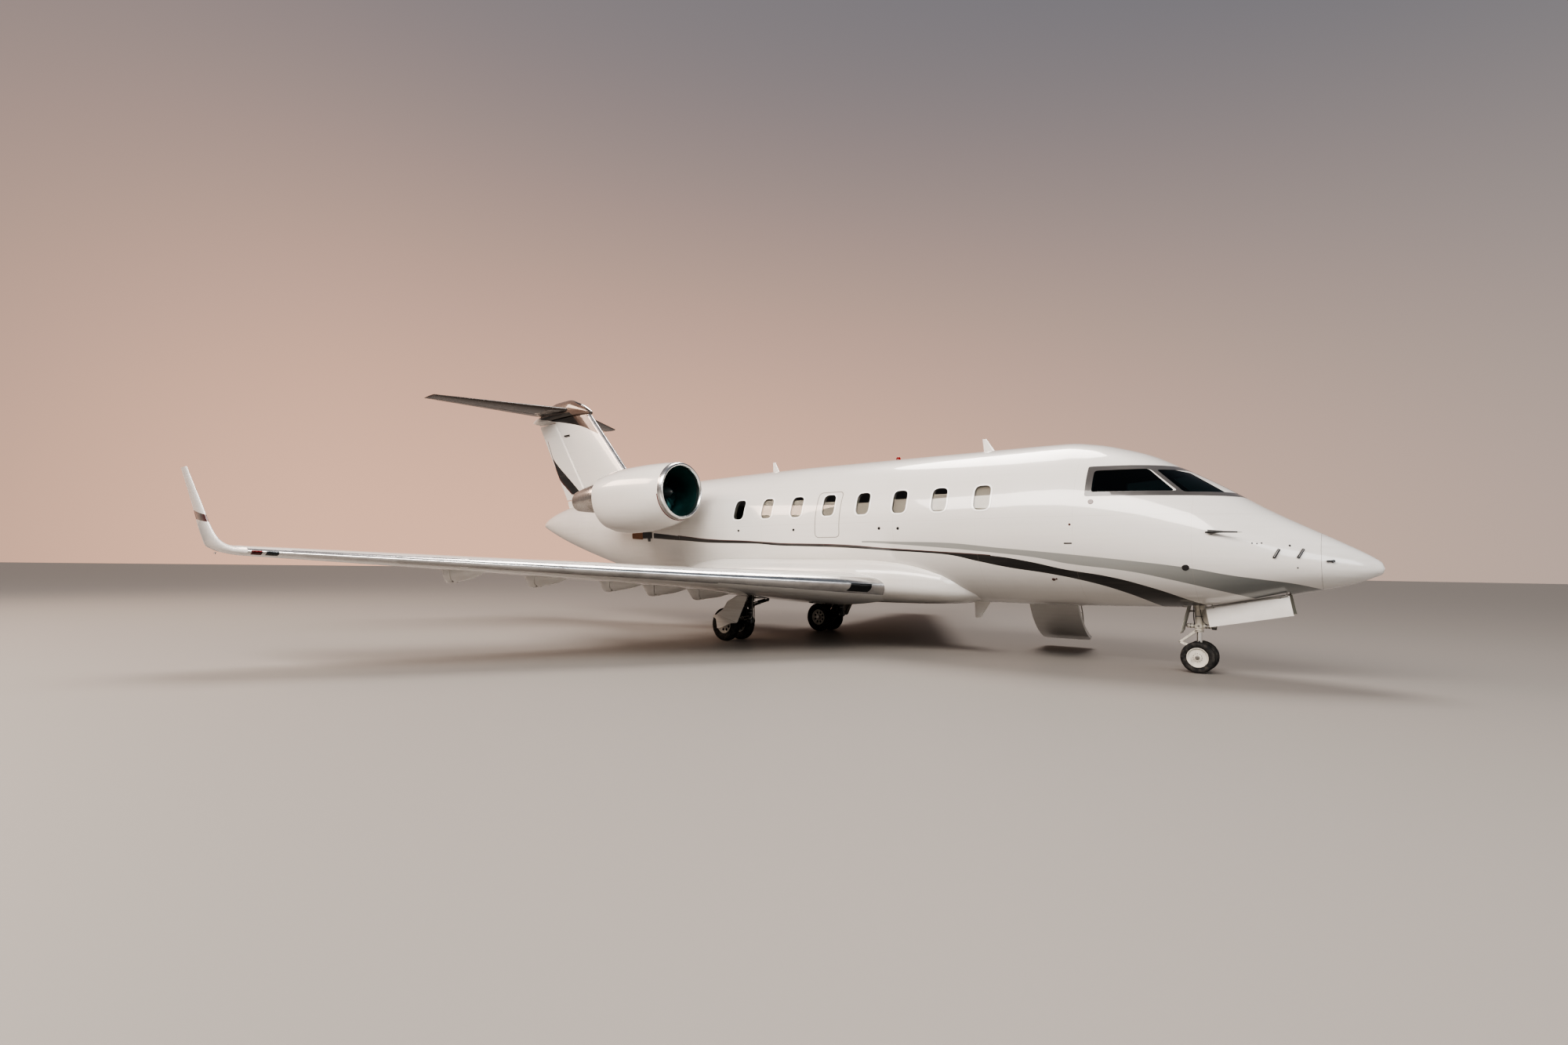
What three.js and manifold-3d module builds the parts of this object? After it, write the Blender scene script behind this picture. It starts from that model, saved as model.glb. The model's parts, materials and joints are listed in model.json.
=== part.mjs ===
// Business jet standing on its gear with its airstair let down.
// Millimetres, +X forward, +Y to port, +Z up. The origin is on the ground below the middle of the plan.
// A station is a distance aft of the nose tip. "Grown" is how far a skin lies outside the real one.

import * as THREE from "three";
import { mergeVertices } from "three/addons/utils/BufferGeometryUtils.js";
import Module from "manifold-3d";

const wasm = await Module();
wasm.setup();

// Driving dimensions
const LENGTH = 20850;
const SEAT = 0.3; // gap where pieces touch
const WALL = 85; // cabin wall from skin to lining
const TAIL_WALL = 45;
const WHEELBASE = 8000;
const NOSE_GEAR_STATION = 2160;
const MAIN_GEAR_STATION = NOSE_GEAR_STATION + WHEELBASE;
const HALF_TRACK = 1590;
const ENGINE = { station: 11140, span: 2150, height: 3020 };
const DOOR = { fore: 4305, aft: 5215, sill: 1560, head: 3270, open: 154 };
const FLOOR = { top: 1560, thickness: 60 };
const PARTITION = { fore: 3960, aft: 3990, half: 330, head: 3380 }; // behind the cockpit, with its aisle

// Fuselage sections: station, crown, keel, half width, height of the widest point
const BODY_COLUMNS = ["station", "crown", "keel", "half", "waist"];
const BODY = [
  [0, 1590, 1520, 38, 1558],
  [90, 1700, 1455, 150, 1565],
  [240, 1800, 1385, 270, 1578],
  [550, 1984, 1288, 455, 1612],
  [890, 2177, 1212, 612, 1655],
  [1230, 2379, 1127, 742, 1705],
  [1580, 2613, 1038, 862, 1768],
  [1950, 2850, 975, 968, 1840],
  [2340, 3077, 952, 1066, 1918],
  [2750, 3296, 942, 1152, 1998],
  [3180, 3445, 930, 1226, 2080],
  [3540, 3538, 920, 1276, 2145],
  [3970, 3595, 911, 1318, 2208],
  [4600, 3600, 905, 1345, 2250],
  [9000, 3598, 905, 1345, 2250],
  [10200, 3586, 905, 1342, 2248],
  [11400, 3566, 912, 1318, 2245],
  [12600, 3538, 955, 1250, 2250],
  [13800, 3498, 1095, 1125, 2300],
  [15000, 3440, 1325, 955, 2385],
  [16200, 3350, 1605, 760, 2475],
  [17400, 3205, 1915, 545, 2560],
  [18300, 3040, 2185, 365, 2612],
  [18900, 2870, 2395, 225, 2632],
  [19310, 2700, 2545, 80, 2622],
];
const BODY_SIDES = 24;
const RADOME_JOINT = 650;
const TAIL_JOINT = 12150;
const CABIN_FRONT = 1300;
const CABIN_REAR = 11450;

// Belly fairing sections: station, top, bottom, half width
const FAIRING_COLUMNS = ["station", "top", "bottom", "half"];
const FAIRING = [
  [5350, 1290, 960, 560],
  [5900, 1560, 862, 1080],
  [6700, 1720, 835, 1350],
  [7600, 1760, 826, 1440],
  [10600, 1760, 826, 1440],
  [11500, 1700, 838, 1330],
  [12300, 1540, 885, 1040],
  [12950, 1290, 975, 560],
];

// Wing sections: span, leading edge station and height, chord, thickness share, incidence in degrees
const FOIL_COLUMNS = ["span", "station", "height", "chord", "share", "turn"];
const WING = [
  [1000, 6590, 1145, 4500, 0.135, 2.4],
  [1450, 6850, 1168, 4220, 0.135, 2.3],
  [3900, 8260, 1296, 2900, 0.12, 0.9],
  [9450, 11450, 1584, 1270, 0.105, -1.6],
];
const WING_TIP = 9450;
// Winglet sections: span, height, leading edge station, chord, thickness share, lean and incidence in degrees
const WINGLET_COLUMNS = ["span", "height", "station", "chord", "share", "lean", "turn"];
const WINGLET = [
  [WING_TIP + SEAT, 1584, 11450, 1270, 0.105, 0, -1.6],
  [9545, 1606, 11640, 1160, 0.1, 25, -1],
  [9620, 1680, 11880, 1010, 0.095, 58, 0],
  [9660, 1780, 12060, 890, 0.09, 76, 0],
  [9730, 2250, 12560, 640, 0.085, 82, 0],
  [9792, 2780, 13100, 360, 0.08, 82, 0],
];
// Fin sections: height, leading edge station, chord, thickness share
const FIN_COLUMNS = ["height", "station", "chord", "share"];
const FIN = [
  [2900, 14480, 3620, 0.1],
  [3400, 15010, 3330, 0.1],
  [5760, 17310, 2610, 0.095],
];
// Side view of the dorsal fin ahead of the fin: station and height
const DORSAL = [[13650, 3420], [15600, 3960], [15900, 3960], [15900, 3300], [13650, 3300]];
const STABILISER = [
  [0, 18120, 5985, 1780, 0.1, 0],
  [3090, 20170, 6120, 680, 0.09, 0],
];

// Moving surfaces: ends along the span, hinge line or nose as a share of the chord, and the gap past the ends
const END_GAP = 20;
const AILERON = { inner: 7260, outer: 9000, share: 0.74, innerGap: END_GAP, outerGap: END_GAP };
// A swept flap's nose moves inboard as the flap drops, so the gap at that end is wider.
const FLAPS = [
  {
    name: "inboard", inner: 1640, outer: 3855, share: 0.86, hinges: [2200, 3250],
    innerGap: END_GAP, outerGap: 50,
  },
  {
    name: "outboard", inner: 3905, outer: 7130, share: 0.75, hinges: [4350, 5550, 6750],
    innerGap: 54, outerGap: END_GAP,
  },
];
const FLAP_DROP = { inner: 250, outer: 265 }; // hinge below the flap's middle
const ELEVATOR = { inner: 190, outer: 3010, share: 0.68, innerGap: END_GAP, outerGap: END_GAP };
const RUDDER = { inner: 3330, outer: 5660, share: 0.68, innerGap: 34, outerGap: 34 };
const COVE_GAP = 12;
const PIN = { radius: 12, reach: 14, sides: 8 };

const WINDOW = { first: 5020, pitch: 760, count: 8, width: 285, height: 410, corner: 110, centre: 2650 };
const EXIT = { window: 4, width: 550, low: 2045, high: 2905, corner: 90 };

const NOSE_WHEEL = { radius: 228.5, width: 112, rim: 118, spacing: 340, axle: 24 };
const MAIN_WHEEL = { radius: 325, width: 172, rim: 178, spacing: 440, axle: 42 };
const WHEEL_SIDES = 20;
const AXLE_SIDES = 16;
const NOSE_BAY = { fore: 1010, aft: 2330, half: 290, roof: 1440, wall: 25 };

// Finishes
const finish = (color, roughness, metalness) =>
  new THREE.MeshStandardMaterial({ color, roughness, metalness });
const WHITE = finish(0xeeece6, 0.25, 0);
const METAL = finish(0xc9ccd0, 0.2, 1);
const DARK_METAL = finish(0x5b5550, 0.45, 1);
const GLASS = finish(0x1b2226, 0.05, 0);
const RUBBER = finish(0x17171a, 0.85, 0);
const HUB = finish(0xd8d4cb, 0.4, 0.3);
const GEAR = finish(0xb9b8b2, 0.45, 0.2);
const DARK_GEAR = finish(0x2c3032, 0.5, 0.3);
const LINING = finish(0xb8ab97, 0.8, 0);
const LEATHER = finish(0x9c8a70, 0.7, 0);
const PANEL = finish(0x202226, 0.6, 0);
const BRONZE = finish(0x3a2c26, 0.3, 0);

const at = (station) => LENGTH / 2 - station;
const deg = THREE.MathUtils.degToRad;
const vec = (x, y, z) => new THREE.Vector3(x, y, z);

// Linear interpolation in a table whose first column rises.
function rowAt(table, columns, value) {
  let i = table.findIndex((row) => row[0] >= value);
  if (i < 0) i = table.length - 1;
  i = Math.max(i, 1);
  const t = (value - table[i - 1][0]) / (table[i][0] - table[i - 1][0]);
  return Object.fromEntries(
    columns.map((name, c) => [name, table[i - 1][c] + t * (table[i][c] - table[i - 1][c])]),
  );
}

// Solids

function solid(geometry) {
  const bare = geometry.clone();
  bare.deleteAttribute("normal");
  bare.deleteAttribute("uv");
  const merged = mergeVertices(bare, 1e-3);
  const faces = [];
  for (let i = 0; i < merged.index.count; i += 3) {
    const [a, b, c] = merged.index.array.slice(i, i + 3);
    if (a !== b && b !== c && c !== a) faces.push([a, b, c]);
  }
  const build = (list) =>
    new wasm.Manifold(
      new wasm.Mesh({
        numProp: 3,
        vertProperties: merged.attributes.position.array,
        triVerts: new Uint32Array(list.flat()),
      }),
    );
  const made = build(faces);
  return made.volume() < 0 ? build(faces.map(([a, b, c]) => [a, c, b])) : made;
}

function geometryOf(body) {
  const mesh = body.getMesh();
  const position = [];
  for (let i = 0; i < mesh.numVert; i++)
    position.push(...mesh.vertProperties.subarray(i * mesh.numProp, i * mesh.numProp + 3));
  return new THREE.BufferGeometry()
    .setAttribute("position", new THREE.Float32BufferAttribute(position, 3))
    .setIndex([...mesh.triVerts]);
}

const moved = (body, matrix) => solid(geometryOf(body).applyMatrix4(matrix));
const shifted = (body, x, y, z) => moved(body, new THREE.Matrix4().makeTranslation(x, y, z));
const mirrored = (body) => moved(body, new THREE.Matrix4().makeScale(1, -1, 1));
const cut = (body, ...tools) => tools.reduce((left, tool) => left.subtract(tool), body);
const join = (...bodies) => bodies.reduce((sum, body) => sum.add(body));

// Skin over rings of equal count, closed by a fan at each end.
function loft(rings) {
  const count = rings[0].length;
  const points = rings.flat();
  const index = [];
  for (let r = 0; r + 1 < rings.length; r++)
    for (let k = 0; k < count; k++) {
      const a = r * count + k;
      const b = r * count + ((k + 1) % count);
      index.push(a, b, a + count, b, b + count, a + count);
    }
  const last = (rings.length - 1) * count;
  for (let k = 1; k + 1 < count; k++) {
    index.push(0, k + 1, k);
    index.push(last, last + k, last + k + 1);
  }
  const geometry = new THREE.BufferGeometry().setFromPoints(points).setIndex(index);
  return solid(geometry);
}

const box = (x0, x1, y0, y1, z0, z1) =>
  solid(
    new THREE.BoxGeometry(Math.abs(x1 - x0), Math.abs(y1 - y0), Math.abs(z1 - z0)).translate(
      (x0 + x1) / 2,
      (y0 + y1) / 2,
      (z0 + z1) / 2,
    ),
  );

// Round bar between two points.
function bar(from, to, radius, sides = 8, endRadius = radius) {
  const along = to.clone().sub(from);
  const geometry = new THREE.CylinderGeometry(endRadius, radius, along.length(), sides);
  const turn = new THREE.Quaternion().setFromUnitVectors(vec(0, 1, 0), along.clone().normalize());
  const middle = from.clone().add(to).multiplyScalar(0.5);
  return solid(geometry.applyQuaternion(turn).translate(middle.x, middle.y, middle.z));
}

const outline = (points) => new THREE.Shape(points.map(([a, b]) => new THREE.Vector2(a, b)));
const extruded = (shape, depth) =>
  new THREE.ExtrudeGeometry(shape, { depth, bevelEnabled: false, curveSegments: 1 });

// Prisms over outlines: stations and heights through the sides, or stations and spans through the plan.
function sidePrism(points, y0, y1) {
  const shape = points instanceof THREE.Shape ? points : outline(points.map(([s, z]) => [at(s), z]));
  return solid(extruded(shape, y1 - y0).rotateX(Math.PI / 2).translate(0, y1, 0));
}
function planPrism(points, z0, z1) {
  const shape = outline(points.map(([s, y]) => [at(s), y]));
  return solid(extruded(shape, z1 - z0).translate(0, 0, z0));
}
function roundedPane(station, height, width, tall, corner) {
  const [x, z, w, h] = [at(station), height, width / 2, tall / 2];
  const shape = new THREE.Shape();
  const corners = [
    [x + w, z + h, 0],
    [x - w, z + h, 90],
    [x - w, z - h, 180],
    [x + w, z - h, 270],
  ];
  for (const [cx, cz, start] of corners) {
    const mx = cx - Math.sign(cx - x) * corner;
    const mz = cz - Math.sign(cz - z) * corner;
    shape.absarc(mx, mz, corner, deg(start), deg(start + 90), false);
  }
  return shape;
}

// Body of revolution about the X axis from rows of distance aft and radius.
function turned(profile, sides) {
  const points = profile.map(([aft, radius]) => new THREE.Vector2(radius, -aft));
  return solid(new THREE.LatheGeometry(points, sides).rotateZ(-Math.PI / 2));
}

// Fuselage

function bodyRing(station, inset) {
  const row = rowAt(BODY, BODY_COLUMNS, station);
  return Array.from({ length: BODY_SIDES }, (_, k) => {
    const a = (2 * Math.PI * k) / BODY_SIDES;
    const rise = Math.cos(a) > 0 ? row.crown - row.waist : row.waist - row.keel;
    const flat = Math.max(row.half - inset, 5) * Math.sin(a);
    return vec(at(station), flat, row.waist + Math.max(rise - inset, 5) * Math.cos(a));
  });
}

const RING_STATIONS = [...BODY.map((row) => row[0]), RADOME_JOINT, TAIL_JOINT].sort((a, b) => a - b);

// Fuselage between two stations, its skin moved inwards by inset (outwards if negative).
function bodyLoft(fore, aft, inset) {
  const between = RING_STATIONS.filter((station) => station > fore + 1 && station < aft - 1);
  return loft([fore, ...between, aft].map((station) => bodyRing(station, inset)));
}

const skinGrown = bodyLoft(0, 19310, -SEAT);

function windowPrisms() {
  const prisms = [];
  for (let k = 0; k < WINDOW.count; k++) {
    if (k === EXIT.window) continue;
    const station = WINDOW.first + k * WINDOW.pitch;
    const pane = roundedPane(station, WINDOW.centre, WINDOW.width, WINDOW.height, WINDOW.corner);
    // The airstair takes the first window's place to port.
    prisms.push(sidePrism(pane, -1500, k === 0 ? 0 : 1500));
  }
  const port = WINDOW.first + EXIT.window * WINDOW.pitch;
  const pane = roundedPane(port, WINDOW.centre, WINDOW.width, WINDOW.height, WINDOW.corner);
  prisms.push(sidePrism(pane, 0, 1500));
  return prisms;
}

const exitStation = WINDOW.first + EXIT.window * WINDOW.pitch;
function exitPrism(shrink) {
  const tall = EXIT.high - EXIT.low - 2 * shrink;
  const height = (EXIT.high + EXIT.low) / 2;
  const pane = roundedPane(exitStation, height, EXIT.width - 2 * shrink, tall, EXIT.corner);
  return sidePrism(pane, -1500, 0);
}

// Cockpit panes in side view: station and height of each corner.
const WINDSHIELD = [
  [1660, 2560],
  [2290, 2985],
  [2620, 3015],
  [2330, 2520],
];
const SIDE_PANE = [
  [2420, 2520],
  [2690, 3000],
  [3180, 3030],
  [3440, 2930],
  [3440, 2640],
  [3300, 2570],
];
const POST_HALF = 32; // half the post between the windshields

function inward(points, amount) {
  const total = points.reduce((sum, [a, b]) => [sum[0] + a, sum[1] + b], [0, 0]);
  const centre = total.map((v) => v / points.length);
  return points.map(([a, b]) => {
    const away = new THREE.Vector2(a - centre[0], b - centre[1]);
    const length = away.length();
    away.multiplyScalar((length - amount) / length);
    return [centre[0] + away.x, centre[1] + away.y];
  });
}

const panePrism = (points, shrink) =>
  sidePrism(inward(points, shrink), points === WINDSHIELD ? POST_HALF + shrink : 500, 1500);

function doorPrism(gap, headGap = gap) {
  const points = [
    [DOOR.fore + gap, DOOR.sill + gap],
    [DOOR.aft - gap, DOOR.sill + gap],
    [DOOR.aft - gap, DOOR.head - headGap],
    [DOOR.fore + gap, DOOR.head - headGap],
  ];
  return sidePrism(points, 300, 1500);
}

function fuselage() {
  const outer = bodyLoft(RADOME_JOINT + SEAT, TAIL_JOINT - SEAT, 0);
  const inner = bodyLoft(CABIN_FRONT, TAIL_JOINT + 200, WALL);
  const bay = NOSE_BAY;
  const bayShell = box(
    at(bay.fore - bay.wall), at(bay.aft + bay.wall), -bay.half - bay.wall, bay.half + bay.wall, 800,
    bay.roof + bay.wall,
  );
  const hollow = cut(outer, inner);
  const withBay = hollow.add(bayShell.intersect(outer));
  const panes = [WINDSHIELD, SIDE_PANE].map((points) => panePrism(points, 0));
  return cut(
    withBay,
    box(at(bay.fore), at(bay.aft), -bay.half, bay.half, 700, bay.roof),
    ...panes,
    ...panes.map(mirrored),
    ...windowPrisms(),
    exitPrism(0),
    doorPrism(0),
  );
}

function cockpitPane(points) {
  const depth = 22;
  const sheet = cut(bodyLoft(1000, 4600, 2), bodyLoft(900, 4700, 2 + depth));
  return sheet.intersect(panePrism(points, 2));
}

function overwingExit() {
  const around = [exitStation - 600, exitStation + 600];
  const wall = cut(bodyLoft(...around, 0), bodyLoft(around[0] - 100, around[1] + 100, WALL));
  const pane = roundedPane(exitStation, WINDOW.centre, WINDOW.width, WINDOW.height, WINDOW.corner);
  return cut(wall.intersect(exitPrism(0.8)), sidePrism(pane, -1500, 0));
}

const radome = () => bodyLoft(0, RADOME_JOINT, 0);

function tailSection() {
  const inner = bodyLoft(TAIL_JOINT - 200, 18300, TAIL_WALL);
  return cut(bodyLoft(TAIL_JOINT, 19310, 0), inner);
}

// Floor with the cockpit partition and the rear pressure bulkhead standing on it.
function floorAndBulkheads() {
  const inside = bodyLoft(CABIN_FRONT + 40, CABIN_REAR, WALL + SEAT);
  const slab = (fore, aft, low, high) => inside.intersect(box(at(fore), at(aft), -1400, 1400, low, high));
  const plate = slab(2050, CABIN_REAR, FLOOR.top - FLOOR.thickness, FLOOR.top);
  const rear = slab(CABIN_REAR - 40, CABIN_REAR, FLOOR.top - 1, 3600);
  const { fore, aft, half, head } = PARTITION;
  const aisle = box(at(fore - 10), at(aft + 10), -half, half, FLOOR.top, head);
  return join(plate, rear, cut(slab(fore, aft, FLOOR.top - 1, 3600), aisle));
}

function instrumentPanel() {
  const face = [[1900, 2180], [2060, 2480], [2140, 2480], [2140, 1900], [2050, 1900]];
  const foot = FLOOR.top + SEAT;
  const pedestal = sidePrism([[2140, foot], [2139, 2050], [2750, 1950], [2750, foot]], -150, 150);
  return join(sidePrism(face, -720, 720).intersect(bodyLoft(1400, 3000, WALL + 20)), pedestal);
}

// Two crew seats, each with cushion, back and head rest, on the plate that carries their rails.
function crewSeats() {
  const profile = [
    [2860, 1960], [2860, 2070], [3230, 2050], [3330, 2600], [3340, 2800], [3430, 2800], [3420, 2560],
    [3330, 1960], [3260, 1960], [3260, FLOOR.top + SEAT], [2960, FLOOR.top + SEAT], [2960, 1960],
  ];
  const seat = sidePrism(profile, 300, 760);
  const plate = box(at(2900), at(3300), -760, 760, FLOOR.top + SEAT, FLOOR.top + 24);
  return join(seat, mirrored(seat), plate);
}

// Belly fairing

function fairingLoft(grown) {
  const rings = FAIRING.map((values) => {
    const row = Object.fromEntries(FAIRING_COLUMNS.map((name, c) => [name, values[c]]));
    const middle = (row.top + row.bottom) / 2;
    const sides = 16;
    return Array.from({ length: sides }, (_, k) => {
      const a = (2 * Math.PI * (k + 0.5)) / sides;
      const square = (v) => Math.sign(v) * Math.abs(v) ** 0.7;
      const y = (row.half + grown) * square(Math.sin(a));
      return vec(at(row.station), y, middle + ((row.top - row.bottom) / 2 + grown) * square(Math.cos(a)));
    });
  });
  return loft(rings);
}

const WHEEL_WELL = { inner: 560, outer: 1270, radius: 370, depth: 230 };

function wheelWell() {
  const middle = (WHEEL_WELL.inner + WHEEL_WELL.outer) / 2;
  const floor = FAIRING[3][2];
  return bar(
    vec(at(MAIN_GEAR_STATION), middle, floor - 50),
    vec(at(MAIN_GEAR_STATION), middle, floor + WHEEL_WELL.depth),
    WHEEL_WELL.radius,
    20,
  );
}

const bellyFairing = () => cut(fairingLoft(0), skinGrown, wheelWell(), mirrored(wheelWell()));

// Flying surfaces

// A section has its leading edge, chord, half thickness direction, thickness share and incidence.
function foilPoint(section, share, side) {
  const { lead, chord, thick, up, turn } = section;
  const root = Math.sqrt(share);
  const bulge = 0.2969 * root - 0.126 * share - 0.3516 * share ** 2;
  const curve = bulge + 0.2843 * share ** 3 - 0.1036 * share ** 4;
  const off = side * Math.max(5 * thick * chord * curve, share > 0.9 ? 3 : 0);
  const along = share * chord;
  const aft = along * Math.cos(turn) - off * Math.sin(turn);
  const rise = off * Math.cos(turn) - along * Math.sin(turn);
  return lead.clone().add(vec(-aft, 0, 0)).addScaledVector(up, rise);
}

const FOIL_SHARES = [0.008, 0.05, 0.15, 0.32, 0.52, 0.74, 1];

function foilRing(section) {
  return [
    foilPoint(section, 0, 0),
    ...FOIL_SHARES.map((share) => foilPoint(section, share, 1)),
    ...FOIL_SHARES.toReversed().map((share) => foilPoint(section, share, -1)),
  ];
}

// Ring of a moving surface: a round nose about the hinge, then the skins to the trailing edge.
function surfaceRing(section, share) {
  const top = foilPoint(section, share, 1);
  const bottom = foilPoint(section, share, -1);
  const hinge = top.clone().add(bottom).multiplyScalar(0.5);
  const up = top.clone().sub(hinge);
  const front = vec(up.length(), 0, 0);
  const nose = Array.from({ length: 7 }, (_, k) => {
    const a = (Math.PI * k) / 6;
    return hinge.clone().addScaledVector(up, Math.cos(a)).addScaledVector(front, Math.sin(a));
  });
  const shares = [0.35, 0.7, 1].map((t) => share + t * (1 - share));
  return [
    ...shares.toReversed().map((s) => foilPoint(section, s, 1)),
    ...nose,
    ...shares.map((s) => foilPoint(section, s, -1)),
  ];
}

const hingeOf = (section, share) =>
  foilPoint(section, share, 1).add(foilPoint(section, share, -1)).multiplyScalar(0.5);
const noseOf = (section, share) =>
  foilPoint(section, share, 1).distanceTo(foilPoint(section, share, -1)) / 2;

function levelSection(table, span) {
  const row = rowAt(table, FOIL_COLUMNS, span);
  return {
    lead: vec(at(row.station), span, row.height),
    chord: row.chord,
    thick: row.share,
    up: vec(0, 0, 1),
    turn: deg(row.turn),
  };
}
function finSection(height) {
  const row = rowAt(FIN, FIN_COLUMNS, height);
  const lead = vec(at(row.station), 0, height);
  return { lead, chord: row.chord, thick: row.share, up: vec(0, -1, 0), turn: 0 };
}
function wingletSection(values) {
  const row = Object.fromEntries(WINGLET_COLUMNS.map((name, c) => [name, values[c]]));
  const lean = deg(row.lean);
  return {
    lead: vec(at(row.station), row.span, row.height),
    chord: row.chord,
    thick: row.share,
    up: vec(0, -Math.sin(lean), Math.cos(lean)),
    turn: deg(row.turn),
  };
}

// Moving surface between two sections, with a pin along the hinge out of each end.
function movingSurface(sectionAt, surface) {
  const ends = [surface.inner, surface.outer].map((span) => surfaceRing(sectionAt(span), surface.share));
  return loft(ends).add(hingePins(sectionAt, surface, 0));
}

// The radius of a bore in which a pin of as many flat sides turns freely.
const boreAround = (radius, sides) => (radius + SEAT) / Math.cos(Math.PI / sides);

function hingePins(sectionAt, surface, clearance) {
  const { inner, outer, share, innerGap, outerGap } = surface;
  const [a, b] = [inner, outer].map((span) => hingeOf(sectionAt(span), share));
  const along = b.clone().sub(a).normalize();
  const slant = Math.max(Math.abs(along.y), Math.abs(along.z));
  a.addScaledVector(along, -innerGap / slant - PIN.reach - clearance);
  b.addScaledVector(along, outerGap / slant + PIN.reach + clearance);
  return bar(a, b, clearance ? boreAround(PIN.radius, PIN.sides) : PIN.radius, PIN.sides);
}

// What is cut out of the fixed surface for a moving one: all behind a line ahead of the hinge.
function surfaceCut(sectionAt, surface, inPlan) {
  const { inner, outer, share, innerGap, outerGap } = surface;
  const ends = [inner - innerGap, outer + outerGap].map((span) => {
    const section = sectionAt(span);
    const hinge = hingeOf(section, share);
    const nose = noseOf(section, share) * 1.12 + COVE_GAP;
    const past = 200; // beyond the trailing edge
    const aft = LENGTH / 2 - section.lead.x + section.chord + past;
    return { fore: LENGTH / 2 - hinge.x - nose, aft, span };
  });
  const points = [
    [ends[0].fore, ends[0].span],
    [ends[0].aft, ends[0].span],
    [ends[1].aft, ends[1].span],
    [ends[1].fore, ends[1].span],
  ];
  return inPlan ? planPrism(points, 0, 8000) : sidePrism(points, -500, 500);
}

const wingAt = (span) => levelSection(WING, span);
const tailAt = (span) => levelSection(STABILISER, span);

// Flaps turn about knuckles at the bottom of their fairings.
function flapHinge(flap, span) {
  const t = (span - flap.inner) / (flap.outer - flap.inner);
  const section = wingAt(span);
  const middle = hingeOf(section, flap.share);
  const drop = FLAP_DROP.inner + t * (FLAP_DROP.outer - FLAP_DROP.inner);
  return vec(middle.x + noseOf(section, flap.share) + 20, span, middle.z - drop);
}
const KNUCKLE = 26;
const KNUCKLE_SIDES = 16;
const FAIRING_HALF = 75;

function flapAxis(flap) {
  const [a, b] = [flap.inner, flap.outer].map((span) => flapHinge(flap, span));
  return { at: a, along: b.clone().sub(a).normalize() };
}
function onAxis(flap, span) {
  const axis = flapAxis(flap);
  return axis.at.clone().addScaledVector(axis.along, (span - axis.at.y) / axis.along.y);
}

function knuckle(flap, span, radius, half) {
  const axis = flapAxis(flap);
  const centre = onAxis(flap, span);
  return bar(
    centre.clone().addScaledVector(axis.along, -half),
    centre.clone().addScaledVector(axis.along, half),
    radius,
    KNUCKLE_SIDES,
  );
}

// Canoe under the wing: rings of distance from the hinge, half width, top above it and bottom below it.
function canoe(flap, span, rows) {
  const centre = onAxis(flap, span);
  const { along } = flapAxis(flap);
  const rings = rows.map(([aft, half, top, bottom]) =>
    [
      [-half, top],
      [half, top],
      [half, bottom + half * 0.8],
      [half * 0.55, bottom],
      [-half * 0.55, bottom],
      [-half, bottom + half * 0.8],
    ].map(([side, rise]) => vec(centre.x - aft + (side * along.x) / along.y, span + side, centre.z + rise)),
  );
  return loft(rings);
}

function fixedFairing(flap, span) {
  const body = canoe(flap, span, [
    [-1120, 12, 265, 205],
    [-900, 48, 265, 150],
    [-450, FAIRING_HALF, 265, 35],
    [-10, FAIRING_HALF, 265, -KNUCKLE],
  ]);
  return body.add(knuckle(flap, span, KNUCKLE, FAIRING_HALF * 0.6));
}

function tailFairing(flap, span) {
  const body = canoe(flap, span, [
    [8, FAIRING_HALF, 245, -KNUCKLE],
    [180, FAIRING_HALF * 0.8, 245, 35],
    [420, FAIRING_HALF * 0.5, 245, 120],
    [680, 10, 262, 225],
  ]);
  return cut(body, knuckle(flap, span, boreAround(KNUCKLE, KNUCKLE_SIDES), FAIRING_HALF * 1.5));
}

function flapSolid(flap) {
  const ends = [flap.inner, flap.outer].map((span) => surfaceRing(wingAt(span), flap.share));
  return join(loft(ends), ...flap.hinges.map((span) => tailFairing(flap, span)));
}

const LEG_WELL = { fore: 9600, aft: 9810, inner: 1460, outer: 1720, roof: 1085 };

function wing() {
  const spans = [WING[0][0], WING[1][0], WING[2][0], WING_TIP];
  const blade = loft(spans.map((span) => foilRing(wingAt(span))));
  const well = LEG_WELL;
  const fixed = cut(
    blade,
    ...[AILERON, ...FLAPS].map((surface) => surfaceCut(wingAt, surface, true)),
    hingePins(wingAt, AILERON, SEAT),
    box(at(well.fore), at(well.aft), well.inner, well.outer, 0, well.roof),
  );
  const fairings = FLAPS.flatMap((flap) => flap.hinges.map((span) => fixedFairing(flap, span)));
  return cut(join(fixed, ...fairings), fairingLoft(SEAT), skinGrown, wheelWell());
}

const winglet = () => loft(WINGLET.map((values) => foilRing(wingletSection(values))));
const aileron = () => movingSurface(wingAt, AILERON);

function fin() {
  const blade = loft(FIN.map(([height]) => foilRing(finSection(height))));
  return cut(
    blade.add(sidePrism(DORSAL, -38, 38)),
    surfaceCut(finSection, RUDDER, false),
    hingePins(finSection, RUDDER, SEAT),
    skinGrown,
  );
}
const rudder = () => movingSurface(finSection, RUDDER);

function stabiliser() {
  const half = loft(STABILISER.map(([span]) => foilRing(tailAt(span))));
  const fixed = cut(half, surfaceCut(tailAt, ELEVATOR, true), hingePins(tailAt, ELEVATOR, SEAT));
  return fixed.add(mirrored(fixed));
}
const elevator = () => movingSurface(tailAt, ELEVATOR);

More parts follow.
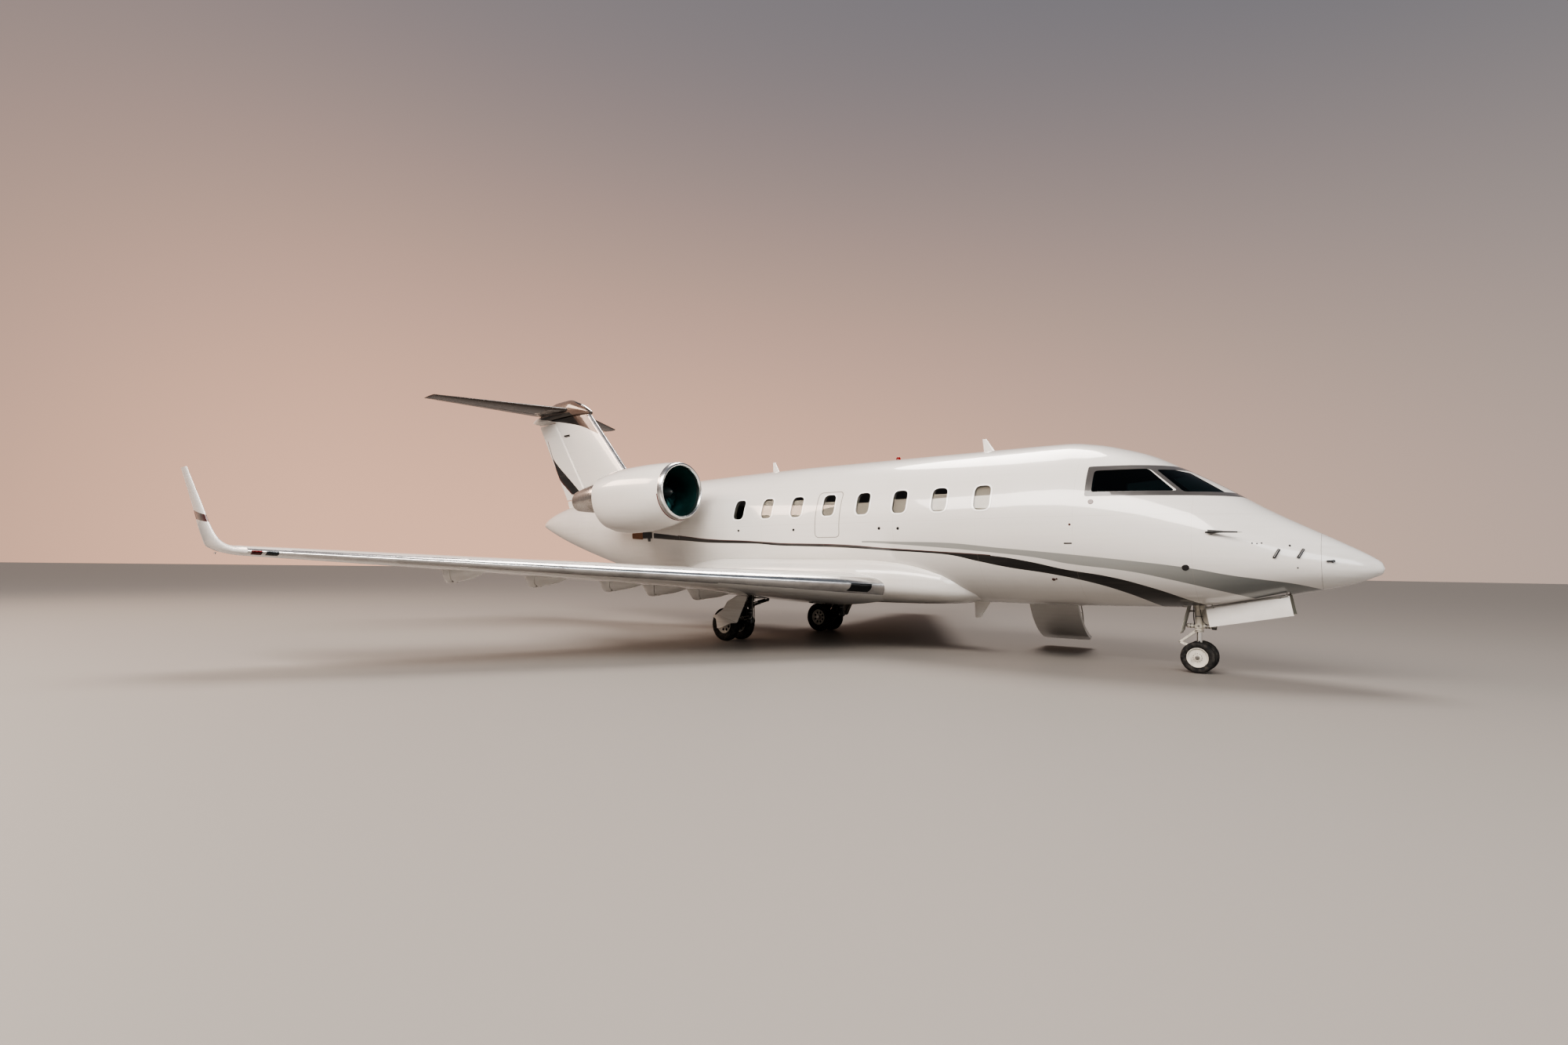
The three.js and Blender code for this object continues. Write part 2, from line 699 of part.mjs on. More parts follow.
// Fairing at the fin's top, around the stabiliser's root.
function finCap() {
  const rows = [
    [17260, 20, 5830],
    [17500, 95, 5990],
    [17900, 150, 6170],
    [18320, 168, 6300],
    [18900, 165, 6285],
    [19350, 130, 6200],
    [19700, 85, 6110],
  ];
  const low = FIN[2][0] + SEAT;
  const sides = 16;
  const body = loft(
    rows.map(([station, half, high]) =>
      Array.from({ length: sides }, (_, k) => {
        const a = (2 * Math.PI * k) / sides;
        const waist = low + (high - low) * 0.45;
        const rise = Math.cos(a) > 0 ? high - waist : waist - low;
        return vec(at(station), half * Math.sin(a), waist + rise * Math.cos(a));
      }),
    ),
  );
  const thicker = (section) => ({ ...section, thick: section.thick * 1.004 });
  const grown = loft([0, STABILISER[1][0]].map((span) => foilRing(thicker(tailAt(span)))));
  return cut(body, grown.add(mirrored(grown)));
}

// Engines, in the nacelle's own frame: rows of distance aft of the intake's highlight and radius. The cowl
// and its duct give a half width and a reach above and below the fan's axis, because the cowl hangs lower
// towards the rear and bulges below over the gearbox. The nozzle's rows give how far its centre has dropped.

const LIP = [
  [0, 548], [22, 585], [110, 602], [110, 505], [50, 512],
];
const COWL = [
  [110 + SEAT, 602, 602, 602], [360, 650, 612, 705], [740, 680, 615, 785], [1140, 695, 605, 835],
  [1540, 690, 585, 845], [1940, 665, 545, 825], [2240, 620, 500, 750],
];
const DUCT = [
  [100, 505, 505, 505], [560, 468, 468, 468], [900, 468, 468, 468], [1000, 555, 545, 560],
  [1500, 560, 530, 590], [1900, 555, 500, 610], [2250, 530, 472, 640],
];
const CORE = [
  [980, 20], [980, 300], [1500, 345], [2300, 352], [2300, 20],
];
const NOZZLE = [[2300 + SEAT, 352, 0], [2650, 350, 12], [3100, 305, 35], [3500, 240, 60]];
const NOZZLE_WALL = 20;
const FAN = { fore: 560, aft: 880, tip: 440, hub: 150, blades: 14, bearing: 975 };
const STRUTS = { fore: 1250, aft: 1700, half: 16 };
const ENGINE_SIDES = 20;

function cowlRing([aft, side, top, bottom], grow) {
  return Array.from({ length: ENGINE_SIDES }, (_, k) => {
    const a = (2 * Math.PI * k) / ENGINE_SIDES;
    const reach = Math.cos(a) > 0 ? top : bottom;
    return vec(-aft, (side + grow) * Math.sin(a), (reach + grow) * Math.cos(a));
  });
}
const cowlLoft = (rows, grow = 0) => loft(rows.map((row) => cowlRing(row, grow)));

function nozzleLoft(rows, inset) {
  return loft(
    rows.map(([aft, radius, drop]) =>
      cowlRing([aft, radius, radius, radius], -inset).map((point) => point.add(vec(0, 0, -drop))),
    ),
  );
}

const intakeLip = () => turned([...LIP, LIP[0]], ENGINE_SIDES);
const nacelle = () => cut(cowlLoft(COWL), cowlLoft(DUCT));

function nozzle() {
  const [first, last] = [NOZZLE[0], NOZZLE[NOZZLE.length - 1]];
  const before = [first[0] - 100, first[1], first[2]];
  const after = [last[0] + 40, last[1] - 6, last[2] + 4];
  return cut(nozzleLoft(NOZZLE, 0), nozzleLoft([before, ...NOZZLE, after], NOZZLE_WALL));
}

function engineCore() {
  const { fore, aft, half } = STRUTS;
  const profile = [[CORE[0][0], 0], ...CORE.slice(1, 4), [CORE[4][0], 0]];
  const upright = box(-fore, -aft, -half, half, -700, 700);
  const level = box(-fore, -aft, -700, 700, -half, half);
  const struts = upright.add(level).intersect(cowlLoft(DUCT, -SEAT));
  const shaft = bar(vec(-FAN.bearing - 20, 0, 0), vec(-FAN.aft - SEAT, 0, 0), 60);
  return join(turned(profile, ENGINE_SIDES), struts, shaft);
}

// Fan: spinner, hub and twisted blades that overlap the hub.
function fan() {
  const spinner = turned(
    [[FAN.fore - 260, 0], [FAN.fore - 170, 80], [FAN.fore, FAN.hub], [FAN.aft, FAN.hub], [FAN.aft, 0]],
    18,
  );
  const blades = Array.from({ length: FAN.blades }, (_, k) => {
    const turn = new THREE.Matrix4().makeRotationX((2 * Math.PI * k) / FAN.blades);
    const ring = (radius, pitch, half, chord) =>
      [[-1, -1], [1, -1], [1, 1], [-1, 1]].map(([i, j]) => {
        const x = i * chord * Math.cos(pitch) - j * half * Math.sin(pitch);
        const y = i * chord * Math.sin(pitch) + j * half * Math.cos(pitch);
        return vec(x - (FAN.fore + FAN.aft) / 2, y, radius);
      });
    const blade = loft([
      ring(FAN.hub - 15, deg(25), 9, 95),
      ring(FAN.tip, deg(58), 4, 115),
    ]);
    return moved(blade, turn);
  });
  return join(spinner, ...blades);
}

function pylon() {
  const rows = [
    [900, 11900, 2960, 2500, 250],
    [1350, 11900, 2985, 2250, 230],
    [1700, 12000, 3005, 1550, 190],
  ];
  const body = loft(
    rows.map(([span, station, height, chord, thick]) => {
      const section = {
        lead: vec(at(station), span, height), chord, thick: thick / chord, up: vec(0, 0, 1), turn: 0,
      };
      return foilRing(section);
    }),
  );
  const [aft, ...reaches] = COWL[COWL.length - 1];
  const grown = cowlLoft([...COWL, [aft + SEAT, ...reaches]], SEAT);
  const either = grown.add(mirrored(grown));
  const keepOut = shifted(either, at(ENGINE.station), ENGINE.span, ENGINE.height);
  return cut(body, skinGrown, keepOut);
}

// Gear

function tyre(wheel) {
  const { radius, width, rim } = wheel;
  const w = width / 2;
  const profile = [
    [w * 0.72, rim], [w, rim + (radius - rim) * 0.4], [w * 0.62, radius],
    [-w * 0.62, radius], [-w, rim + (radius - rim) * 0.4], [-w * 0.72, rim],
  ];
  const points = [...profile, profile[0]].map(([y, r]) => new THREE.Vector2(r, y));
  return solid(new THREE.LatheGeometry(points, WHEEL_SIDES));
}

// Wheel disc with a bore for the axle and a hollow on each side.
function rim(wheel) {
  const w = wheel.width / 2;
  const bore = boreAround(wheel.axle, WHEEL_SIDES);
  const r = wheel.rim - SEAT;
  const profile = [
    [bore, w * 0.6], [r * 0.78, w * 0.45], [r * 0.86, w * 0.72], [r, w * 0.72],
    [r, -w * 0.72], [r * 0.86, -w * 0.72], [r * 0.78, -w * 0.45], [bore, -w * 0.6],
  ];
  const points = [...profile, profile[0]].map(([radius, y]) => new THREE.Vector2(radius, y));
  return solid(new THREE.LatheGeometry(points, WHEEL_SIDES));
}

// Nose rims on the live axle that joins them.
function noseRims() {
  const { radius, spacing, axle } = NOSE_WHEEL;
  const x = at(NOSE_GEAR_STATION);
  const disc = rim({ ...NOSE_WHEEL, axle: axle - 4 });
  return join(
    shifted(disc, x, spacing / 2, radius),
    shifted(disc, x, -spacing / 2, radius),
    bar(vec(x, -spacing / 2 - 20, radius), vec(x, spacing / 2 + 20, radius), axle, AXLE_SIDES),
  );
}

// Main leg: a post ahead of the axle, an arm that trails from its foot to the axle, the spring strut
// between them, and the side brace that runs inboard to a lug under the wing.
const LEG = { station: 9700, radius: 62, top: LEG_WELL.roof - SEAT, foot: 400 };
const TRAILING_ARM = { radius: 50, housing: 62 };
const SPRING_STRUT = { top: [9740, 830], foot: [10060, 385], neck: 0.62, cylinder: 46, piston: 32 };
const SIDE_BRACE = { height: 700, inner: 1120, end: 808, radius: 26, lug: 836 };

function mainLeg() {
  const x = at(LEG.station);
  const wheelX = at(MAIN_GEAR_STATION);
  const axle = MAIN_WHEEL.radius;
  const y = HALF_TRACK;
  const half = MAIN_WHEEL.spacing / 2 + MAIN_WHEEL.width / 2 + 16;
  const housing = MAIN_WHEEL.spacing / 2 - 110;
  const [top, foot] = [SPRING_STRUT.top, SPRING_STRUT.foot].map(([station, z]) => vec(at(station), y, z));
  const neck = top.clone().lerp(foot, SPRING_STRUT.neck);
  const braceEnd = vec(x + 40, SIDE_BRACE.inner, SIDE_BRACE.end);
  return join(
    bar(vec(x, y, LEG.foot - 45), vec(x, y, LEG.top), LEG.radius),
    bar(vec(x, y, LEG.foot), vec(wheelX, y, axle), TRAILING_ARM.radius),
    bar(vec(wheelX, y - half, axle), vec(wheelX, y + half, axle), MAIN_WHEEL.axle, AXLE_SIDES),
    bar(vec(wheelX, y - housing, axle), vec(wheelX, y + housing, axle), TRAILING_ARM.housing),
    bar(top, neck, SPRING_STRUT.cylinder),
    bar(neck, foot, SPRING_STRUT.piston),
    bar(vec(x, y, SIDE_BRACE.height), braceEnd, SIDE_BRACE.radius),
    box(braceEnd.x - 22, braceEnd.x + 22, braceEnd.y - 20, braceEnd.y + 20, SIDE_BRACE.end, SIDE_BRACE.lug),
  );
}

// Door fixed to the leg: a panel outboard of the leg that widens into a fender over the outer wheel.
const LEG_DOOR = {
  thickness: 18,
  gap: 22,
  stay: 780,
  outline: [
    [9500, 903], [9760, 917], [10030, 780], [10130, 635], [10310, 520], [10410, 485],
    [10300, 425], [10215, 246], [10020, 309], [9940, 358], [9758, 375],
  ],
};

function legDoor() {
  const y = HALF_TRACK + MAIN_WHEEL.spacing / 2 + MAIN_WHEEL.width / 2 + LEG_DOOR.gap;
  const panel = sidePrism(LEG_DOOR.outline, y, y + LEG_DOOR.thickness);
  const x = at(LEG.station);
  const stay = bar(vec(x, HALF_TRACK + LEG.radius + SEAT, LEG_DOOR.stay), vec(x, y + 6, LEG_DOOR.stay), 16);
  return join(panel, stay);
}

// Nose leg with its cross tube, brace web and drag strut, the lamp tube that runs fore and aft, and the
// rear door, a plate that leans aft from the bay.
const NOSE_LEG = { foot: 640, radius: 56, cross: 1180 };
const LAMP_TUBE = { height: 680, aft: -170, fore: 220, radius: 32, can: 160, canRadius: 46 };
const REAR_PLATE = [[2240, 1100], [2260, 1100], [2400, 560], [2380, 560]];
const BRACE_WEB = [[2130, 725], [1950, 705], [1945, 800], [2055, 900], [2058, 985], [2130, 985]];

function noseLeg() {
  const x = at(NOSE_GEAR_STATION);
  const roof = NOSE_BAY.roof - SEAT;
  const side = NOSE_BAY.half - SEAT;
  const { height, aft, fore, radius, can, canRadius } = LAMP_TUBE;
  return join(
    bar(vec(x, 0, NOSE_LEG.foot), vec(x, 0, roof), NOSE_LEG.radius),
    bar(vec(x, -side, NOSE_LEG.cross), vec(x, side, NOSE_LEG.cross), 34),
    sidePrism(BRACE_WEB, -14, 14),
    bar(vec(x + 20, 0, 1010), vec(x + 480, 0, 1390), 24),
    bar(vec(x + aft, 0, height), vec(x + fore, 0, height), radius),
    bar(vec(x + can, 0, height), vec(x + fore + 5, 0, height), canRadius),
    sidePrism(REAR_PLATE, -120, 120),
    bar(vec(x - 30, 0, 900), vec(x - 138, 0, 900), 14),
  );
}

const TORQUE_LINK = { reach: 265, top: 600, apex: 425, low: 330, radius: 17 };

function noseFork() {
  const x = at(NOSE_GEAR_STATION);
  const axle = NOSE_WHEEL.radius;
  const housing = NOSE_WHEEL.spacing / 2 - NOSE_WHEEL.width / 2 - 12;
  const { reach, top, apex, low, radius } = TORQUE_LINK;
  const collar = NOSE_LEG.foot - SEAT;
  const body = join(
    bar(vec(x, 0, axle - 24), vec(x, 0, collar), 40),
    bar(vec(x, 0, NOSE_LEG.foot - 50), vec(x, 0, collar), 58),
    bar(vec(x, -housing, axle), vec(x, housing, axle), 42, AXLE_SIDES),
    bar(vec(x - 40, 0, top), vec(x - reach, 0, apex), radius),
    bar(vec(x - reach, 0, apex + 15), vec(x - 30, 0, low), radius),
  );
  const bore = boreAround(NOSE_WHEEL.axle, AXLE_SIDES);
  return cut(body, bar(vec(x, -200, axle), vec(x, 200, axle), bore, AXLE_SIDES));
}

// Forward door of the nose gear: half the bay's cover in its closed place, turned about its outer edge.
// The keel bows below the straight hinge line, so the hinge is dropped below the skin at its ends.
const NOSE_DOOR = { fore: 1030, aft: 2045, inner: 6, outer: 284, thickness: 20, drop: 42, open: 88 };
const noseDoorAxis = (() => {
  const [a, b] = [NOSE_DOOR.fore, NOSE_DOOR.aft].map((station) => {
    const row = rowAt(BODY, BODY_COLUMNS, station);
    const y = NOSE_DOOR.outer + 8;
    const skin = row.waist - (row.waist - row.keel) * Math.sqrt(1 - (y / row.half) ** 2);
    return vec(at(station), y, skin - NOSE_DOOR.drop);
  });
  const along = a.clone().sub(b).normalize();
  return { from: b.addScaledVector(along, 30), to: a.addScaledVector(along, -30), along };
})();
const NOSE_DOOR_TUBE = 9;

// Knuckles on the bay's edge that hold the door's hinge tube at both ends.
function bayKnuckles() {
  const { from, to, along } = noseDoorAxis;
  const width = 22;
  const aft = from.clone().addScaledVector(along, -width - SEAT);
  const fore = to.clone().addScaledVector(along, SEAT);
  return [aft, fore].map((start) => {
    const end = start.clone().addScaledVector(along, width);
    const web = start.clone().add(end).multiplyScalar(0.5);
    return join(bar(start, end, NOSE_DOOR_TUBE), bar(web, web.clone().add(vec(0, 12, 64)), 7));
  });
}

const about = (point, along, angle) =>
  new THREE.Matrix4()
    .makeTranslation(point)
    .multiply(new THREE.Matrix4().makeRotationAxis(along, angle))
    .multiply(new THREE.Matrix4().makeTranslation(point.clone().negate()));

function noseDoor() {
  const { fore, aft, inner, outer, thickness, open } = NOSE_DOOR;
  const sheet = cut(bodyLoft(fore, aft, 0), bodyLoft(fore - 100, aft + 100, thickness));
  const panel = sheet.intersect(box(at(fore + 1), at(aft - 1), inner, outer, 500, 1500));
  const tube = bar(noseDoorAxis.from, noseDoorAxis.to, NOSE_DOOR_TUBE);
  const straps = [0.08, 0.5, 0.92].map((t) => {
    const root = noseDoorAxis.from.clone().lerp(noseDoorAxis.to, t);
    return bar(root, root.clone().add(vec(0, -24, 34)), 8);
  });
  return moved(join(panel, ...straps, tube), about(noseDoorAxis.from, noseDoorAxis.along, deg(open)));
}

// Airstair: the door panel in its closed place, with steps and a hinge tube, turned about the sill.

const doorHinge = (() => {
  const row = rowAt(BODY, BODY_COLUMNS, DOOR.aft);
  const drop = (row.waist - DOOR.sill) / (row.waist - row.keel);
  return vec(0, row.half * Math.sqrt(1 - drop * drop) + 22, DOOR.sill);
})();
const HINGE_TUBE = 13;
const DOOR_GAP = 8;
const HEAD_GAP = 20; // the door's inner edge rises as it swings out

function airstair() {
  const around = [DOOR.fore - 400, DOOR.aft + 400];
  const wall = cut(bodyLoft(...around, 0), bodyLoft(around[0] - 100, around[1] + 100, 70));
  const panel = wall.intersect(doorPrism(DOOR_GAP, HEAD_GAP));
  const side = (from, to) => ({ from: at(DOOR.fore + from), to: at(DOOR.aft - to) });
  const tube = side(60, 60);
  const { y: hingeY, z: hingeZ } = doorHinge;
  const parts = [panel, bar(vec(tube.from, hingeY, hingeZ), vec(tube.to, hingeY, hingeZ), HINGE_TUBE)];
  const arm = (station) =>
    box(at(station - 20), at(station + 20), hingeY - 40, hingeY + 6, hingeZ + 7, hingeZ + 45);
  const middle = (DOOR.fore + DOOR.aft) / 2;
  parts.push(...[DOOR.fore + 120, middle, DOOR.aft - 120].map(arm));
  const count = 6;
  for (let k = 0; k < count; k++) {
    const z = DOOR.sill + 190 + (k * (DOOR.head - DOOR.sill - 380)) / (count - 1);
    const skin = bodyRing(middle, 60);
    const y = sideAt(skin, z);
    const tread = box(at(DOOR.fore + 130), at(DOOR.aft - 130), y - 110, y + 8, z - 10, z + 10);
    parts.push(moved(tread, about(vec(0, y, z), vec(1, 0, 0), deg(DOOR.open - 180))));
  }
  return moved(join(...parts), about(doorHinge, vec(1, 0, 0), -deg(DOOR.open)));
}

// Half width of a ring at a height.
function sideAt(ring, z) {
  for (let k = 1; k < ring.length / 2; k++) {
    const [a, b] = [ring[k], ring[k + 1]];
    if (a.z >= z && b.z <= z) return a.y + ((b.y - a.y) * (a.z - z)) / (a.z - b.z);
  }
  return ring[ring.length / 4].y;
}

// Knuckles on the sill that hold the door's hinge tube at both ends.
function sillKnuckles() {
  const { y, z } = doorHinge;
  const width = 30;
  return [DOOR.fore + 60 - width - SEAT, DOOR.aft - 60 + SEAT].map((station) =>
    join(
      bar(vec(at(station), y, z), vec(at(station + width), y, z), HINGE_TUBE),
      box(at(station), at(station + width), y - 60, y, z - 12, z - 1),
    ),
  );
}

// Assembly

const root = new THREE.Group();

function piece(name, body, material, parent = root) {
  const mesh = new THREE.Mesh(geometryOf(body), material);
  mesh.name = name;
  parent.add(mesh);
  return mesh;
}
function pair(name, body, material) {
  piece(name + "_left", body, material);
  piece(name + "_right", mirrored(body), material);
}

const bayHinges = join(...bayKnuckles());
const hull = join(fuselage(), ...sillKnuckles(), bayHinges, mirrored(bayHinges));
piece("fuselage", hull, WHITE);
piece("radome", radome(), WHITE);
piece("tail_section", tailSection(), WHITE);
piece("belly_fairing", bellyFairing(), WHITE);
piece("floor_and_bulkheads", floorAndBulkheads(), LINING);
piece("instrument_panel", instrumentPanel(), PANEL);
piece("crew_seats", crewSeats(), LEATHER);
pair("windshield", cockpitPane(WINDSHIELD), GLASS);
pair("side_pane", cockpitPane(SIDE_PANE), GLASS);
piece("overwing_exit", overwingExit(), WHITE);
piece("airstair", airstair(), WHITE);

pair("wing", wing(), WHITE);
pair("winglet", winglet(), WHITE);
pair("aileron", aileron(), WHITE);
for (const flap of FLAPS) pair("flap_" + flap.name, flapSolid(flap), WHITE);
piece("fin", fin(), WHITE);
piece("rudder", rudder(), WHITE);
piece("fin_cap", finCap(), BRONZE);
piece("stabiliser", stabiliser(), BRONZE);
pair("elevator", elevator(), BRONZE);

pair("pylon", pylon(), WHITE);
for (const [side, name] of [[1, "left"], [-1, "right"]]) {
  const engine = new THREE.Group();
  engine.position.set(at(ENGINE.station), side * ENGINE.span, ENGINE.height);
  root.add(engine);
  piece("intake_lip_" + name, intakeLip(), METAL, engine);
  piece("nacelle_" + name, nacelle(), WHITE, engine);
  piece("engine_core_" + name, engineCore(), DARK_METAL, engine);
  piece("nozzle_" + name, nozzle(), DARK_METAL, engine);
  piece("fan_" + name, fan(), METAL, engine);
}

piece("nose_leg", noseLeg(), GEAR);
piece("nose_fork", noseFork(), GEAR);
pair("nose_door", noseDoor(), WHITE);
pair("main_leg", mainLeg(), DARK_GEAR);
pair("leg_door", legDoor(), WHITE);

function wheels(name, wheel, station, middle) {
  const outward = middle < 0 ? -1 : 1;
  for (const [side, end] of [[outward, "outer"], [-outward, "inner"]]) {
    const group = new THREE.Group();
    group.position.set(at(station), middle + (side * wheel.spacing) / 2, wheel.radius);
    root.add(group);
    piece(name + "_tyre_" + end, tyre(wheel), RUBBER, group);
    if (wheel !== NOSE_WHEEL) piece(name + "_rim_" + end, rim(wheel), HUB, group);
  }
}
wheels("nose", NOSE_WHEEL, NOSE_GEAR_STATION, 0);
piece("nose_rims", noseRims(), HUB);
wheels("main_left", MAIN_WHEEL, MAIN_GEAR_STATION, HALF_TRACK);
wheels("main_right", MAIN_WHEEL, MAIN_GEAR_STATION, -HALF_TRACK);

export default root;
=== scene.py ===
# Business jet standing on its gear with its airstair let down.
# Metres, +X forward, +Y to port, +Z up. A station is a distance aft of the nose tip.

import json
import math

import bmesh
import bpy
import numpy as np
from mathutils import Matrix, Vector


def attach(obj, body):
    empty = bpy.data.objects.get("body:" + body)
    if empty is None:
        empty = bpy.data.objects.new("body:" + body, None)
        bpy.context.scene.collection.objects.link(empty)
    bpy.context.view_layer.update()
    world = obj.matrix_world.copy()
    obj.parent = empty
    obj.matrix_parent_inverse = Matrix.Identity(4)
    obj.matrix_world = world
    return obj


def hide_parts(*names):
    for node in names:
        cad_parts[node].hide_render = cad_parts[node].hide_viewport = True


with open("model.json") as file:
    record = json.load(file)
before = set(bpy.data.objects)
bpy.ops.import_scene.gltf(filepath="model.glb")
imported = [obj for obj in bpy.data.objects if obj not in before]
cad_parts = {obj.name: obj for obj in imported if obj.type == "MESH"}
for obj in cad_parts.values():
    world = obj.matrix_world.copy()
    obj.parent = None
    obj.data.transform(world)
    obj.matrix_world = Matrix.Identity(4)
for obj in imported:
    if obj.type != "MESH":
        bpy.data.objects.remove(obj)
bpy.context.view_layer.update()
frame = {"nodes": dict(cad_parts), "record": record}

# Fuselage
# A light-alloy pressure shell over frames and stringers, riveted in long panels and painted glossy white
# with a black stripe, a grey band and a fine red line. Windows, exit, door and nose bay are cut in it.

LENGTH = 20.85
HULL = [
    # station, crown, keel, half width, height of the widest point
    (0.00, 1.590, 1.520, 0.038, 1.558), (0.09, 1.700, 1.455, 0.150, 1.565),
    (0.24, 1.800, 1.385, 0.270, 1.578), (0.55, 1.984, 1.288, 0.455, 1.612),
    (0.89, 2.177, 1.212, 0.612, 1.655), (1.23, 2.379, 1.127, 0.742, 1.705),
    (1.58, 2.613, 1.038, 0.862, 1.768), (1.95, 2.850, 0.975, 0.968, 1.840),
    (2.34, 3.077, 0.952, 1.066, 1.918), (2.75, 3.296, 0.942, 1.152, 1.998),
    (3.18, 3.445, 0.930, 1.226, 2.080), (3.54, 3.538, 0.920, 1.276, 2.145),
    (3.97, 3.595, 0.911, 1.318, 2.208), (4.60, 3.600, 0.905, 1.345, 2.250),
    (9.00, 3.598, 0.905, 1.345, 2.250), (10.2, 3.586, 0.905, 1.342, 2.248),
    (11.4, 3.566, 0.912, 1.318, 2.245), (12.6, 3.538, 0.955, 1.250, 2.250),
    (13.8, 3.498, 1.095, 1.125, 2.300), (15.0, 3.440, 1.325, 0.955, 2.385),
    (16.2, 3.350, 1.605, 0.760, 2.475), (17.4, 3.205, 1.915, 0.545, 2.560),
    (18.3, 3.040, 2.185, 0.365, 2.612), (18.9, 2.870, 2.395, 0.225, 2.632),
    (19.31, 2.700, 2.545, 0.080, 2.622),
]
HULL_SIDES = 112
RADOME_JOINT, TAIL_JOINT, PANEL_GAP = 0.65, 12.15, 0.0015
WALL = 0.085
NOSE_ROUND, NOSE_START, THINNEST = 0.035, 0.0004, 0.004


def at(station):
    """X of a station."""
    return LENGTH / 2 - station


def turns(count, phase=0.0):
    """Angles of equal steps round a circle."""
    return 2 * math.pi * (np.arange(count) + phase) / count


def eased(table):
    """Smooth curve through a table's rows that never overshoots them."""
    rows = np.array(table, float)
    known, values = rows[:, 0], rows[:, 1:]
    step = np.diff(known)[:, None]
    slope = np.diff(values, axis=0) / step
    tangent = np.zeros_like(values)
    tangent[0], tangent[-1] = slope[0], slope[-1]
    before, after = slope[:-1], slope[1:]
    near, far = 2 * step[1:] + step[:-1], step[1:] + 2 * step[:-1]
    same = before * after > 0
    safe = np.where(same, near / np.where(same, before, 1) + far / np.where(same, after, 1), 1)
    tangent[1:-1] = np.where(same, (near + far) / safe, 0)

    def value(place):
        place = np.atleast_1d(np.asarray(place, float))
        i = np.clip(np.searchsorted(known, place) - 1, 0, len(known) - 2)
        h = step[i]
        t = ((place - known[i]) / h[:, 0])[:, None]
        rise = values[i] * (1 + 2 * t) * (1 - t) ** 2 + values[i + 1] * t**2 * (3 - 2 * t)
        return rise + h * (tangent[i] * t * (1 - t) ** 2 - tangent[i + 1] * t**2 * (1 - t))

    return value


hull_by_root = eased([(math.sqrt(row[0]), *row[1:]) for row in HULL])


def hull(station):
    """Crown, keel, half width and height of the widest point at each station."""
    return hull_by_root(np.sqrt(np.maximum(station, 0)))


def oval(centre, half, up, down, sides):
    """Upright crosswise ring that reaches sideways, up and down by amounts of its own."""
    turn = turns(sides)
    rise = np.where(np.cos(turn) > 0, up, down)
    x, y, z = centre
    return np.stack([np.full(sides, x), y + half * np.sin(turn), z + rise * np.cos(turn)], 1)


def hull_ring(station, inset=0.0):
    """The skin's section, inset all round, which closes to a round nose at the tip."""
    crown, keel, half, waist = hull(station)[0]
    near_tip = 1 - max(station, NOSE_START) / NOSE_ROUND
    tip = math.sqrt(1 - near_tip**2) if near_tip > 0 else 1
    reaches = [tip * max(reach - inset, THINNEST) for reach in (half, crown - waist, waist - keel)]
    return oval((at(station), 0, waist), *reaches, HULL_SIDES)


def hull_normals(points, reach=0.01):
    """Outward normals of the smooth skin beside each point."""
    points = np.asarray(points, float)
    station = LENGTH / 2 - points[:, 0]
    crown, keel, half, waist = hull(station).T
    grow = (hull(station + reach) - hull(station - reach)).T / (2 * reach)
    y, z = points[:, 1], points[:, 2] - waist
    rise = np.where(z > 0, crown - waist, waist - keel)
    rise_grow = np.where(z > 0, grow[0] - grow[3], grow[3] - grow[1])
    aft = -2 * y**2 / half**3 * grow[2] - 2 * z / rise**2 * grow[3] - 2 * z**2 / rise**3 * rise_grow
    normals = np.stack([-aft, 2 * y / half**2, 2 * z / rise**2], 1)
    return normals / np.linalg.norm(normals, axis=1)[:, None]


def side_of_hull(station, height):
    """Half width of the skin at stations and heights."""
    crown, keel, half, waist = hull(station).T
    z = np.asarray(height, float) - waist
    rise = np.where(z > 0, crown - waist, waist - keel)
    return half * np.sqrt(np.maximum(1 - (z / rise) ** 2, 0.0004))


def on_hull(outline, side, lift=0.0):
    """Points of a (station, height) outline on the port (1) or starboard (-1) skin, raised by lift."""
    station, height = np.asarray(outline, float).T
    points = np.stack([LENGTH / 2 - station, side * side_of_hull(station, height), height], 1)
    return points + lift * hull_normals(points)


def loft(rings, marks=0, closed=False):
    """Skin over rings of equal count; marks give the finish of every band, or of each in turn."""
    count = len(rings[0])
    faces, signs = [], []
    for r in range(len(rings) if closed else len(rings) - 1):
        a, b = r * count, (r + 1) % len(rings) * count
        faces += [(a + k, a + (k + 1) % count, b + (k + 1) % count, b + k) for k in range(count)]
        signs += [marks[r] if isinstance(marks, list) else marks] * count
    return np.concatenate(rings), faces, signs


def capped(rings, mark=0):
    """A loft with both ends filled."""
    points, faces, marks = loft(rings, mark)
    count = len(rings[0])
    faces += [tuple(reversed(range(count))), tuple(range(len(points) - count, len(points)))]
    return points, faces, marks + [mark, mark]


def mesh_of(parts, finishes, open_sheet=False):
    """One mesh from parts of points, faces and finish numbers."""
    points, faces, marks = [], [], []
    for part_points, part_faces, part_marks in parts:
        faces += [tuple(i + len(points) for i in face) for face in part_faces]
        points += [tuple(map(float, p)) for p in part_points]
        marks += part_marks
    mesh = bpy.data.meshes.new("mesh")
    mesh.from_pydata(points, [], faces)
    for finish in finishes:
        mesh.materials.append(finish)
    mesh.polygons.foreach_set("material_index", marks)
    work = bmesh.new()
    work.from_mesh(mesh)
    bmesh.ops.remove_doubles(work, verts=work.verts, dist=1e-5)
    if not open_sheet:
        bmesh.ops.recalc_face_normals(work, faces=work.faces)
    work.to_mesh(mesh)
    work.free()
    return mesh


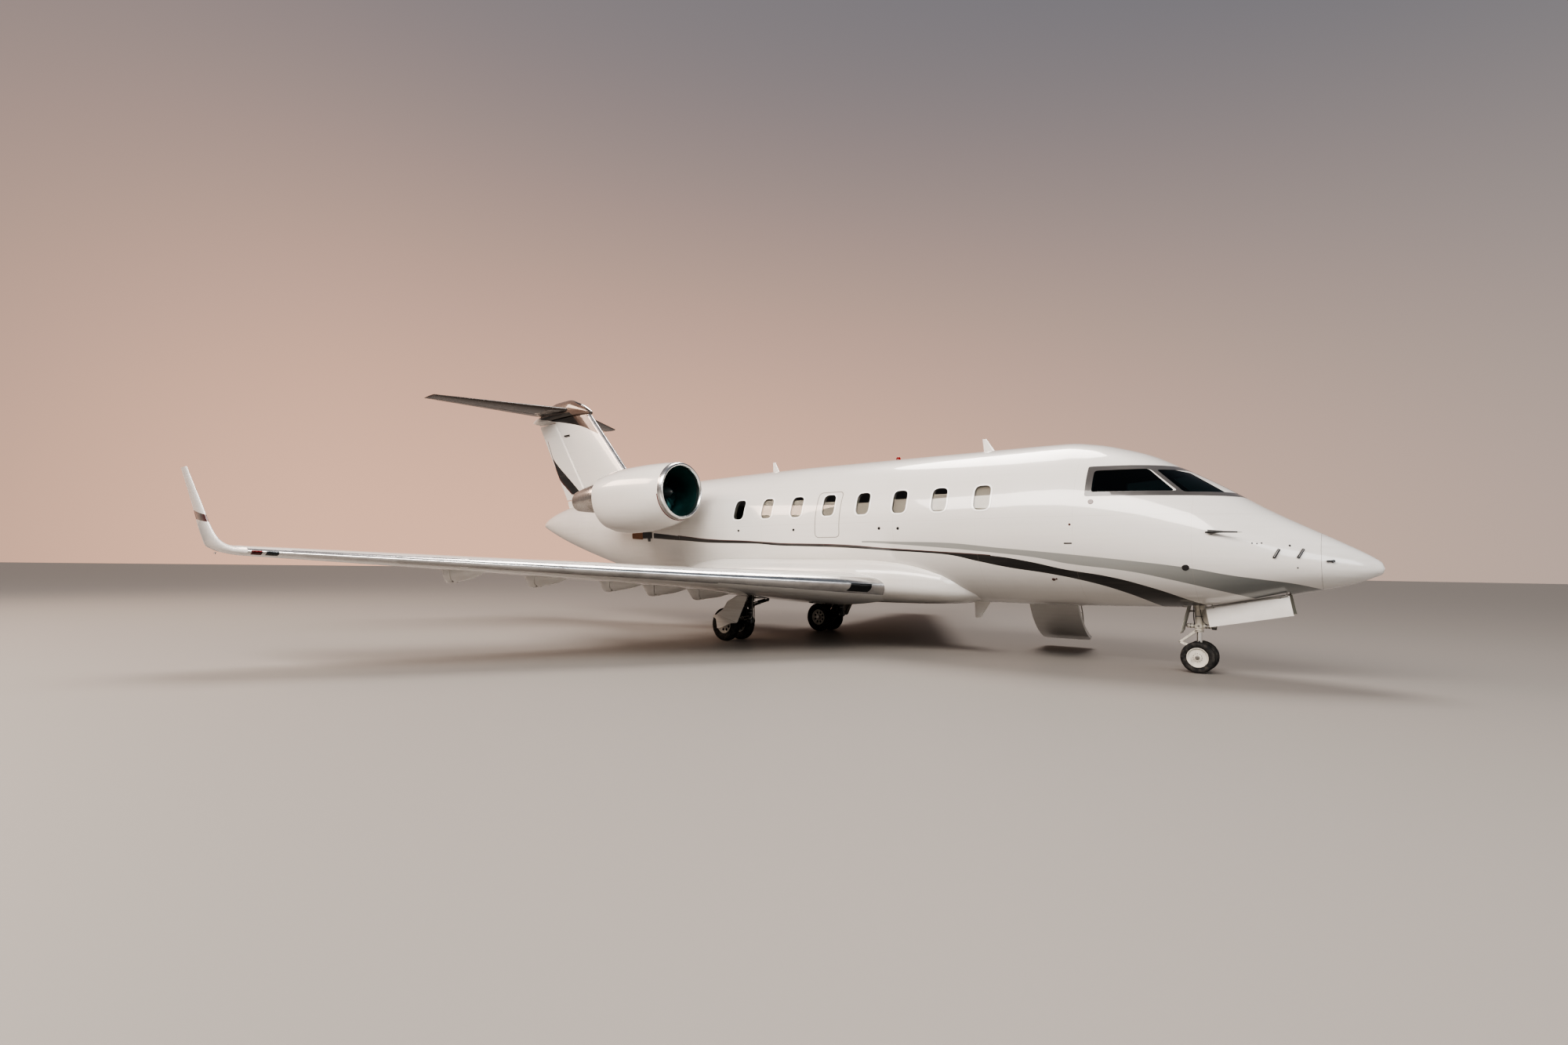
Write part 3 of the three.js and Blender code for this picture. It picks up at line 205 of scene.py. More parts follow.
def merged(meshes):
    """One mesh of several that have the same finishes."""
    work = bmesh.new()
    for mesh in meshes:
        work.from_mesh(mesh)
    whole = bpy.data.meshes.new("mesh")
    work.to_mesh(whole)
    work.free()
    for material in meshes[0].materials:
        whole.materials.append(material)
    return whole


def carve(mesh, parts, operation="DIFFERENCE"):
    """A closed mesh less the closed parts, or what it shares with them."""
    body = bpy.data.objects.new("body", mesh)
    tool = bpy.data.objects.new("tool", mesh_of(parts, mesh.materials))
    for work in (body, tool):
        bpy.context.scene.collection.objects.link(work)
    cut = body.modifiers.new("cut", "BOOLEAN")
    cut.operation, cut.object, cut.solver = operation, tool, "EXACT"
    graph = bpy.context.evaluated_depsgraph_get()
    made = bpy.data.meshes.new_from_object(body.evaluated_get(graph), depsgraph=graph)
    for work in (body, tool):
        bpy.data.objects.remove(work)
    return made


def shared(mesh, parts):
    return carve(mesh, parts, "INTERSECT")


def smooth_hull(mesh, skins):
    """Gives faces of the finishes in skins the smooth body's own normals: 1 outward, -1 inward."""
    normals = hull_normals([v.co for v in mesh.vertices])
    corners = np.zeros((len(mesh.loops), 3))
    for face in mesh.polygons:
        turn = skins.get(face.material_index)
        for loop in face.loop_indices:
            corners[loop] = face.normal if turn is None else turn * normals[mesh.loops[loop].vertex_index]
    mesh.polygons.foreach_set("use_smooth", [True] * len(mesh.polygons))
    mesh.normals_split_custom_set([tuple(n) for n in corners])
    return mesh


def fit(name, mesh, solid=None, body="airframe", angle=35):
    """Places a piece on its body and in its slot, for its solid, with edges sharp beyond the angle."""
    if angle:
        mesh.polygons.foreach_set("use_smooth", [True] * len(mesh.polygons))
        mesh.set_sharp_from_angle(angle=math.radians(angle))
    mesh.name = name
    piece = bpy.data.objects.new(name, mesh)
    bpy.context.scene.collection.objects.link(piece)
    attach(piece, body)
    if solid:
        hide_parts(solid)
    return piece


def feed(socket, value):
    """Gives a socket a value, a colour or the output that feeds it."""
    if isinstance(value, bpy.types.NodeSocket):
        socket.id_data.links.new(value, socket)
    else:
        socket.default_value = (*value, 1) if socket.type == "RGBA" else value


def node(tree, kind, inputs=None, **settings):
    """The outputs of a new shader node."""
    made = tree.nodes.new("ShaderNode" + kind)
    for name, value in settings.items():
        setattr(made, name, value)
    for key, value in (inputs or {}).items():
        feed(made.inputs[key], value)
    return made.outputs


def calc(tree, operation, *values):
    return node(tree, "Math", dict(enumerate(values)), operation=operation)[0]


def blended(tree, factor, first, second):
    return node(tree, "Mix", {0: factor, 6: first, 7: second}, data_type="RGBA")[2]


def edge(tree, value, start, end):
    """0 at start, 1 at end."""
    inputs = {"Value": value, "From Min": start, "From Max": end}
    return node(tree, "MapRange", inputs, interpolation_type="SMOOTHSTEP")[0]


def noise(tree, spot, scale, detail=2.0, rough=0.5, stretch=None):
    """Soft random pattern, drawn out by a stretch."""
    place = node(tree, "Mapping", {"Vector": spot, "Scale": stretch})[0] if stretch else spot
    return node(tree, "TexNoise", {"Vector": place, "Scale": scale, "Detail": detail, "Roughness": rough})[0]


def times(colour, amount):
    return tuple(c * amount for c in colour)


def effect(name, inputs, outputs):
    """A node group with named inputs, of a value or a place (None), and named outputs."""
    tree = bpy.data.node_groups.new(name, "ShaderNodeTree")
    for title, value in inputs.items():
        kind = "NodeSocketVector" if value is None else "NodeSocketFloat"
        socket = tree.interface.new_socket(title, in_out="INPUT", socket_type=kind)
        if value is not None:
            socket.default_value = value
    for title in outputs:
        tree.interface.new_socket(title, in_out="OUTPUT", socket_type="NodeSocketFloat")
    return tree, tree.nodes.new("NodeGroupInput").outputs, tree.nodes.new("NodeGroupOutput").inputs


def finish(name, rough, values=None, place="Object"):
    """A new material, its tree and the place of a point, with plain values on its shader's sockets."""
    material = bpy.data.materials.new(name)
    material.use_nodes = True
    tree = material.node_tree
    for title, value in {"Roughness": rough, **(values or {})}.items():
        feed(tree.nodes["Principled BSDF"].inputs[title], value)
    if place == "Object":
        return material, tree, node(tree, "TexCoord")["Object"]
    return material, tree, node(tree, "Attribute", attribute_name=place)["Vector"]


def dressed(material, shade, gloss=None, height=None, strength=0.5, reach=0.002):
    """A material whose shader takes a varying colour, roughness and relief."""
    tree = material.node_tree
    inputs = tree.nodes["Principled BSDF"].inputs
    feed(inputs["Base Color"], shade)
    if gloss:
        feed(inputs["Roughness"], gloss)
    if height:
        relief = {"Height": height, "Strength": strength, "Distance": reach}
        feed(inputs["Normal"], node(tree, "Bump", relief)[0])
    return material


# Fine unevenness of sprayed paint, and the soft film of road dust and rain marks that lies on it.
wear, given, out = effect("weathering", {"Place": None, "Amount": 0.06}, ("Peel", "Film", "Gloss"))
cloud = noise(wear, given["Place"], 1.3, 6.0, 0.6)
streak = noise(wear, given["Place"], 1.6, 3.0, stretch=(0.6, 3.0, 14.0))
dusty = edge(wear, calc(wear, "MULTIPLY", cloud, streak), 0.12, 0.42)
feed(out["Peel"], noise(wear, given["Place"], 90.0))
feed(out["Film"], calc(wear, "MULTIPLY", dusty, given["Amount"]))
feed(out["Gloss"], edge(wear, cloud, 0.3, 0.75))

# Butt joints between skin panels, with rows of rivets beside them.
SEAM_HALF, RIVET_ROW = 0.0016, 0.014
seams, given, out = effect("panel_seams", {"Along": 0.0, "Across": 0.0, "Pitch": 0.76, "Start": 0.0},
                           ("Groove", "Rivets"))
shifted = calc(seams, "SUBTRACT", given["Along"], given["Start"])
gone = calc(seams, "PINGPONG", shifted, calc(seams, "MULTIPLY", given["Pitch"], 0.5))
off_row = calc(seams, "POWER", calc(seams, "ABSOLUTE", calc(seams, "SUBTRACT", gone, RIVET_ROW)), 2.0)
off_rivet = calc(seams, "POWER", calc(seams, "PINGPONG", given["Across"], RIVET_ROW), 2.0)
reach = calc(seams, "SQRT", calc(seams, "ADD", off_row, off_rivet))
rivet = calc(seams, "SUBTRACT", 1.0, edge(seams, reach, 0.0022, 0.0032))
feed(out["Groove"], calc(seams, "SUBTRACT", 1.0, edge(seams, gone, SEAM_HALF * 0.4, SEAM_HALF)))
feed(out["Rivets"], calc(seams, "MULTIPLY", rivet, calc(seams, "COMPARE", gone, RIVET_ROW, 0.004)))

# The livery is drawn by station and height: each edge is a line of (station, height) on the skin.
BLACK_TOP = [(1.60, 0.840), (2.011, 1.012), (2.263, 1.099), (2.624, 1.246), (3.041, 1.375), (3.754, 1.496),
             (4.738, 1.690), (5.764, 1.759), (6.580, 1.810), (7.898, 1.903), (9.395, 1.945), (9.93, 1.987),
             (10.64, 2.013), (11.18, 2.040), (11.75, 2.095), (12.24, 2.144), (12.69, 2.187), (14.0, 2.300)]
BLACK_LOW = [(2.0, 0.55), (2.30, 0.76), (2.581, 0.961), (2.652, 1.018), (3.219, 1.241), (3.779, 1.390),
             (4.771, 1.541), (5.769, 1.735), (6.586, 1.783), (7.906, 1.859), (9.401, 1.908), (9.94, 1.949),
             (10.65, 1.963), (11.19, 1.978), (11.76, 2.020), (12.25, 2.047), (12.70, 2.077), (14.0, 2.165)]
GREY_TOP = [(0.3, 1.17), (0.653, 1.272), (0.764, 1.304), (1.043, 1.362), (1.529, 1.427), (2.222, 1.557),
            (2.966, 1.650), (3.793, 1.740), (4.716, 1.827), (5.737, 1.924), (6.559, 1.946), (7.284, 1.968),
            (8.2, 1.905)]
GREY_LOW = [(0.9, 0.96), (1.30, 1.09), (1.547, 1.164), (1.823, 1.236), (2.260, 1.346), (2.885, 1.483),
            (3.736, 1.591), (4.191, 1.680), (4.729, 1.742), (5.764, 1.84), (6.580, 1.90), (7.3, 1.94),
            (8.2, 1.95)]
RED_LINE, BLACK_ENDS, RED_ENDS, GREY_ENDS = 0.013, (1.9, 13.10), (4.9, 12.2), (0.5, 7.3)
DEEP_GREY_FADE = (3.2, 0.9)
SOFT_EDGE, CURVE_STOPS = 0.0015, 24


class Scheme:
    """A paint scheme by place: masks of strips between smooth lines of (station, height)."""

    def __init__(self, name, outputs):
        self.group, given, self.out = effect(name, {"Place": None}, outputs)
        axes = node(self.group, "SeparateXYZ", {0: given["Place"]})
        self.station, self.height = self.calc("SUBTRACT", LENGTH / 2, axes[0]), axes[2]

    def calc(self, operation, *values):
        return calc(self.group, operation, *values)

    def below(self, table):
        """How far the point lies below a smooth line."""
        low, long = table[0][0], table[-1][0] - table[0][0]
        floor = min(z for along, z in table)
        tall = max(z for along, z in table) - floor
        curve = self.group.nodes.new("ShaderNodeFloatCurve")
        curve.inputs["Factor"].default_value = 1.0
        feed(curve.inputs["Value"], self.calc("DIVIDE", self.calc("SUBTRACT", self.station, low), long))
        line = curve.mapping.curves[0]
        stops = np.linspace(low, low + long, CURVE_STOPS)
        while len(line.points) < len(stops):
            line.points.new(0.5, 0.5)
        for point, stop, value in zip(line.points, stops, eased(table)(stops)[:, 0]):
            point.location = ((stop - low) / long, (value - floor) / tall)
        curve.mapping.update()
        level = self.calc("MULTIPLY_ADD", curve.outputs[0], tall, floor)
        return self.calc("SUBTRACT", level, self.height)

    def inside(self, value):
        return edge(self.group, value, -SOFT_EDGE, SOFT_EDGE)

    def outside(self, value):
        return self.calc("SUBTRACT", 1.0, self.inside(value))

    def both(self, first, second):
        return self.calc("MULTIPLY", first, second)

    def strip(self, upper, lower, ends=None):
        """Mask under one line and over another, between two stations."""
        mask = self.both(self.inside(upper), self.outside(lower))
        return self.both(mask, self.between(ends)) if ends else mask

    def between(self, ends):
        ahead = self.inside(self.calc("SUBTRACT", self.station, ends[0]))
        return self.both(ahead, self.inside(self.calc("SUBTRACT", ends[1], self.station)))


livery = Scheme("livery", ("Black", "Red", "Grey", "Deep"))
black_top = livery.below(BLACK_TOP)
grey = livery.strip(livery.below(GREY_TOP), livery.below(GREY_LOW), GREY_ENDS)
feed(livery.out["Black"], livery.strip(black_top, livery.below(BLACK_LOW), BLACK_ENDS))
feed(livery.out["Red"], livery.strip(livery.calc("ADD", black_top, RED_LINE), black_top, RED_ENDS))
feed(livery.out["Grey"], grey)
feed(livery.out["Deep"], livery.both(grey, edge(livery.group, livery.station, *DEEP_GREY_FADE)))

WHITE, DUST, BLACK = (0.745, 0.722, 0.690), (0.42, 0.36, 0.29), (0.006, 0.006, 0.007)
RED, GREY, DEEP_GREY = (0.060, 0.007, 0.007), (0.33, 0.335, 0.32), (0.17, 0.18, 0.175)
STRIPES = (livery, [("Grey", GREY), ("Deep", DEEP_GREY), ("Red", RED), ("Black", BLACK)])


def gloss_paint(name, colour, place="Object", coats=None, seam=(), rough=0.32, film=0.10):
    """Clear-coated paint with its film of dust; coats are a scheme and the colours of its outputs."""
    material, tree, spot = finish(name, rough, {"Coat Weight": 1.0, "Coat Roughness": 0.04}, place)
    aged = node(tree, "Group", {"Place": spot, "Amount": film}, node_tree=wear)
    axes = node(tree, "SeparateXYZ", {0: spot})
    shade = colour
    if coats:
        marks = node(tree, "Group", {"Place": spot}, node_tree=coats[0].group)
        for output, coat in coats[1]:
            shade = blended(tree, marks[output], shade, coat)
    shade = blended(tree, aged["Film"], shade, DUST)
    height = calc(tree, "MULTIPLY", aged["Peel"], 0.02)
    for along, across, pitch, start in seam:
        run = {"Along": axes[along], "Across": axes[across], "Pitch": pitch, "Start": start}
        joint = node(tree, "Group", run, node_tree=seams)
        height = calc(tree, "SUBTRACT", height, joint["Groove"])
        height = calc(tree, "MULTIPLY_ADD", joint["Rivets"], -0.25, height)
        shade = blended(tree, calc(tree, "MULTIPLY", joint["Groove"], 0.45), shade, DUST)
    gloss = calc(tree, "MULTIPLY_ADD", aged["Gloss"], 0.08, rough - 0.04)
    return dressed(material, shade, gloss, height, 0.35, 0.0008)


striped_paint = gloss_paint("striped_paint", WHITE, coats=STRIPES, film=0.06,
                            seam=[(0, 2, 1.52, at(3.60)), (2, 0, 1.34, 2.30)])
lining = gloss_paint("cabin_lining", (0.55, 0.50, 0.43), rough=0.65, film=0.03)
reveal_paint = gloss_paint("reveal_paint", (0.62, 0.60, 0.57), rough=0.4, film=0.05)
wall_finishes = [striped_paint, lining, reveal_paint]

WINDOW = {"first": 5.02, "pitch": 0.76, "count": 8, "width": 0.285, "height": 0.41, "corner": 0.11,
          "centre": 2.65}
EXIT = {"window": 4, "width": 0.55, "low": 2.045, "high": 2.905, "corner": 0.09}
DOOR = {"fore": 4.305, "aft": 5.215, "sill": 1.56, "head": 3.27, "corner": 0.10, "open": 154}
NOSE_BAY = {"fore": 1.01, "aft": 2.33, "half": 0.29, "roof": 1.44, "under": 0.7}
WINDSHIELD = [(1.655, 2.578), (2.19, 2.955), (2.40, 3.008), (2.585, 2.998), (2.215, 2.640)]
SIDE_PANE = [(2.310, 2.655), (2.672, 3.010), (3.110, 3.020), (3.362, 2.998), (3.366, 2.662)]
POST_HALF = 0.032
BEYOND, WITHIN = 1.6, 0.5


def rounded(corners, radius, steps=7):
    """Outline with each corner rounded off from a radius away."""
    corners = np.asarray(corners, float)
    points = []
    for k, corner in enumerate(corners):
        ways = [corners[k - 1] - corner, corners[(k + 1) % len(corners)] - corner]
        lengths = [np.linalg.norm(way) for way in ways]
        first, last = (corner + w / n * min(radius, n * 0.45) for w, n in zip(ways, lengths))
        for t in np.linspace(0, 1, steps):
            points.append((1 - t) ** 2 * first + 2 * t * (1 - t) * corner + t**2 * last)
    return np.array(points)


def block(fore, aft, low, high):
    """Corners of an upright rectangle of stations and heights."""
    return [(fore, low), (aft, low), (aft, high), (fore, high)]


def rectangle(station, height, width, tall):
    w, h = width / 2, tall / 2
    return block(station - w, station + w, height - h, height + h)


def side_prism(outline, low, high, mark=0):
    """Closed prism over a (station, height) outline between two spans."""
    outline = np.asarray(outline, float)
    x, z = LENGTH / 2 - outline[:, 0], outline[:, 1]
    return capped([np.stack([x, np.full(len(x), y), z], 1) for y in (low, high)], mark)


def through(outline, side, mark=0, within=WITHIN, beyond=BEYOND):
    """Prism through the port (1) or starboard (-1) wall."""
    return side_prism(outline, *((within, beyond) if side > 0 else (-beyond, -within)), mark)


def window_outline(station, grown=0.0):
    w, h = WINDOW["width"] + 2 * grown, WINDOW["height"] + 2 * grown
    return rounded(rectangle(station, WINDOW["centre"], w, h), WINDOW["corner"] + grown * 1.2)


window_stations = [WINDOW["first"] + k * WINDOW["pitch"] for k in range(WINDOW["count"])]
window_list = [(k, s, side) for k, s in enumerate(window_stations) for side in (1, -1) if (k, side) != (0, 1)]
exit_station = window_stations[EXIT["window"]]


def exit_outline(grown=0.0):
    w, h = EXIT["width"] + 2 * grown, EXIT["high"] - EXIT["low"] + 2 * grown
    return rounded(rectangle(exit_station, (EXIT["high"] + EXIT["low"]) / 2, w, h), EXIT["corner"] + grown)


def door_outline(gap):
    corners = block(DOOR["fore"] + gap, DOOR["aft"] - gap, DOOR["sill"] + gap, DOOR["head"] - gap)
    return rounded(corners, DOOR["corner"])


def hull_shell(fore, aft, outer, inner, step=0.11, marks=(0, 2, 1, 2)):
    """Closed shell of the body between two insets; marks are its outer, aft, inner and fore finishes."""
    count = max(2, int((aft - fore) / step))
    stations = np.linspace(fore, aft, count + 1)
    rings = [hull_ring(s, outer) for s in stations] + [hull_ring(s, inner) for s in stations[::-1]]
    return loft(rings, [marks[0]] * count + [marks[1]] + [marks[2]] * count + [marks[3]], closed=True)


def skin_sheet(ends, insets, step, material, room, holes=()):
    """A sheet along the skin between two insets: what lies in the room's prisms, less the holes."""
    sheet = mesh_of([hull_shell(*ends, *insets, step, (0, 0, 0, 0))], [material])
    sheet = shared(sheet, room)
    return carve(sheet, holes) if holes else sheet


openings = []
for k, station, side in window_list:
    if (k, side) != (EXIT["window"], -1):
        openings.append(through(window_outline(station), side, 2))
openings += [through(exit_outline(), -1, 2), through(door_outline(0.0), 1, 2)]
openings += [through(rounded(WINDSHIELD, 0.03), side, 2, POST_HALF) for side in (1, -1)]
openings += [through(rounded(SIDE_PANE, 0.04), side, 2) for side in (1, -1)]
bay = NOSE_BAY
bay_corners = block(bay["fore"], bay["aft"], bay["under"], bay["roof"])
openings.append(side_prism(bay_corners, -bay["half"], bay["half"], 2))
shell = mesh_of([hull_shell(RADOME_JOINT + PANEL_GAP, TAIL_JOINT - PANEL_GAP, 0, WALL)], wall_finishes)
shell = smooth_hull(carve(shell, openings), {0: 1, 1: -1})
fit("fuselage_skin", shell, "fuselage", angle=0)

# Radome
# The nose cone over the weather radar, moulded in glass fibre. It butts against the pressure shell's
# first frame with a thin rubber line in the joint.

radome_paint = gloss_paint("radome_paint", (0.74, 0.725, 0.70), coats=STRIPES, rough=0.34, film=0.14)
cone_stations = [0.0004, 0.002, 0.005, 0.010, 0.016, 0.024, 0.035]
cone_stations += list(np.linspace(0.05, RADOME_JOINT - PANEL_GAP, 26))
cone = mesh_of([capped([hull_ring(s) for s in cone_stations])], [radome_paint, reveal_paint])
fit("radome_skin", smooth_hull(cone, {0: 1}), "radome", angle=0)

# Tail section
# The unpressurised cone behind the rear bulkhead, one riveted panel on another, open inside. A rounded
# cap closes its end.

TAIL_CAP, TAIL_END = 18.3, 19.24
END_ROUND = [(0.03, 0.86), (0.052, 0.62), (0.066, 0.34), (0.0695, 0.08)]
tail_paint = gloss_paint("tail_paint", WHITE, coats=STRIPES,
                         seam=[(0, 2, 0.95, at(TAIL_JOINT)), (2, 0, 1.34, 2.30)])
cone = hull_shell(TAIL_JOINT + PANEL_GAP, TAIL_CAP, 0, 0.045, 0.16)
cone = mesh_of([cone], [tail_paint, lining, reveal_paint])
fit("tail_skin", smooth_hull(cone, {0: 1, 1: -1}), "tail_section", angle=0)
rings = [hull_ring(s) for s in np.linspace(TAIL_CAP, TAIL_END, 10)]
middle = np.array((at(TAIL_END), 0, hull(TAIL_END)[0][3]))
rings += [middle + (rings[9] - middle) * size - (aft, 0, 0) for aft, size in END_ROUND]
fit("tail_end", mesh_of([capped(rings)], [tail_paint]), angle=60)

# Belly fairing
# Composite panels that carry the wing's root round the fuselage's keel, with the two main wheel wells in
# its flat bottom. Its upper edge lies on the skin with a bead of sealant.

FAIRING = [
    # station, top, bottom, half width
    (5.35, 1.290, 0.960, 0.560), (5.90, 1.560, 0.862, 1.080), (6.70, 1.720, 0.835, 1.350),
    (7.60, 1.760, 0.826, 1.440), (10.6, 1.760, 0.826, 1.440), (11.5, 1.700, 0.838, 1.330),
    (12.3, 1.540, 0.885, 1.040), (12.95, 1.290, 0.975, 0.560),
]
FAIRING_POWER, FAIRING_STEPS, FAIRING_WALL = 0.7, 29, 0.02
WHEEL_WELL = {"station": 10.16, "span": 0.915, "radius": 0.37, "depth": 0.23, "floor": 0.826}
CUP = [(0.37, 0.0), (0.37, 0.19), (0.34, 0.225), (0.12, 0.228), (0.01, 0.228)]
fairing_at = eased(FAIRING)


def fairing_ring(station, inset):
    """Points from the port edge on the skin, round the bottom, to the starboard edge."""
    top, bottom, half = fairing_at(station)[0]
    middle, tall = (top + bottom) / 2, (top - bottom) / 2
    turn = np.linspace(0, math.pi, 400)
    shape = lambda v: np.sign(v) * np.abs(v) ** FAIRING_POWER
    y, z = half * shape(np.sin(turn)), middle + tall * shape(np.cos(turn))
    crown, keel, wide, waist = hull(station)[0]
    rise = np.where(z > waist, crown - waist, waist - keel)
    outside = (y / wide) ** 2 + ((z - waist) / rise) ** 2 > 1.0
    first = np.argmax(outside) if outside.any() else 399
    y, z = y[first:], z[first:]
    length = np.concatenate([[0], np.cumsum(np.hypot(np.diff(y), np.diff(z)))])
    even = np.linspace(0, length[-1], FAIRING_STEPS)
    y, z = np.interp(even, length, y), np.interp(even, length, z)
    y, z = y * (1 - inset / half), middle + (z - middle) * (1 - inset / tall)
    port = np.stack([np.full(len(y), at(station)), y, z], 1)
    return np.concatenate([port, port[-2::-1] * (1, -1, 1)])


def upright_rings(x, y, rows, sides=40):
    """Level rings from rows of height and radius."""
    turn = turns(sides)
    return [np.stack([x + r * np.cos(turn), y + r * np.sin(turn), np.full(sides, z)], 1) for z, r in rows]


def column(rows, x, y, sides=40, mark=0):
    """Upright body of revolution."""
    return capped(upright_rings(x, y, rows, sides), mark)


fairing_paint = gloss_paint("fairing_paint", WHITE, seam=[(0, 1, 1.3, at(7.6))], film=0.16)
well_paint = gloss_paint("well_paint", (0.24, 0.25, 0.23), rough=0.6, film=0.5)
stations = [*np.linspace(5.42, 7.6, 30), *np.linspace(7.7, 10.6, 20), *np.linspace(10.7, 12.9, 30)]
rings = [np.concatenate([fairing_ring(s, 0), fairing_ring(s, FAIRING_WALL)[::-1]]) for s in stations]
well = WHEEL_WELL
well_x, well_low = at(well["station"]), well["floor"]
bore = [(well_low - 0.05, well["radius"]), (well_low + well["depth"], well["radius"])]
wells = [column(bore, well_x, side * well["span"], 48, 1) for side in (1, -1)]
belly = carve(mesh_of([capped(rings)], [fairing_paint, well_paint]), wells)
fit("belly_fairing_skin", belly, "belly_fairing", angle=30)
for side, name in ((1, "left"), (-1, "right")):
    rows = [(well_low + z + 0.001, radius - 0.001) for radius, z in CUP]
    rings = upright_rings(well_x, side * well["span"], rows, 48)
    cup = mesh_of([loft(rings)], [well_paint], open_sheet=True)
    cup.flip_normals()
    fit("wheel_well_" + name, cup)

# Wings
# Machined alloy skins over a two-spar box, painted white, with a polished leading edge that the bleed air
# heats. Behind the rear spar is the cove in which flaps and aileron turn.

WING = [
    # span, station, height, chord, thickness share, twist
    (1.000, 6.590, 1.145, 4.500, 0.135, 2.4), (1.450, 6.850, 1.168, 4.220, 0.135, 2.3),
    (3.900, 8.260, 1.296, 2.900, 0.120, 0.9), (9.450, 11.450, 1.584, 1.270, 0.105, -1.6),
]
AILERON = {"inner": 7.26, "outer": 9.0, "share": 0.74, "inner_gap": 0.02, "outer_gap": 0.02}
FLAPS = [
    {"name": "inboard", "inner": 1.64, "outer": 3.855, "share": 0.86, "hinges": (2.2, 3.25),
     "inner_gap": 0.02, "outer_gap": 0.05},
    {"name": "outboard", "inner": 3.905, "outer": 7.13, "share": 0.75, "hinges": (4.35, 5.55, 6.75),
     "inner_gap": 0.054, "outer_gap": 0.02},
]
LEG_WELL = {"fore": 9.60, "aft": 9.81, "inner": 1.46, "outer": 1.72, "low": 0.6, "roof": 1.085}
FOIL_CURVE = (0.2969, -0.126, -0.3516, 0.2843, -0.1036)
COVE_GAP, COVE_BOW, POLISHED_SHARE, EDGE_HALF = 0.012, 0.012, 0.045, 0.003


def row_at(table, place):
    """A table's row at a place, by straight lines."""
    rows = np.array(table, float)
    return [np.interp(place, rows[:, 0], values) for values in rows[:, 1:].T]


def foil(station, span, height, chord, thick, turn=0.0, lean=0.0):
    """A section: its nose's place, chord, thickness share, and twist and lean in degrees."""
    lean = math.radians(lean)
    return {"lead": np.array((at(station), span, height)), "chord": chord, "thick": thick,
            "up": np.array((0, -math.sin(lean), math.cos(lean))), "turn": math.radians(turn)}


def level_foil(table, span):
    station, *rest = row_at(table, span)
    return foil(station, span, *rest)


def foil_point(section, share, side):
    """Point of the upper (1) or lower (-1) surface at a share of the chord."""
    powers = (math.sqrt(share), share, share**2, share**3, share**4)
    curve = sum(factor * power for factor, power in zip(FOIL_CURVE, powers))
    off = side * max(5 * section["thick"] * section["chord"] * curve, EDGE_HALF if share > 0.9 else 0)
    along, turn = share * section["chord"], section["turn"]
    aft = along * math.cos(turn) - off * math.sin(turn)
    rise = off * math.cos(turn) - along * math.sin(turn)
    return section["lead"] + (-aft, 0, 0) + section["up"] * rise


def shares_to(rear):
    """Shares of the chord from the nose to a rear edge, closest where the curve is tightest."""
    reach = math.pi if rear == 1 else math.pi / 1.25
    return rear * (1 - np.cos(np.linspace(0, reach, 26))) / (1 - math.cos(reach))


def foil_ring(section, rear=1.0, cove=0.0):
    """Section from the lower rear edge round the nose to the upper rear edge, then round the cove."""
    shares = shares_to(rear)
    ring = [foil_point(section, s, -1) for s in shares[:0:-1]] + [foil_point(section, s, 1) for s in shares]
    if rear < 1:
        top, bottom = ring[-1], ring[0]
        for t in np.linspace(0, 1, 9)[1:-1]:
            ring.append(top + (bottom - top) * t + (math.sin(math.pi * t) * cove, 0, 0))
    return np.array(ring)


def hinge_of(section, share):
    """Middle of the section's thickness, where a moving surface turns."""
    return (foil_point(section, share, 1) + foil_point(section, share, -1)) / 2


def nose_of(section, share):
    """Half the section's thickness there."""
    return np.linalg.norm(foil_point(section, share, 1) - foil_point(section, share, -1)) / 2


def foil_loft(section_at, spans, rear=1.0, cove=0.0, polish=True):
    """Closed piece of a flying surface between spans; the strips of its nose have the second finish."""
    rings = [foil_ring(section_at(span), rear, cove) for span in spans]
    points, faces, marks = capped(rings)
    if polish:
        shares = shares_to(rear)
        nose = [int(s < POLISHED_SHARE) for s in (shares[1:] + shares[:-1]) / 2]
        strips = nose[::-1] + nose
        strips += [0] * (len(rings[0]) - len(strips))
        marks = strips * (len(rings) - 1) + [0, 0]
    return points, faces, marks


def cut_share(section_at, surface, span):
    """Chord share of the fixed skin's rear edge ahead of a moving surface."""
    section = section_at(span)
    gap = nose_of(section, surface["share"]) * 1.12 + COVE_GAP
    return surface["share"] - gap / section["chord"]


def spans_between(start, stop, breaks):
    return [start] + [b for b in breaks if start < b < stop] + [stop]


def fixed_parts(section_at, ends, surfaces, breaks):
    """Closed pieces of a fixed surface from one end to the other, cut away for its moving surfaces."""
    parts, place = [], ends[0]
    for surface in surfaces:
        start = max(surface["inner"] - surface["inner_gap"], place)
        stop = surface["outer"] + surface["outer_gap"]
        if start > place:
            parts.append(foil_loft(section_at, spans_between(place, start, breaks)))
        rear = min(cut_share(section_at, surface, end) for end in (start, stop))
        parts.append(foil_loft(section_at, spans_between(start, stop, breaks), rear, COVE_BOW))
        place = stop
    if place < ends[1]:
        parts.append(foil_loft(section_at, spans_between(place, ends[1], breaks)))
    return parts


def mirrored(mesh):
    """The starboard twin of a port mesh."""
    twin = mesh.copy()
    twin.transform(Matrix.Diagonal((1, -1, 1, 1)))
    twin.flip_normals()
    return twin


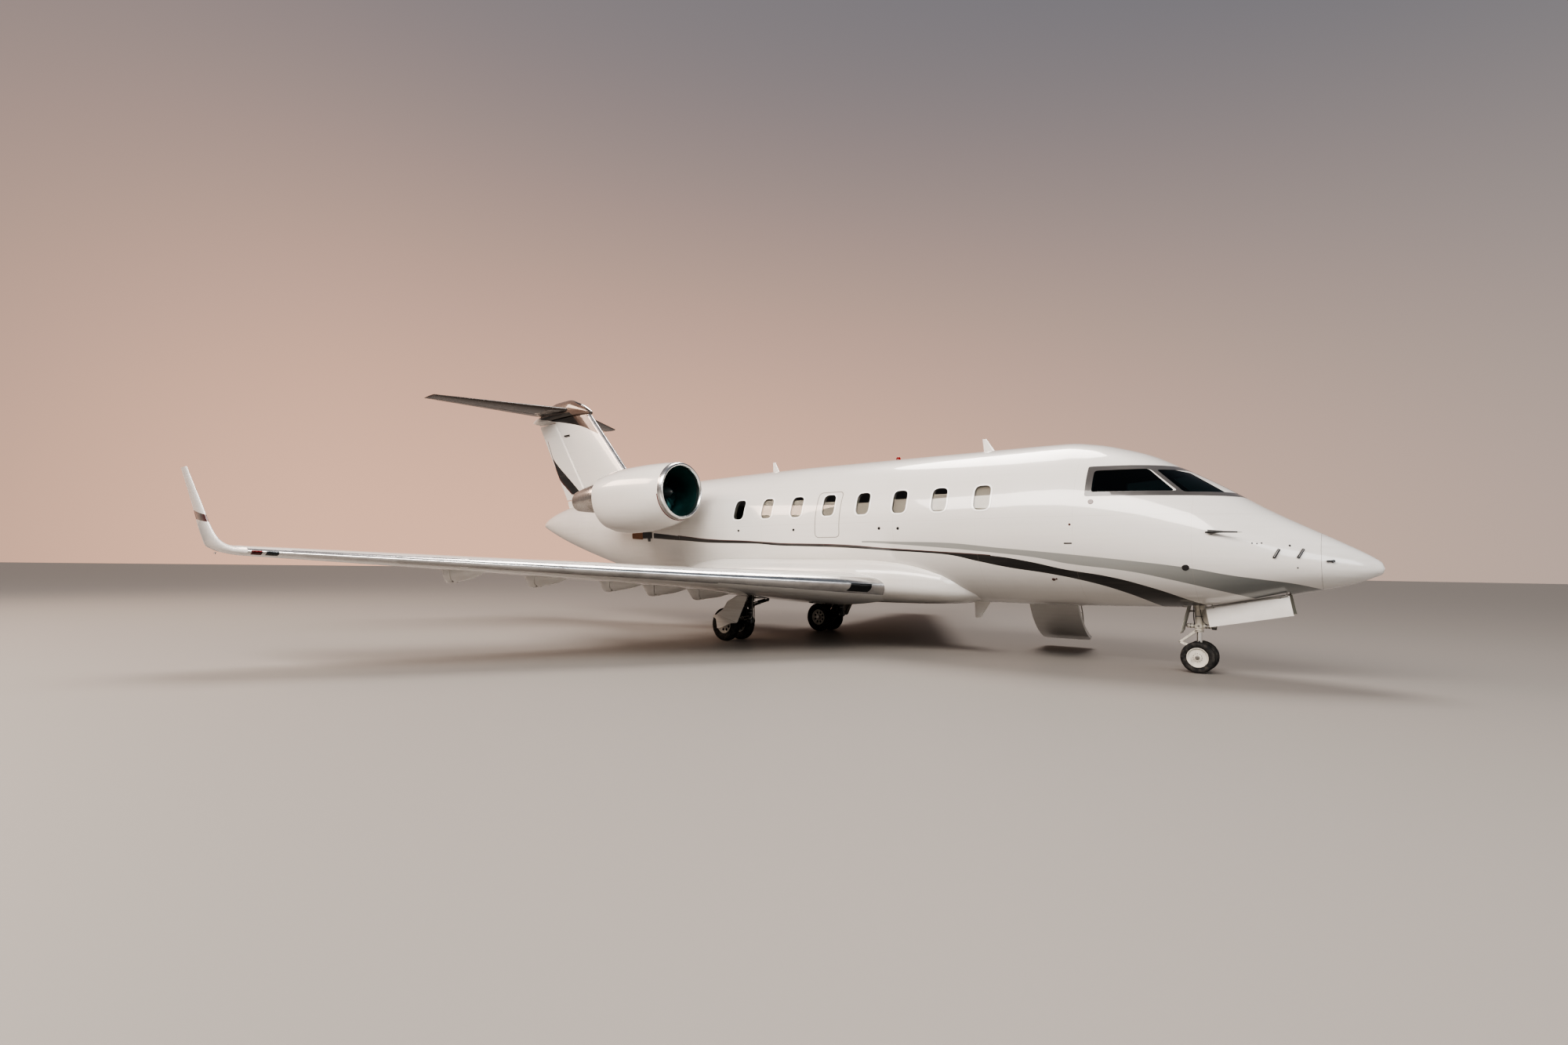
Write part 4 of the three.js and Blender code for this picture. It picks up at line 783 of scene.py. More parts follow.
def pair(name, mesh, solid=None, body="airframe", angle=35):
    """A port piece and its starboard twin."""
    for side, shape in (("left", mesh), ("right", mirrored(mesh))):
        own = body if body == "airframe" else f"{body}_{side}"
        fit(f"{name}_{side}", shape, solid and f"{solid}_{side}", own, angle)


def bare_metal(name, colour, rough, grain=(2.0, 60.0, 60.0), strength=0.06, tint=None):
    """Bare sheet metal: fine drawn grain, faint cloudy polish and a tint where heat has reached it."""
    material, tree, spot = finish(name, rough, {"Metallic": 1.0})
    lines = noise(tree, spot, 4.0, 4.0, stretch=grain)
    cloud = edge(tree, noise(tree, spot, 3.0, 3.0), 0.35, 0.75)
    gloss = calc(tree, "MULTIPLY_ADD", lines, 0.06, rough - 0.03)
    shade = blended(tree, cloud, colour, tint or times(colour, 0.72))
    return dressed(material, shade, gloss, lines, strength, 0.0002)


def wing_at(span):
    return level_foil(WING, span)


WING_WHITE = (0.70, 0.69, 0.67)
wing_paint = gloss_paint("wing_paint", WING_WHITE, seam=[(1, 0, 1.12, 0.45)], rough=0.36, film=0.16)
polished = bare_metal("polished_alloy", (0.74, 0.735, 0.73), 0.26, strength=0.012)
well = LEG_WELL
well_sides = block(well["fore"], well["aft"], well["low"], well["roof"])
leg_well = side_prism(well_sides, well["inner"], well["outer"], 2)
breaks = sorted([row[0] for row in WING[1:-1]] + list(np.arange(1.2, 9.4, 0.55)))
pieces = []
for part in fixed_parts(wing_at, (WING[0][0], WING[-1][0]), FLAPS + [AILERON], breaks):
    piece = mesh_of([part], [wing_paint, polished, well_paint])
    spans = part[0][:, 1]
    crossed = spans.min() < well["outer"] and spans.max() > well["inner"]
    pieces.append(carve(piece, [leg_well]) if crossed else piece)
pair("wing_skin", merged(pieces), "wing", angle=40)

# Winglets
# A bent tip that turns the wing upright, one painted skin over ribs, with a red and black band across it
# that carries the fuselage's stripe on.

WINGLET = [
    # span, height, station, chord, thickness share, lean, twist
    (9.4503, 1.584, 11.450, 1.270, 0.105, 0, -1.6), (9.545, 1.606, 11.640, 1.160, 0.100, 25, -1.0),
    (9.620, 1.680, 11.880, 0.860, 0.100, 58, 0), (9.660, 1.780, 12.060, 0.660, 0.100, 76, 0),
    (9.730, 2.250, 12.560, 0.450, 0.095, 82, 0), (9.792, 2.780, 13.140, 0.290, 0.090, 82, 0),
]
BAND_TOP, BAND_LOW = [(12.2, 2.049), (13.0, 2.161)], [(12.2, 1.967), (13.0, 2.038)]
BAND_BLACK = (12.47, 12.70)
rows = np.array(WINGLET)
arc = np.concatenate([[0], np.cumsum(np.hypot(*np.diff(rows[:, :2], axis=0).T))])
winglet_row = eased(np.column_stack([arc, rows]))


def winglet_at(length):
    span, height, station, chord, thick, lean, turn = winglet_row(length)[0]
    return foil(station, span, height, chord, thick, turn, lean)


scheme = Scheme("winglet_scheme", ("Red", "Black"))
band = scheme.strip(scheme.below(BAND_TOP), scheme.below(BAND_LOW))
feed(scheme.out["Red"], band)
feed(scheme.out["Black"], scheme.both(band, scheme.between(BAND_BLACK)))
winglet_paint = gloss_paint("winglet_paint", WING_WHITE, rough=0.36, film=0.16,
                            coats=(scheme, [("Red", RED), ("Black", BLACK)]))
winglet = foil_loft(winglet_at, np.linspace(0, arc[-1], 26), polish=False)
pair("winglet_skin", mesh_of([winglet], [winglet_paint]), "winglet", angle=40)

# Ailerons, flaps, elevators and rudder
# Honeycomb surfaces with a round nose in the cove, hung on pins and knuckles along the hinge line. The
# flaps turn about knuckles in the canoe-shaped fairings below the wing.

PIN = {"radius": 0.012, "reach": 0.014}
KNUCKLE = {"radius": 0.026, "half": 0.045}
FLAP_DROP = (0.25, 0.265)
CANOE = [
    # distance aft of the hinge, half width, top, bottom
    (-1.12, 0.012, 0.265, 0.205), (-0.90, 0.048, 0.265, 0.150), (-0.45, 0.075, 0.265, 0.035),
    (-0.01, 0.075, 0.265, -0.026),
]
CANOE_TAIL = [
    (0.008, 0.075, 0.245, -0.026), (0.12, 0.075, 0.245, -0.048), (0.22, 0.0675, 0.245, -0.038),
    (0.30, 0.04875, 0.245, 0.030), (0.42, 0.030, 0.245, 0.150), (0.56, 0.010, 0.262, 0.232),
]


def surface_ring(section, share):
    """Section of a moving surface: the skins and a round nose about the hinge."""
    hinge = hinge_of(section, share)
    up = foil_point(section, share, 1) - hinge
    front = np.array((np.linalg.norm(up), 0, 0))
    nose = [hinge + up * math.cos(a) + front * math.sin(a) for a in np.linspace(0, math.pi, 19)]
    shares = share + np.linspace(0.08, 1, 12) * (1 - share)
    upper = [foil_point(section, s, 1) for s in shares[::-1]]
    return np.array(upper + nose + [foil_point(section, s, -1) for s in shares])


def bar(start, end, radius, sides=16, end_radius=None, mark=0):
    """Round bar between two points."""
    start, end = Vector(start), Vector(end)
    turn = (end - start).to_track_quat("Z", "Y").to_matrix()
    rings = []
    for centre, size in ((start, radius), (end, end_radius or radius)):
        spokes = [turn @ Vector((size * math.cos(a), size * math.sin(a), 0)) for a in turns(sides)]
        rings.append(np.array([centre + spoke for spoke in spokes]))
    return capped(rings, mark)


def moving_surface(section_at, surface):
    """A surface between its spans, with a hinge pin that reaches past both ends."""
    sections = [section_at(surface[end]) for end in ("inner", "outer")]
    first, last = (hinge_of(section, surface["share"]) for section in sections)
    along = (last - first) / np.linalg.norm(last - first)
    slant = max(abs(along[1]), abs(along[2]))
    first = first - along * (surface["inner_gap"] / slant + PIN["reach"])
    last = last + along * (surface["outer_gap"] / slant + PIN["reach"])
    rings = [surface_ring(section, surface["share"]) for section in sections]
    return [capped(rings), bar(first, last, PIN["radius"], mark=1)]


def flap_hinge(flap, span):
    """A point of the hinge line below the wing."""
    t = (span - flap["inner"]) / (flap["outer"] - flap["inner"])
    section = wing_at(span)
    x, y, z = hinge_of(section, flap["share"])
    drop = FLAP_DROP[0] + t * (FLAP_DROP[1] - FLAP_DROP[0])
    return np.array((x + nose_of(section, flap["share"]) + 0.02, span, z - drop))


def on_axis(flap, span):
    """Where the flap's straight axis crosses a span, and its direction."""
    first, last = (flap_hinge(flap, flap[end]) for end in ("inner", "outer"))
    along = (last - first) / np.linalg.norm(last - first)
    return first + along * (span - first[1]) / along[1], along


def canoe(flap, span, rows):
    """Rounded fairing under the wing."""
    (x, y, z), along = on_axis(flap, span)
    shape = eased(rows)
    turn = np.linspace(-math.pi / 2, math.pi / 2, 15)
    rings = []
    for aft in np.linspace(rows[0][0], rows[-1][0], 16):
        half, top, bottom = shape(aft)[0]
        side = np.concatenate([half * np.sin(turn), [half, -half]])
        rise = np.concatenate([bottom + (top - bottom) * 0.55 * (1 - np.cos(turn) ** 0.8), [top, top]])
        rings.append(np.stack([x - aft + side * along[0] / along[1], span + side, z + rise], 1))
    return capped(rings)


gear_steel = bare_metal("plated_steel", (0.42, 0.41, 0.39), 0.34, grain=(20, 20, 20))
surface_finishes = [wing_paint, gear_steel]
aileron = mesh_of(moving_surface(wing_at, AILERON), surface_finishes)
pair("aileron_skin", aileron, "aileron", "aileron_body", 40)
for flap in FLAPS:
    name, fixed = flap["name"], []
    moving = [capped([surface_ring(wing_at(flap[end]), flap["share"]) for end in ("inner", "outer")])]
    for span in flap["hinges"]:
        centre, along = on_axis(flap, span)
        reach = along * KNUCKLE["half"]
        fixed.append(canoe(flap, span, CANOE))
        fixed.append(bar(centre - reach, centre + reach, KNUCKLE["radius"], 20, mark=1))
        moving.append(canoe(flap, span, CANOE_TAIL))
    pair("flap_fairings_" + name, mesh_of(fixed, surface_finishes), angle=40)
    pair("flap_skin_" + name, mesh_of(moving, surface_finishes), "flap_" + name,
         f"flap_{name}_body", 40)

# Fin, rudder, fin cap, stabiliser and elevators
# A swept fin with a polished nose and a long dorsal root carries the stabiliser on its top under a domed
# cap. Cap, stabiliser and elevators are painted a dark bronze, and a black sweep crosses the fin's rear.

FIN = [(2.90, 14.48, 3.62, 0.100), (3.40, 15.01, 3.33, 0.100), (5.76, 17.31, 2.61, 0.095)]
DORSAL = [(13.66, 3.425), (14.1, 3.555), (14.7, 3.72), (15.3, 3.885), (15.7, 4.0), (16.2, 4.1)]
DORSAL_FOOT = 3.30
RUDDER = {"inner": 3.33, "outer": 5.66, "share": 0.68, "inner_gap": 0.034, "outer_gap": 0.034}
STABILISER = [(0, 18.12, 5.985, 1.78, 0.10, 0), (3.09, 20.17, 6.12, 0.68, 0.09, 0)]
ELEVATOR = {"inner": 0.19, "outer": 3.01, "share": 0.68, "inner_gap": 0.02, "outer_gap": 0.02}
SWEEP_TOP = [(17.30, 3.30), (17.67, 3.590), (18.33, 4.050), (18.90, 4.450), (19.09, 4.62), (19.40, 4.95)]
SWEEP_LOW = [(17.30, 2.95), (17.95, 3.470), (18.35, 3.740), (18.72, 4.010), (19.09, 4.610), (19.40, 5.20)]
CROWN_LOW = [(16.80, 5.12), (17.02, 5.210), (17.59, 5.430), (18.18, 5.570), (19.61, 5.840), (20.0, 5.91)]
SWEEP_ENDS, RIM_ENDS, RIM, SLANT = (17.3, 19.4), (18.0, 19.4), 0.05, (1.17, 11.26)


def fin_at(height):
    station, chord, thick = row_at(FIN, height)
    return foil(station, 0, height, chord, thick, lean=90)


def tail_at(span):
    return level_foil(STABILISER, span)


def aft_of_slant(scheme):
    """Mask behind the slanting line that ends the bronze."""
    line = scheme.calc("MULTIPLY_ADD", scheme.height, *SLANT)
    return scheme.inside(scheme.calc("SUBTRACT", scheme.station, line))


scheme = Scheme("fin_scheme", ("Bronze", "Black", "Red"))
sweep_low = scheme.below(SWEEP_LOW)
sweep = scheme.strip(scheme.below(SWEEP_TOP), sweep_low, SWEEP_ENDS)
crown = scheme.outside(scheme.below(CROWN_LOW))
feed(scheme.out["Bronze"], crown)
feed(scheme.out["Black"], scheme.calc("MAXIMUM", sweep, scheme.both(crown, aft_of_slant(scheme))))
feed(scheme.out["Red"], scheme.strip(sweep_low, scheme.calc("SUBTRACT", sweep_low, RIM), RIM_ENDS))
fin_coats = (scheme, [("Bronze", (0.060, 0.036, 0.028)), ("Red", RED), ("Black", BLACK)])
fin_paint = gloss_paint("fin_paint", WHITE, coats=fin_coats, seam=[(2, 0, 0.62, 3.45)], film=0.04)
bronze_paint = gloss_paint("bronze_paint", (0.030, 0.019, 0.015), seam=[(1, 0, 0.8, 0.3)], rough=0.28,
                           film=0.012)
fin = fixed_parts(fin_at, (FIN[0][0], FIN[-1][0]), [RUDDER], [3.4, 3.9, 4.5, 5.1, 5.6])
fit("fin_skin", mesh_of(fin, [fin_paint, polished]), "fin", angle=40)
rings = []
for station, top in DORSAL:
    half, port = 0.046 * (station - 13.2) / 2.4, []
    for t in np.linspace(0, 1, 9):
        y, z = half * math.sqrt(max(1 - t**3, 0)) + 0.002, DORSAL_FOOT + (top - DORSAL_FOOT) * t
        port.append((at(station), y, z))
    rings.append(np.array(port + [(x, -y, z) for x, y, z in reversed(port)]))
fit("dorsal_fin", mesh_of([capped(rings)], [fin_paint]), angle=40)
rudder = mesh_of(moving_surface(fin_at, RUDDER), [fin_paint, fin_paint])
fit("rudder_skin", rudder, "rudder", "rudder_body", 40)
half_tail = fixed_parts(tail_at, (STABILISER[0][0], STABILISER[-1][0]), [ELEVATOR], [1, 2])
half_tail = mesh_of(half_tail, [bronze_paint, bronze_paint])
fit("stabiliser_skin", merged([half_tail, mirrored(half_tail)]), "stabiliser", angle=40)
elevator = mesh_of(moving_surface(tail_at, ELEVATOR), [bronze_paint, gear_steel])
pair("elevator_skin", elevator, "elevator", "elevator_body", 40)

CAP = [(17.26, 0.020, 5.83), (17.50, 0.095, 5.99), (17.90, 0.150, 6.17), (18.32, 0.168, 6.30),
       (18.90, 0.165, 6.285), (19.35, 0.130, 6.20), (19.70, 0.085, 6.11)]
CAP_FLOOR, CAP_WAIST, CAP_UNDER = 5.7603, 0.45, 5.90
BLACK_NOSE = [(17.0, 5.45), (17.606, 6.016), (17.90, 6.14), (18.23, 6.310), (18.5, 6.45)]
scheme = Scheme("cap_scheme", ("Black",))
under = scheme.inside(scheme.calc("SUBTRACT", CAP_UNDER, scheme.height))
lower = scheme.both(aft_of_slant(scheme), under)
feed(scheme.out["Black"], scheme.calc("MAXIMUM", scheme.outside(scheme.below(BLACK_NOSE)), lower))
cap_paint = gloss_paint("cap_paint", (0.135, 0.090, 0.072), coats=(scheme, [("Black", BLACK)]), rough=0.26)
cap_row = eased(CAP)


def cap_at(station):
    """Half width, waist and reach upward of the cap."""
    half, high = cap_row(station)[0]
    waist = CAP_FLOOR + (high - CAP_FLOOR) * CAP_WAIST
    return half, waist, high - waist


rings = []
for station in np.linspace(17.265, 19.70, 40):
    half, waist, rise = cap_at(station)
    rings.append(oval((at(station), 0, waist), half, rise, waist - CAP_FLOOR, 40))
fit("fin_cap_skin", mesh_of([capped(rings)], [cap_paint]), "fin_cap", angle=40)

# The polished strip of the fin's nose runs on up the cap, and a pale rounded tail closes the joint aft.
rings = []
spread = np.linspace(-0.62, 0.62, 13)
for station in np.linspace(17.262, 17.70, 10):
    half, waist, rise = cap_at(station)
    rings.append(np.array([(at(station), (half + lift) * math.sin(a), waist + (rise + lift) * math.cos(a))
                           for lift, order in ((0.0005, spread), (0.006, spread[::-1])) for a in order]))
fit("cap_nose_strip", mesh_of([capped(rings)], [polished]), angle=40)
BULLET = [(19.10, 0.060, 0.075), (19.40, 0.088, 0.120), (19.75, 0.080, 0.125), (20.05, 0.050, 0.085),
          (20.24, 0.006, 0.010)]
bullet_at = eased(BULLET)
rings = []
for station in np.linspace(19.10, 20.24, 20):
    half, tall = bullet_at(station)[0]
    rings.append(oval((at(station), 0, 5.84), half, tall, tall, 32))
fit("tail_bullet", mesh_of([capped(rings)], [fairing_paint]), angle=40)

# Engines
# Two turbofans on pylons: a polished intake lip, a white cowl, a fan behind its spinner, the core on
# struts in the bypass duct, and a bare-metal nozzle.

ENGINE = {"station": 11.14, "span": 2.15, "height": 3.02}
LIP = [(0.11, 0.505), (0.05, 0.512), (0.018, 0.524), (0.003, 0.538), (0.0, 0.549), (0.004, 0.563),
       (0.018, 0.580), (0.045, 0.592), (0.075, 0.598), (0.11, 0.602)]
COWL = [
    # distance aft of the lip, reach sideways, up and down
    (0.1103, 0.602, 0.602, 0.602), (0.36, 0.650, 0.612, 0.705), (0.74, 0.680, 0.615, 0.785),
    (1.14, 0.695, 0.605, 0.835), (1.54, 0.690, 0.585, 0.845), (1.94, 0.665, 0.545, 0.825),
    (2.24, 0.620, 0.500, 0.750),
]
DUCT = [
    (0.1103, 0.505, 0.505, 0.505), (0.56, 0.468, 0.468, 0.468), (0.90, 0.468, 0.468, 0.468),
    (1.00, 0.555, 0.545, 0.560), (1.50, 0.560, 0.530, 0.590), (1.90, 0.555, 0.500, 0.610),
    (2.24, 0.530, 0.472, 0.640),
]
NOZZLE = [(2.3003, 0.352, 0.0), (2.65, 0.350, 0.012), (3.10, 0.305, 0.035), (3.50, 0.240, 0.060)]
NOZZLE_WALL = 0.022
LINE_SECTION = ((0.112, 0.0005), (0.112, 0.003), (0.130, 0.003), (0.130, 0.0005))


def cowl_ring(centre, aft, side, top, bottom, sides=96):
    """Ring at a distance aft of a point."""
    x, y, z = centre
    return oval((x - aft, y, z), side, top, bottom, sides)


def turned(profile, centre, sides=96, closed=False, mark=0):
    """Body of revolution about a fore-and-aft line from rows of distance aft and radius."""
    return loft([cowl_ring(centre, aft, r, r, r, sides) for aft, r in profile], mark, closed)


hub = (at(ENGINE["station"]), ENGINE["span"], ENGINE["height"])
cowl_paint = gloss_paint("cowl_paint", WHITE, seam=[(0, 2, 0.98, at(ENGINE["station"] + 0.60))], film=0.08)
hot_metal = bare_metal("nozzle_metal", (0.74, 0.71, 0.68), 0.27, tint=(0.52, 0.48, 0.45), strength=0.02)
# The duct liner is a bright teal-grey: painted light that stands in for the glow on the duct's inner wall.
duct_metal_painted_light = bare_metal("duct_liner", (0.13, 0.33, 0.32), 0.42, grain=(30, 30, 30))
red_line = gloss_paint("dark_red_line", (0.10, 0.012, 0.012), film=0.05)
lip = mesh_of([turned(LIP, hub, closed=True)], [polished])
pair("intake_lip_skin", lip, "intake_lip", angle=50)
cowl_at, duct_at = eased(COWL), eased(DUCT)
fore, aft = COWL[0][0], COWL[-1][0]
rings = [cowl_ring(hub, stop, *cowl_at(stop)[0]) for stop in np.linspace(fore, aft, 28)]
rings += [cowl_ring(hub, stop, *duct_at(stop)[0]) for stop in np.linspace(aft, fore, 34)]
cowl = mesh_of([loft(rings, [0] * 28 + [1] * 33 + [0], closed=True)], [cowl_paint, duct_metal_painted_light])
pair("nacelle_skin", cowl, "nacelle")
nozzle_at = eased(NOZZLE)
stops = np.linspace(NOZZLE[0][0], NOZZLE[-1][0], 20)
rings = []
for inset, course in ((0.0, stops), (NOZZLE_WALL, stops[::-1])):
    for stop in course:
        radius, drop = nozzle_at(stop)[0]
        reach = radius - inset
        rings.append(cowl_ring((hub[0], hub[1], hub[2] - drop), stop, reach, reach, reach))
pair("nozzle_skin", mesh_of([loft(rings, closed=True)], [hot_metal]), "nozzle")

# A dark red line is painted behind the lip's lower half.
rings = []
for a in np.linspace(math.radians(100), math.radians(255), 60):
    ring = []
    for stop, lift in LINE_SECTION:
        side, top, bottom = cowl_at(stop)[0] + lift
        ring.append((hub[0] - stop, hub[1] + side * math.sin(a), hub[2] + bottom * math.cos(a)))
    rings.append(np.array(ring))
pair("lip_line", mesh_of([capped(rings)], [red_line]))

# Pylons
# Short stub wings that carry the engines off the rear fuselage, with a drawn-out trailing edge. Each
# skin ends on the cowl it holds.

PYLON = [
    # span, station, height, chord, thickness
    (0.90, 11.90, 2.960, 2.50, 0.250), (1.35, 11.90, 2.985, 2.25, 0.230), (1.70, 12.00, 3.005, 1.55, 0.190),
]


def pylon_at(span):
    station, height, chord, thick = row_at(PYLON, span)
    return foil(station, span, height, chord, thick / chord)


pylon = mesh_of([foil_loft(pylon_at, np.linspace(0.9, 1.7, 7), polish=False)], [cowl_paint])
room = [cowl_ring(hub, stop, *(cowl_at(min(stop, aft))[0] - 0.006)) for stop in np.linspace(0.12, 2.245, 20)]
pair("pylon_skin", carve(pylon, [capped(room)]), "pylon")

# Fans and cores
# Each fan has a turned spinner and twisted titanium blades, and turns on the core's shaft. Four struts
# hold the core in the bypass duct.

FAN = {"fore": 0.56, "aft": 0.88, "tip": 0.44, "hub": 0.15, "blades": 22}
SPINNER = [(-0.262, 0.003), (-0.25, 0.020), (-0.22, 0.046), (-0.17, 0.080), (-0.10, 0.115), (-0.03, 0.141),
           (0.02, 0.150), (0.32, 0.152), (0.32, 0.003)]
CORE = [(0.885, 0.055), (0.98, 0.06), (0.98, 0.296), (1.05, 0.312), (1.5, 0.345), (2.0, 0.351),
        (2.2995, 0.352), (2.2995, 0.02), (0.885, 0.02)]
STRUT = {"fore": 1.25, "chord": 0.45, "half": 0.020, "foot": 0.33, "tips": (0.528, 0.556, 0.575, 0.556)}


def spoke_ring(rows, turn):
    """Points of (distance aft, distance across, radius) on a spoke turned about the hub."""
    c, s = math.cos(turn), math.sin(turn)
    return np.array([(hub[0] - x, hub[1] + y * c - r * s, hub[2] + y * s + r * c) for x, y, r in rows])


def blade_rows(t):
    """Section of a fan blade at a share of its height."""
    foot = FAN["hub"] - 0.012
    radius, pitch = foot + t * (FAN["tip"] - foot), math.radians(25 + 33 * t)
    half, chord = 0.008 - 0.005 * t, 0.088 + 0.022 * math.sin(t * 2.4)
    rows = []
    for a in turns(14):
        i, j = math.cos(a) * chord, math.sin(a) * half + 0.010 * (1 - math.cos(a) ** 2) * t
        aft = (FAN["fore"] + FAN["aft"]) / 2 - i * math.cos(pitch) + j * math.sin(pitch)
        rows.append((aft, i * math.sin(pitch) + j * math.cos(pitch), radius))
    return rows


fan_metal = bare_metal("fan_titanium", (0.34, 0.36, 0.38), 0.32, grain=(40, 6, 6))
spinner_paint = gloss_paint("spinner_paint", (0.05, 0.052, 0.055), rough=0.4, film=0.05)
fan = [turned([(FAN["fore"] + x, r) for x, r in SPINNER], hub, 64, mark=1)]
sections = [blade_rows(t) for t in np.linspace(0, 1, 7)]
fan += [capped([spoke_ring(rows, turn) for rows in sections]) for turn in turns(FAN["blades"])]
pair("fan_rotor", mesh_of(fan, [fan_metal, spinner_paint]), "fan", "fan_body", 40)
core = [turned(CORE, hub, 64, closed=True)]
for turn, tip in zip(turns(4), STRUT["tips"]):
    rings = []
    for radius in (STRUT["foot"], tip):
        rows = [(STRUT["fore"] + STRUT["chord"] * (1 - math.cos(a)) / 2, STRUT["half"] * math.sin(a), radius)
                for a in turns(16)]
        rings.append(spoke_ring(rows, turn))
    core.append(capped(rings))
pair("engine_core_casing", mesh_of(core, [hot_metal]), "engine_core")

# Cockpit glazing
# Four heated glass panes, bolted from outside under one broad pewter-grey frame that wraps over the nose.
# Two are the windshield's halves, and one is on each side.

FRONT_GLASS = [(1.45, 2.638), (2.199, 2.638), (2.573, 2.998), (2.00, 3.004)]
SIDE_GLASS = [(2.274, 2.655), (3.363, 2.660), (3.360, 2.998), (2.655, 3.012)]
GLAZING_FRAME = [(1.36, 2.570), (3.452, 2.598), (3.452, 3.073), (2.90, 3.080), (2.10, 3.068)]
GLAZING_ENDS, SIDE_WITHIN = (1.3, 3.6), 0.4


def tinted_glass(name, colour, rough=0.0):
    """Coated glass with a faint smear of dust."""
    material, tree, spot = finish(name, rough, {"Transmission Weight": 1.0, "IOR": 1.45})
    smear = noise(tree, spot, 6.0, 5.0)
    shade = blended(tree, edge(tree, smear, 0.55, 0.9), colour, times(colour, 1.25))
    return dressed(material, shade, calc(tree, "MULTIPLY_ADD", smear, 0.02, rough))


def grown(outline, amount):
    """An outline moved outwards from its own middle (inwards if negative)."""
    outline = np.asarray(outline, float)
    away = outline - outline.mean(axis=0)
    return outline + away / np.linalg.norm(away, axis=1)[:, None] * amount


pewter_paint = gloss_paint("pewter_paint", (0.085, 0.080, 0.078), rough=0.34, film=0.05)
cockpit_glass = tinted_glass("cockpit_glass", (0.10, 0.17, 0.19))
holes = [through(rounded(FRONT_GLASS, 0.035), side, within=POST_HALF) for side in (1, -1)]
holes += [through(rounded(SIDE_GLASS, 0.045), side, within=SIDE_WITHIN) for side in (1, -1)]
room = [side_prism(rounded(GLAZING_FRAME, 0.03), -BEYOND, BEYOND)]
surround = skin_sheet(GLAZING_ENDS, (-0.003, 0.02), 0.05, pewter_paint, room, holes)
fit("glazing_frame", surround, angle=30)
for name, outline, within in (("windshield", FRONT_GLASS, POST_HALF + 0.002),
                              ("side_pane", SIDE_GLASS, SIDE_WITHIN)):
    room = [through(grown(rounded(outline, 0.04), -0.002), 1, within=within)]
    pane = skin_sheet(GLAZING_ENDS, (0.004, 0.016), 0.05, cockpit_glass, room)
    pair(name + "_glass", pane, name, angle=30)

# Cabin windows
# Rounded panes in a frame screwed in flush, its white brighter than the body's as a painted highlight.
# Pleated cream cloth sheets rise behind them from the bottom to their own heights: a painted reflection.

# Top height of the pale sheet behind each window, a painted reflection of the horizon in the glass.
REFLECTION_TOPS = (3.0, 2.75, 2.70, 2.67, 2.72, 2.79, 2.90, 0.0)
WINDOW_ENDS = (4.7, 10.7)
# The frames' white is brighter than the body's white: a painted highlight.
frame_white_and_highlight = gloss_paint("window_frame_paint", (0.96, 0.95, 0.93), rough=0.2, film=0.0)
cabin_glass = tinted_glass("cabin_glass", (0.72, 0.72, 0.70))

# The sheets' cloth has fine level pleats, darker along each crease as painted shade, and a soft weave.
painted_reflection_cloth, tree, spot = finish("shade_fabric", 0.85)
fold = edge(tree, calc(tree, "PINGPONG", node(tree, "SeparateXYZ", {0: spot})[2], 0.008), 0.0, 0.008)
weave = calc(tree, "MULTIPLY_ADD", noise(tree, spot, 400.0), 0.1, fold)
dressed(painted_reflection_cloth, blended(tree, fold, (0.70, 0.63, 0.55), (0.90, 0.84, 0.76)), None, weave, 0.6, 0.003)

room = [through(window_outline(s, 0.024), side) for k, s, side in window_list]
holes = [through(window_outline(s, -0.004), side) for k, s, side in window_list]
frames = skin_sheet(WINDOW_ENDS, (-0.005, 0.012), 0.2, frame_white_and_highlight, room, holes)
fit("window_frames", frames, angle=30)
fit("cabin_panes", skin_sheet(WINDOW_ENDS, (0.006, 0.011), 0.2, cabin_glass, holes), angle=30)
room = []
for k, station, side in window_list:
    outline = window_outline(station, -0.006)
    if REFLECTION_TOPS[k] > outline[:, 1].min():
        outline[:, 1] = np.minimum(outline[:, 1], REFLECTION_TOPS[k])
        room.append(through(outline, side))
# These pale sheets behind the panes are a painted reflection.
reflection_sheets = skin_sheet(WINDOW_ENDS, (0.050, 0.056), 0.2, painted_reflection_cloth, room)
fit("window_shades", reflection_sheets, angle=30)

# Overwing exit
# A plug of the same riveted wall as the fuselage, with its own window. It is held from inside and sealed
# by a soft grey strip.

EXIT_ENDS = (7.6, 8.5)
seal_rubber = gloss_paint("seal_rubber", (0.30, 0.285, 0.265), rough=0.6, film=0.2)
plug = mesh_of([hull_shell(*EXIT_ENDS, 0, WALL, 0.05)], wall_finishes)
plug = shared(plug, [through(exit_outline(-0.004), -1, 2)])
plug = carve(plug, [through(window_outline(exit_station), -1, 2, 0.4, 1.7)])
fit("exit_plug", smooth_hull(plug, {0: 1, 1: -1}), "overwing_exit", angle=0)
room, holes = [through(exit_outline(0.009), -1)], [through(exit_outline(-0.006), -1, 0, 0.4, 1.7)]
seal = skin_sheet(EXIT_ENDS, (-0.0015, 0.02), 0.05, seal_rubber, room, holes)
fit("exit_seal", seal, angle=30)

# Airstair
# The cabin door is also the stair: a curved panel hinged at the sill with six treads, two stringers and
# folding rails on its inner face. It is shaped shut, then swung out to the ground.

AIRSTAIR = {"gap": 0.008, "wall": 0.07, "steps": 6, "first": 0.19, "reach": 0.118, "lean": -26, "edge": 0.13}
joint_of = {joint["name"]: joint for joint in frame["record"]["behaviour"]["joints"]}


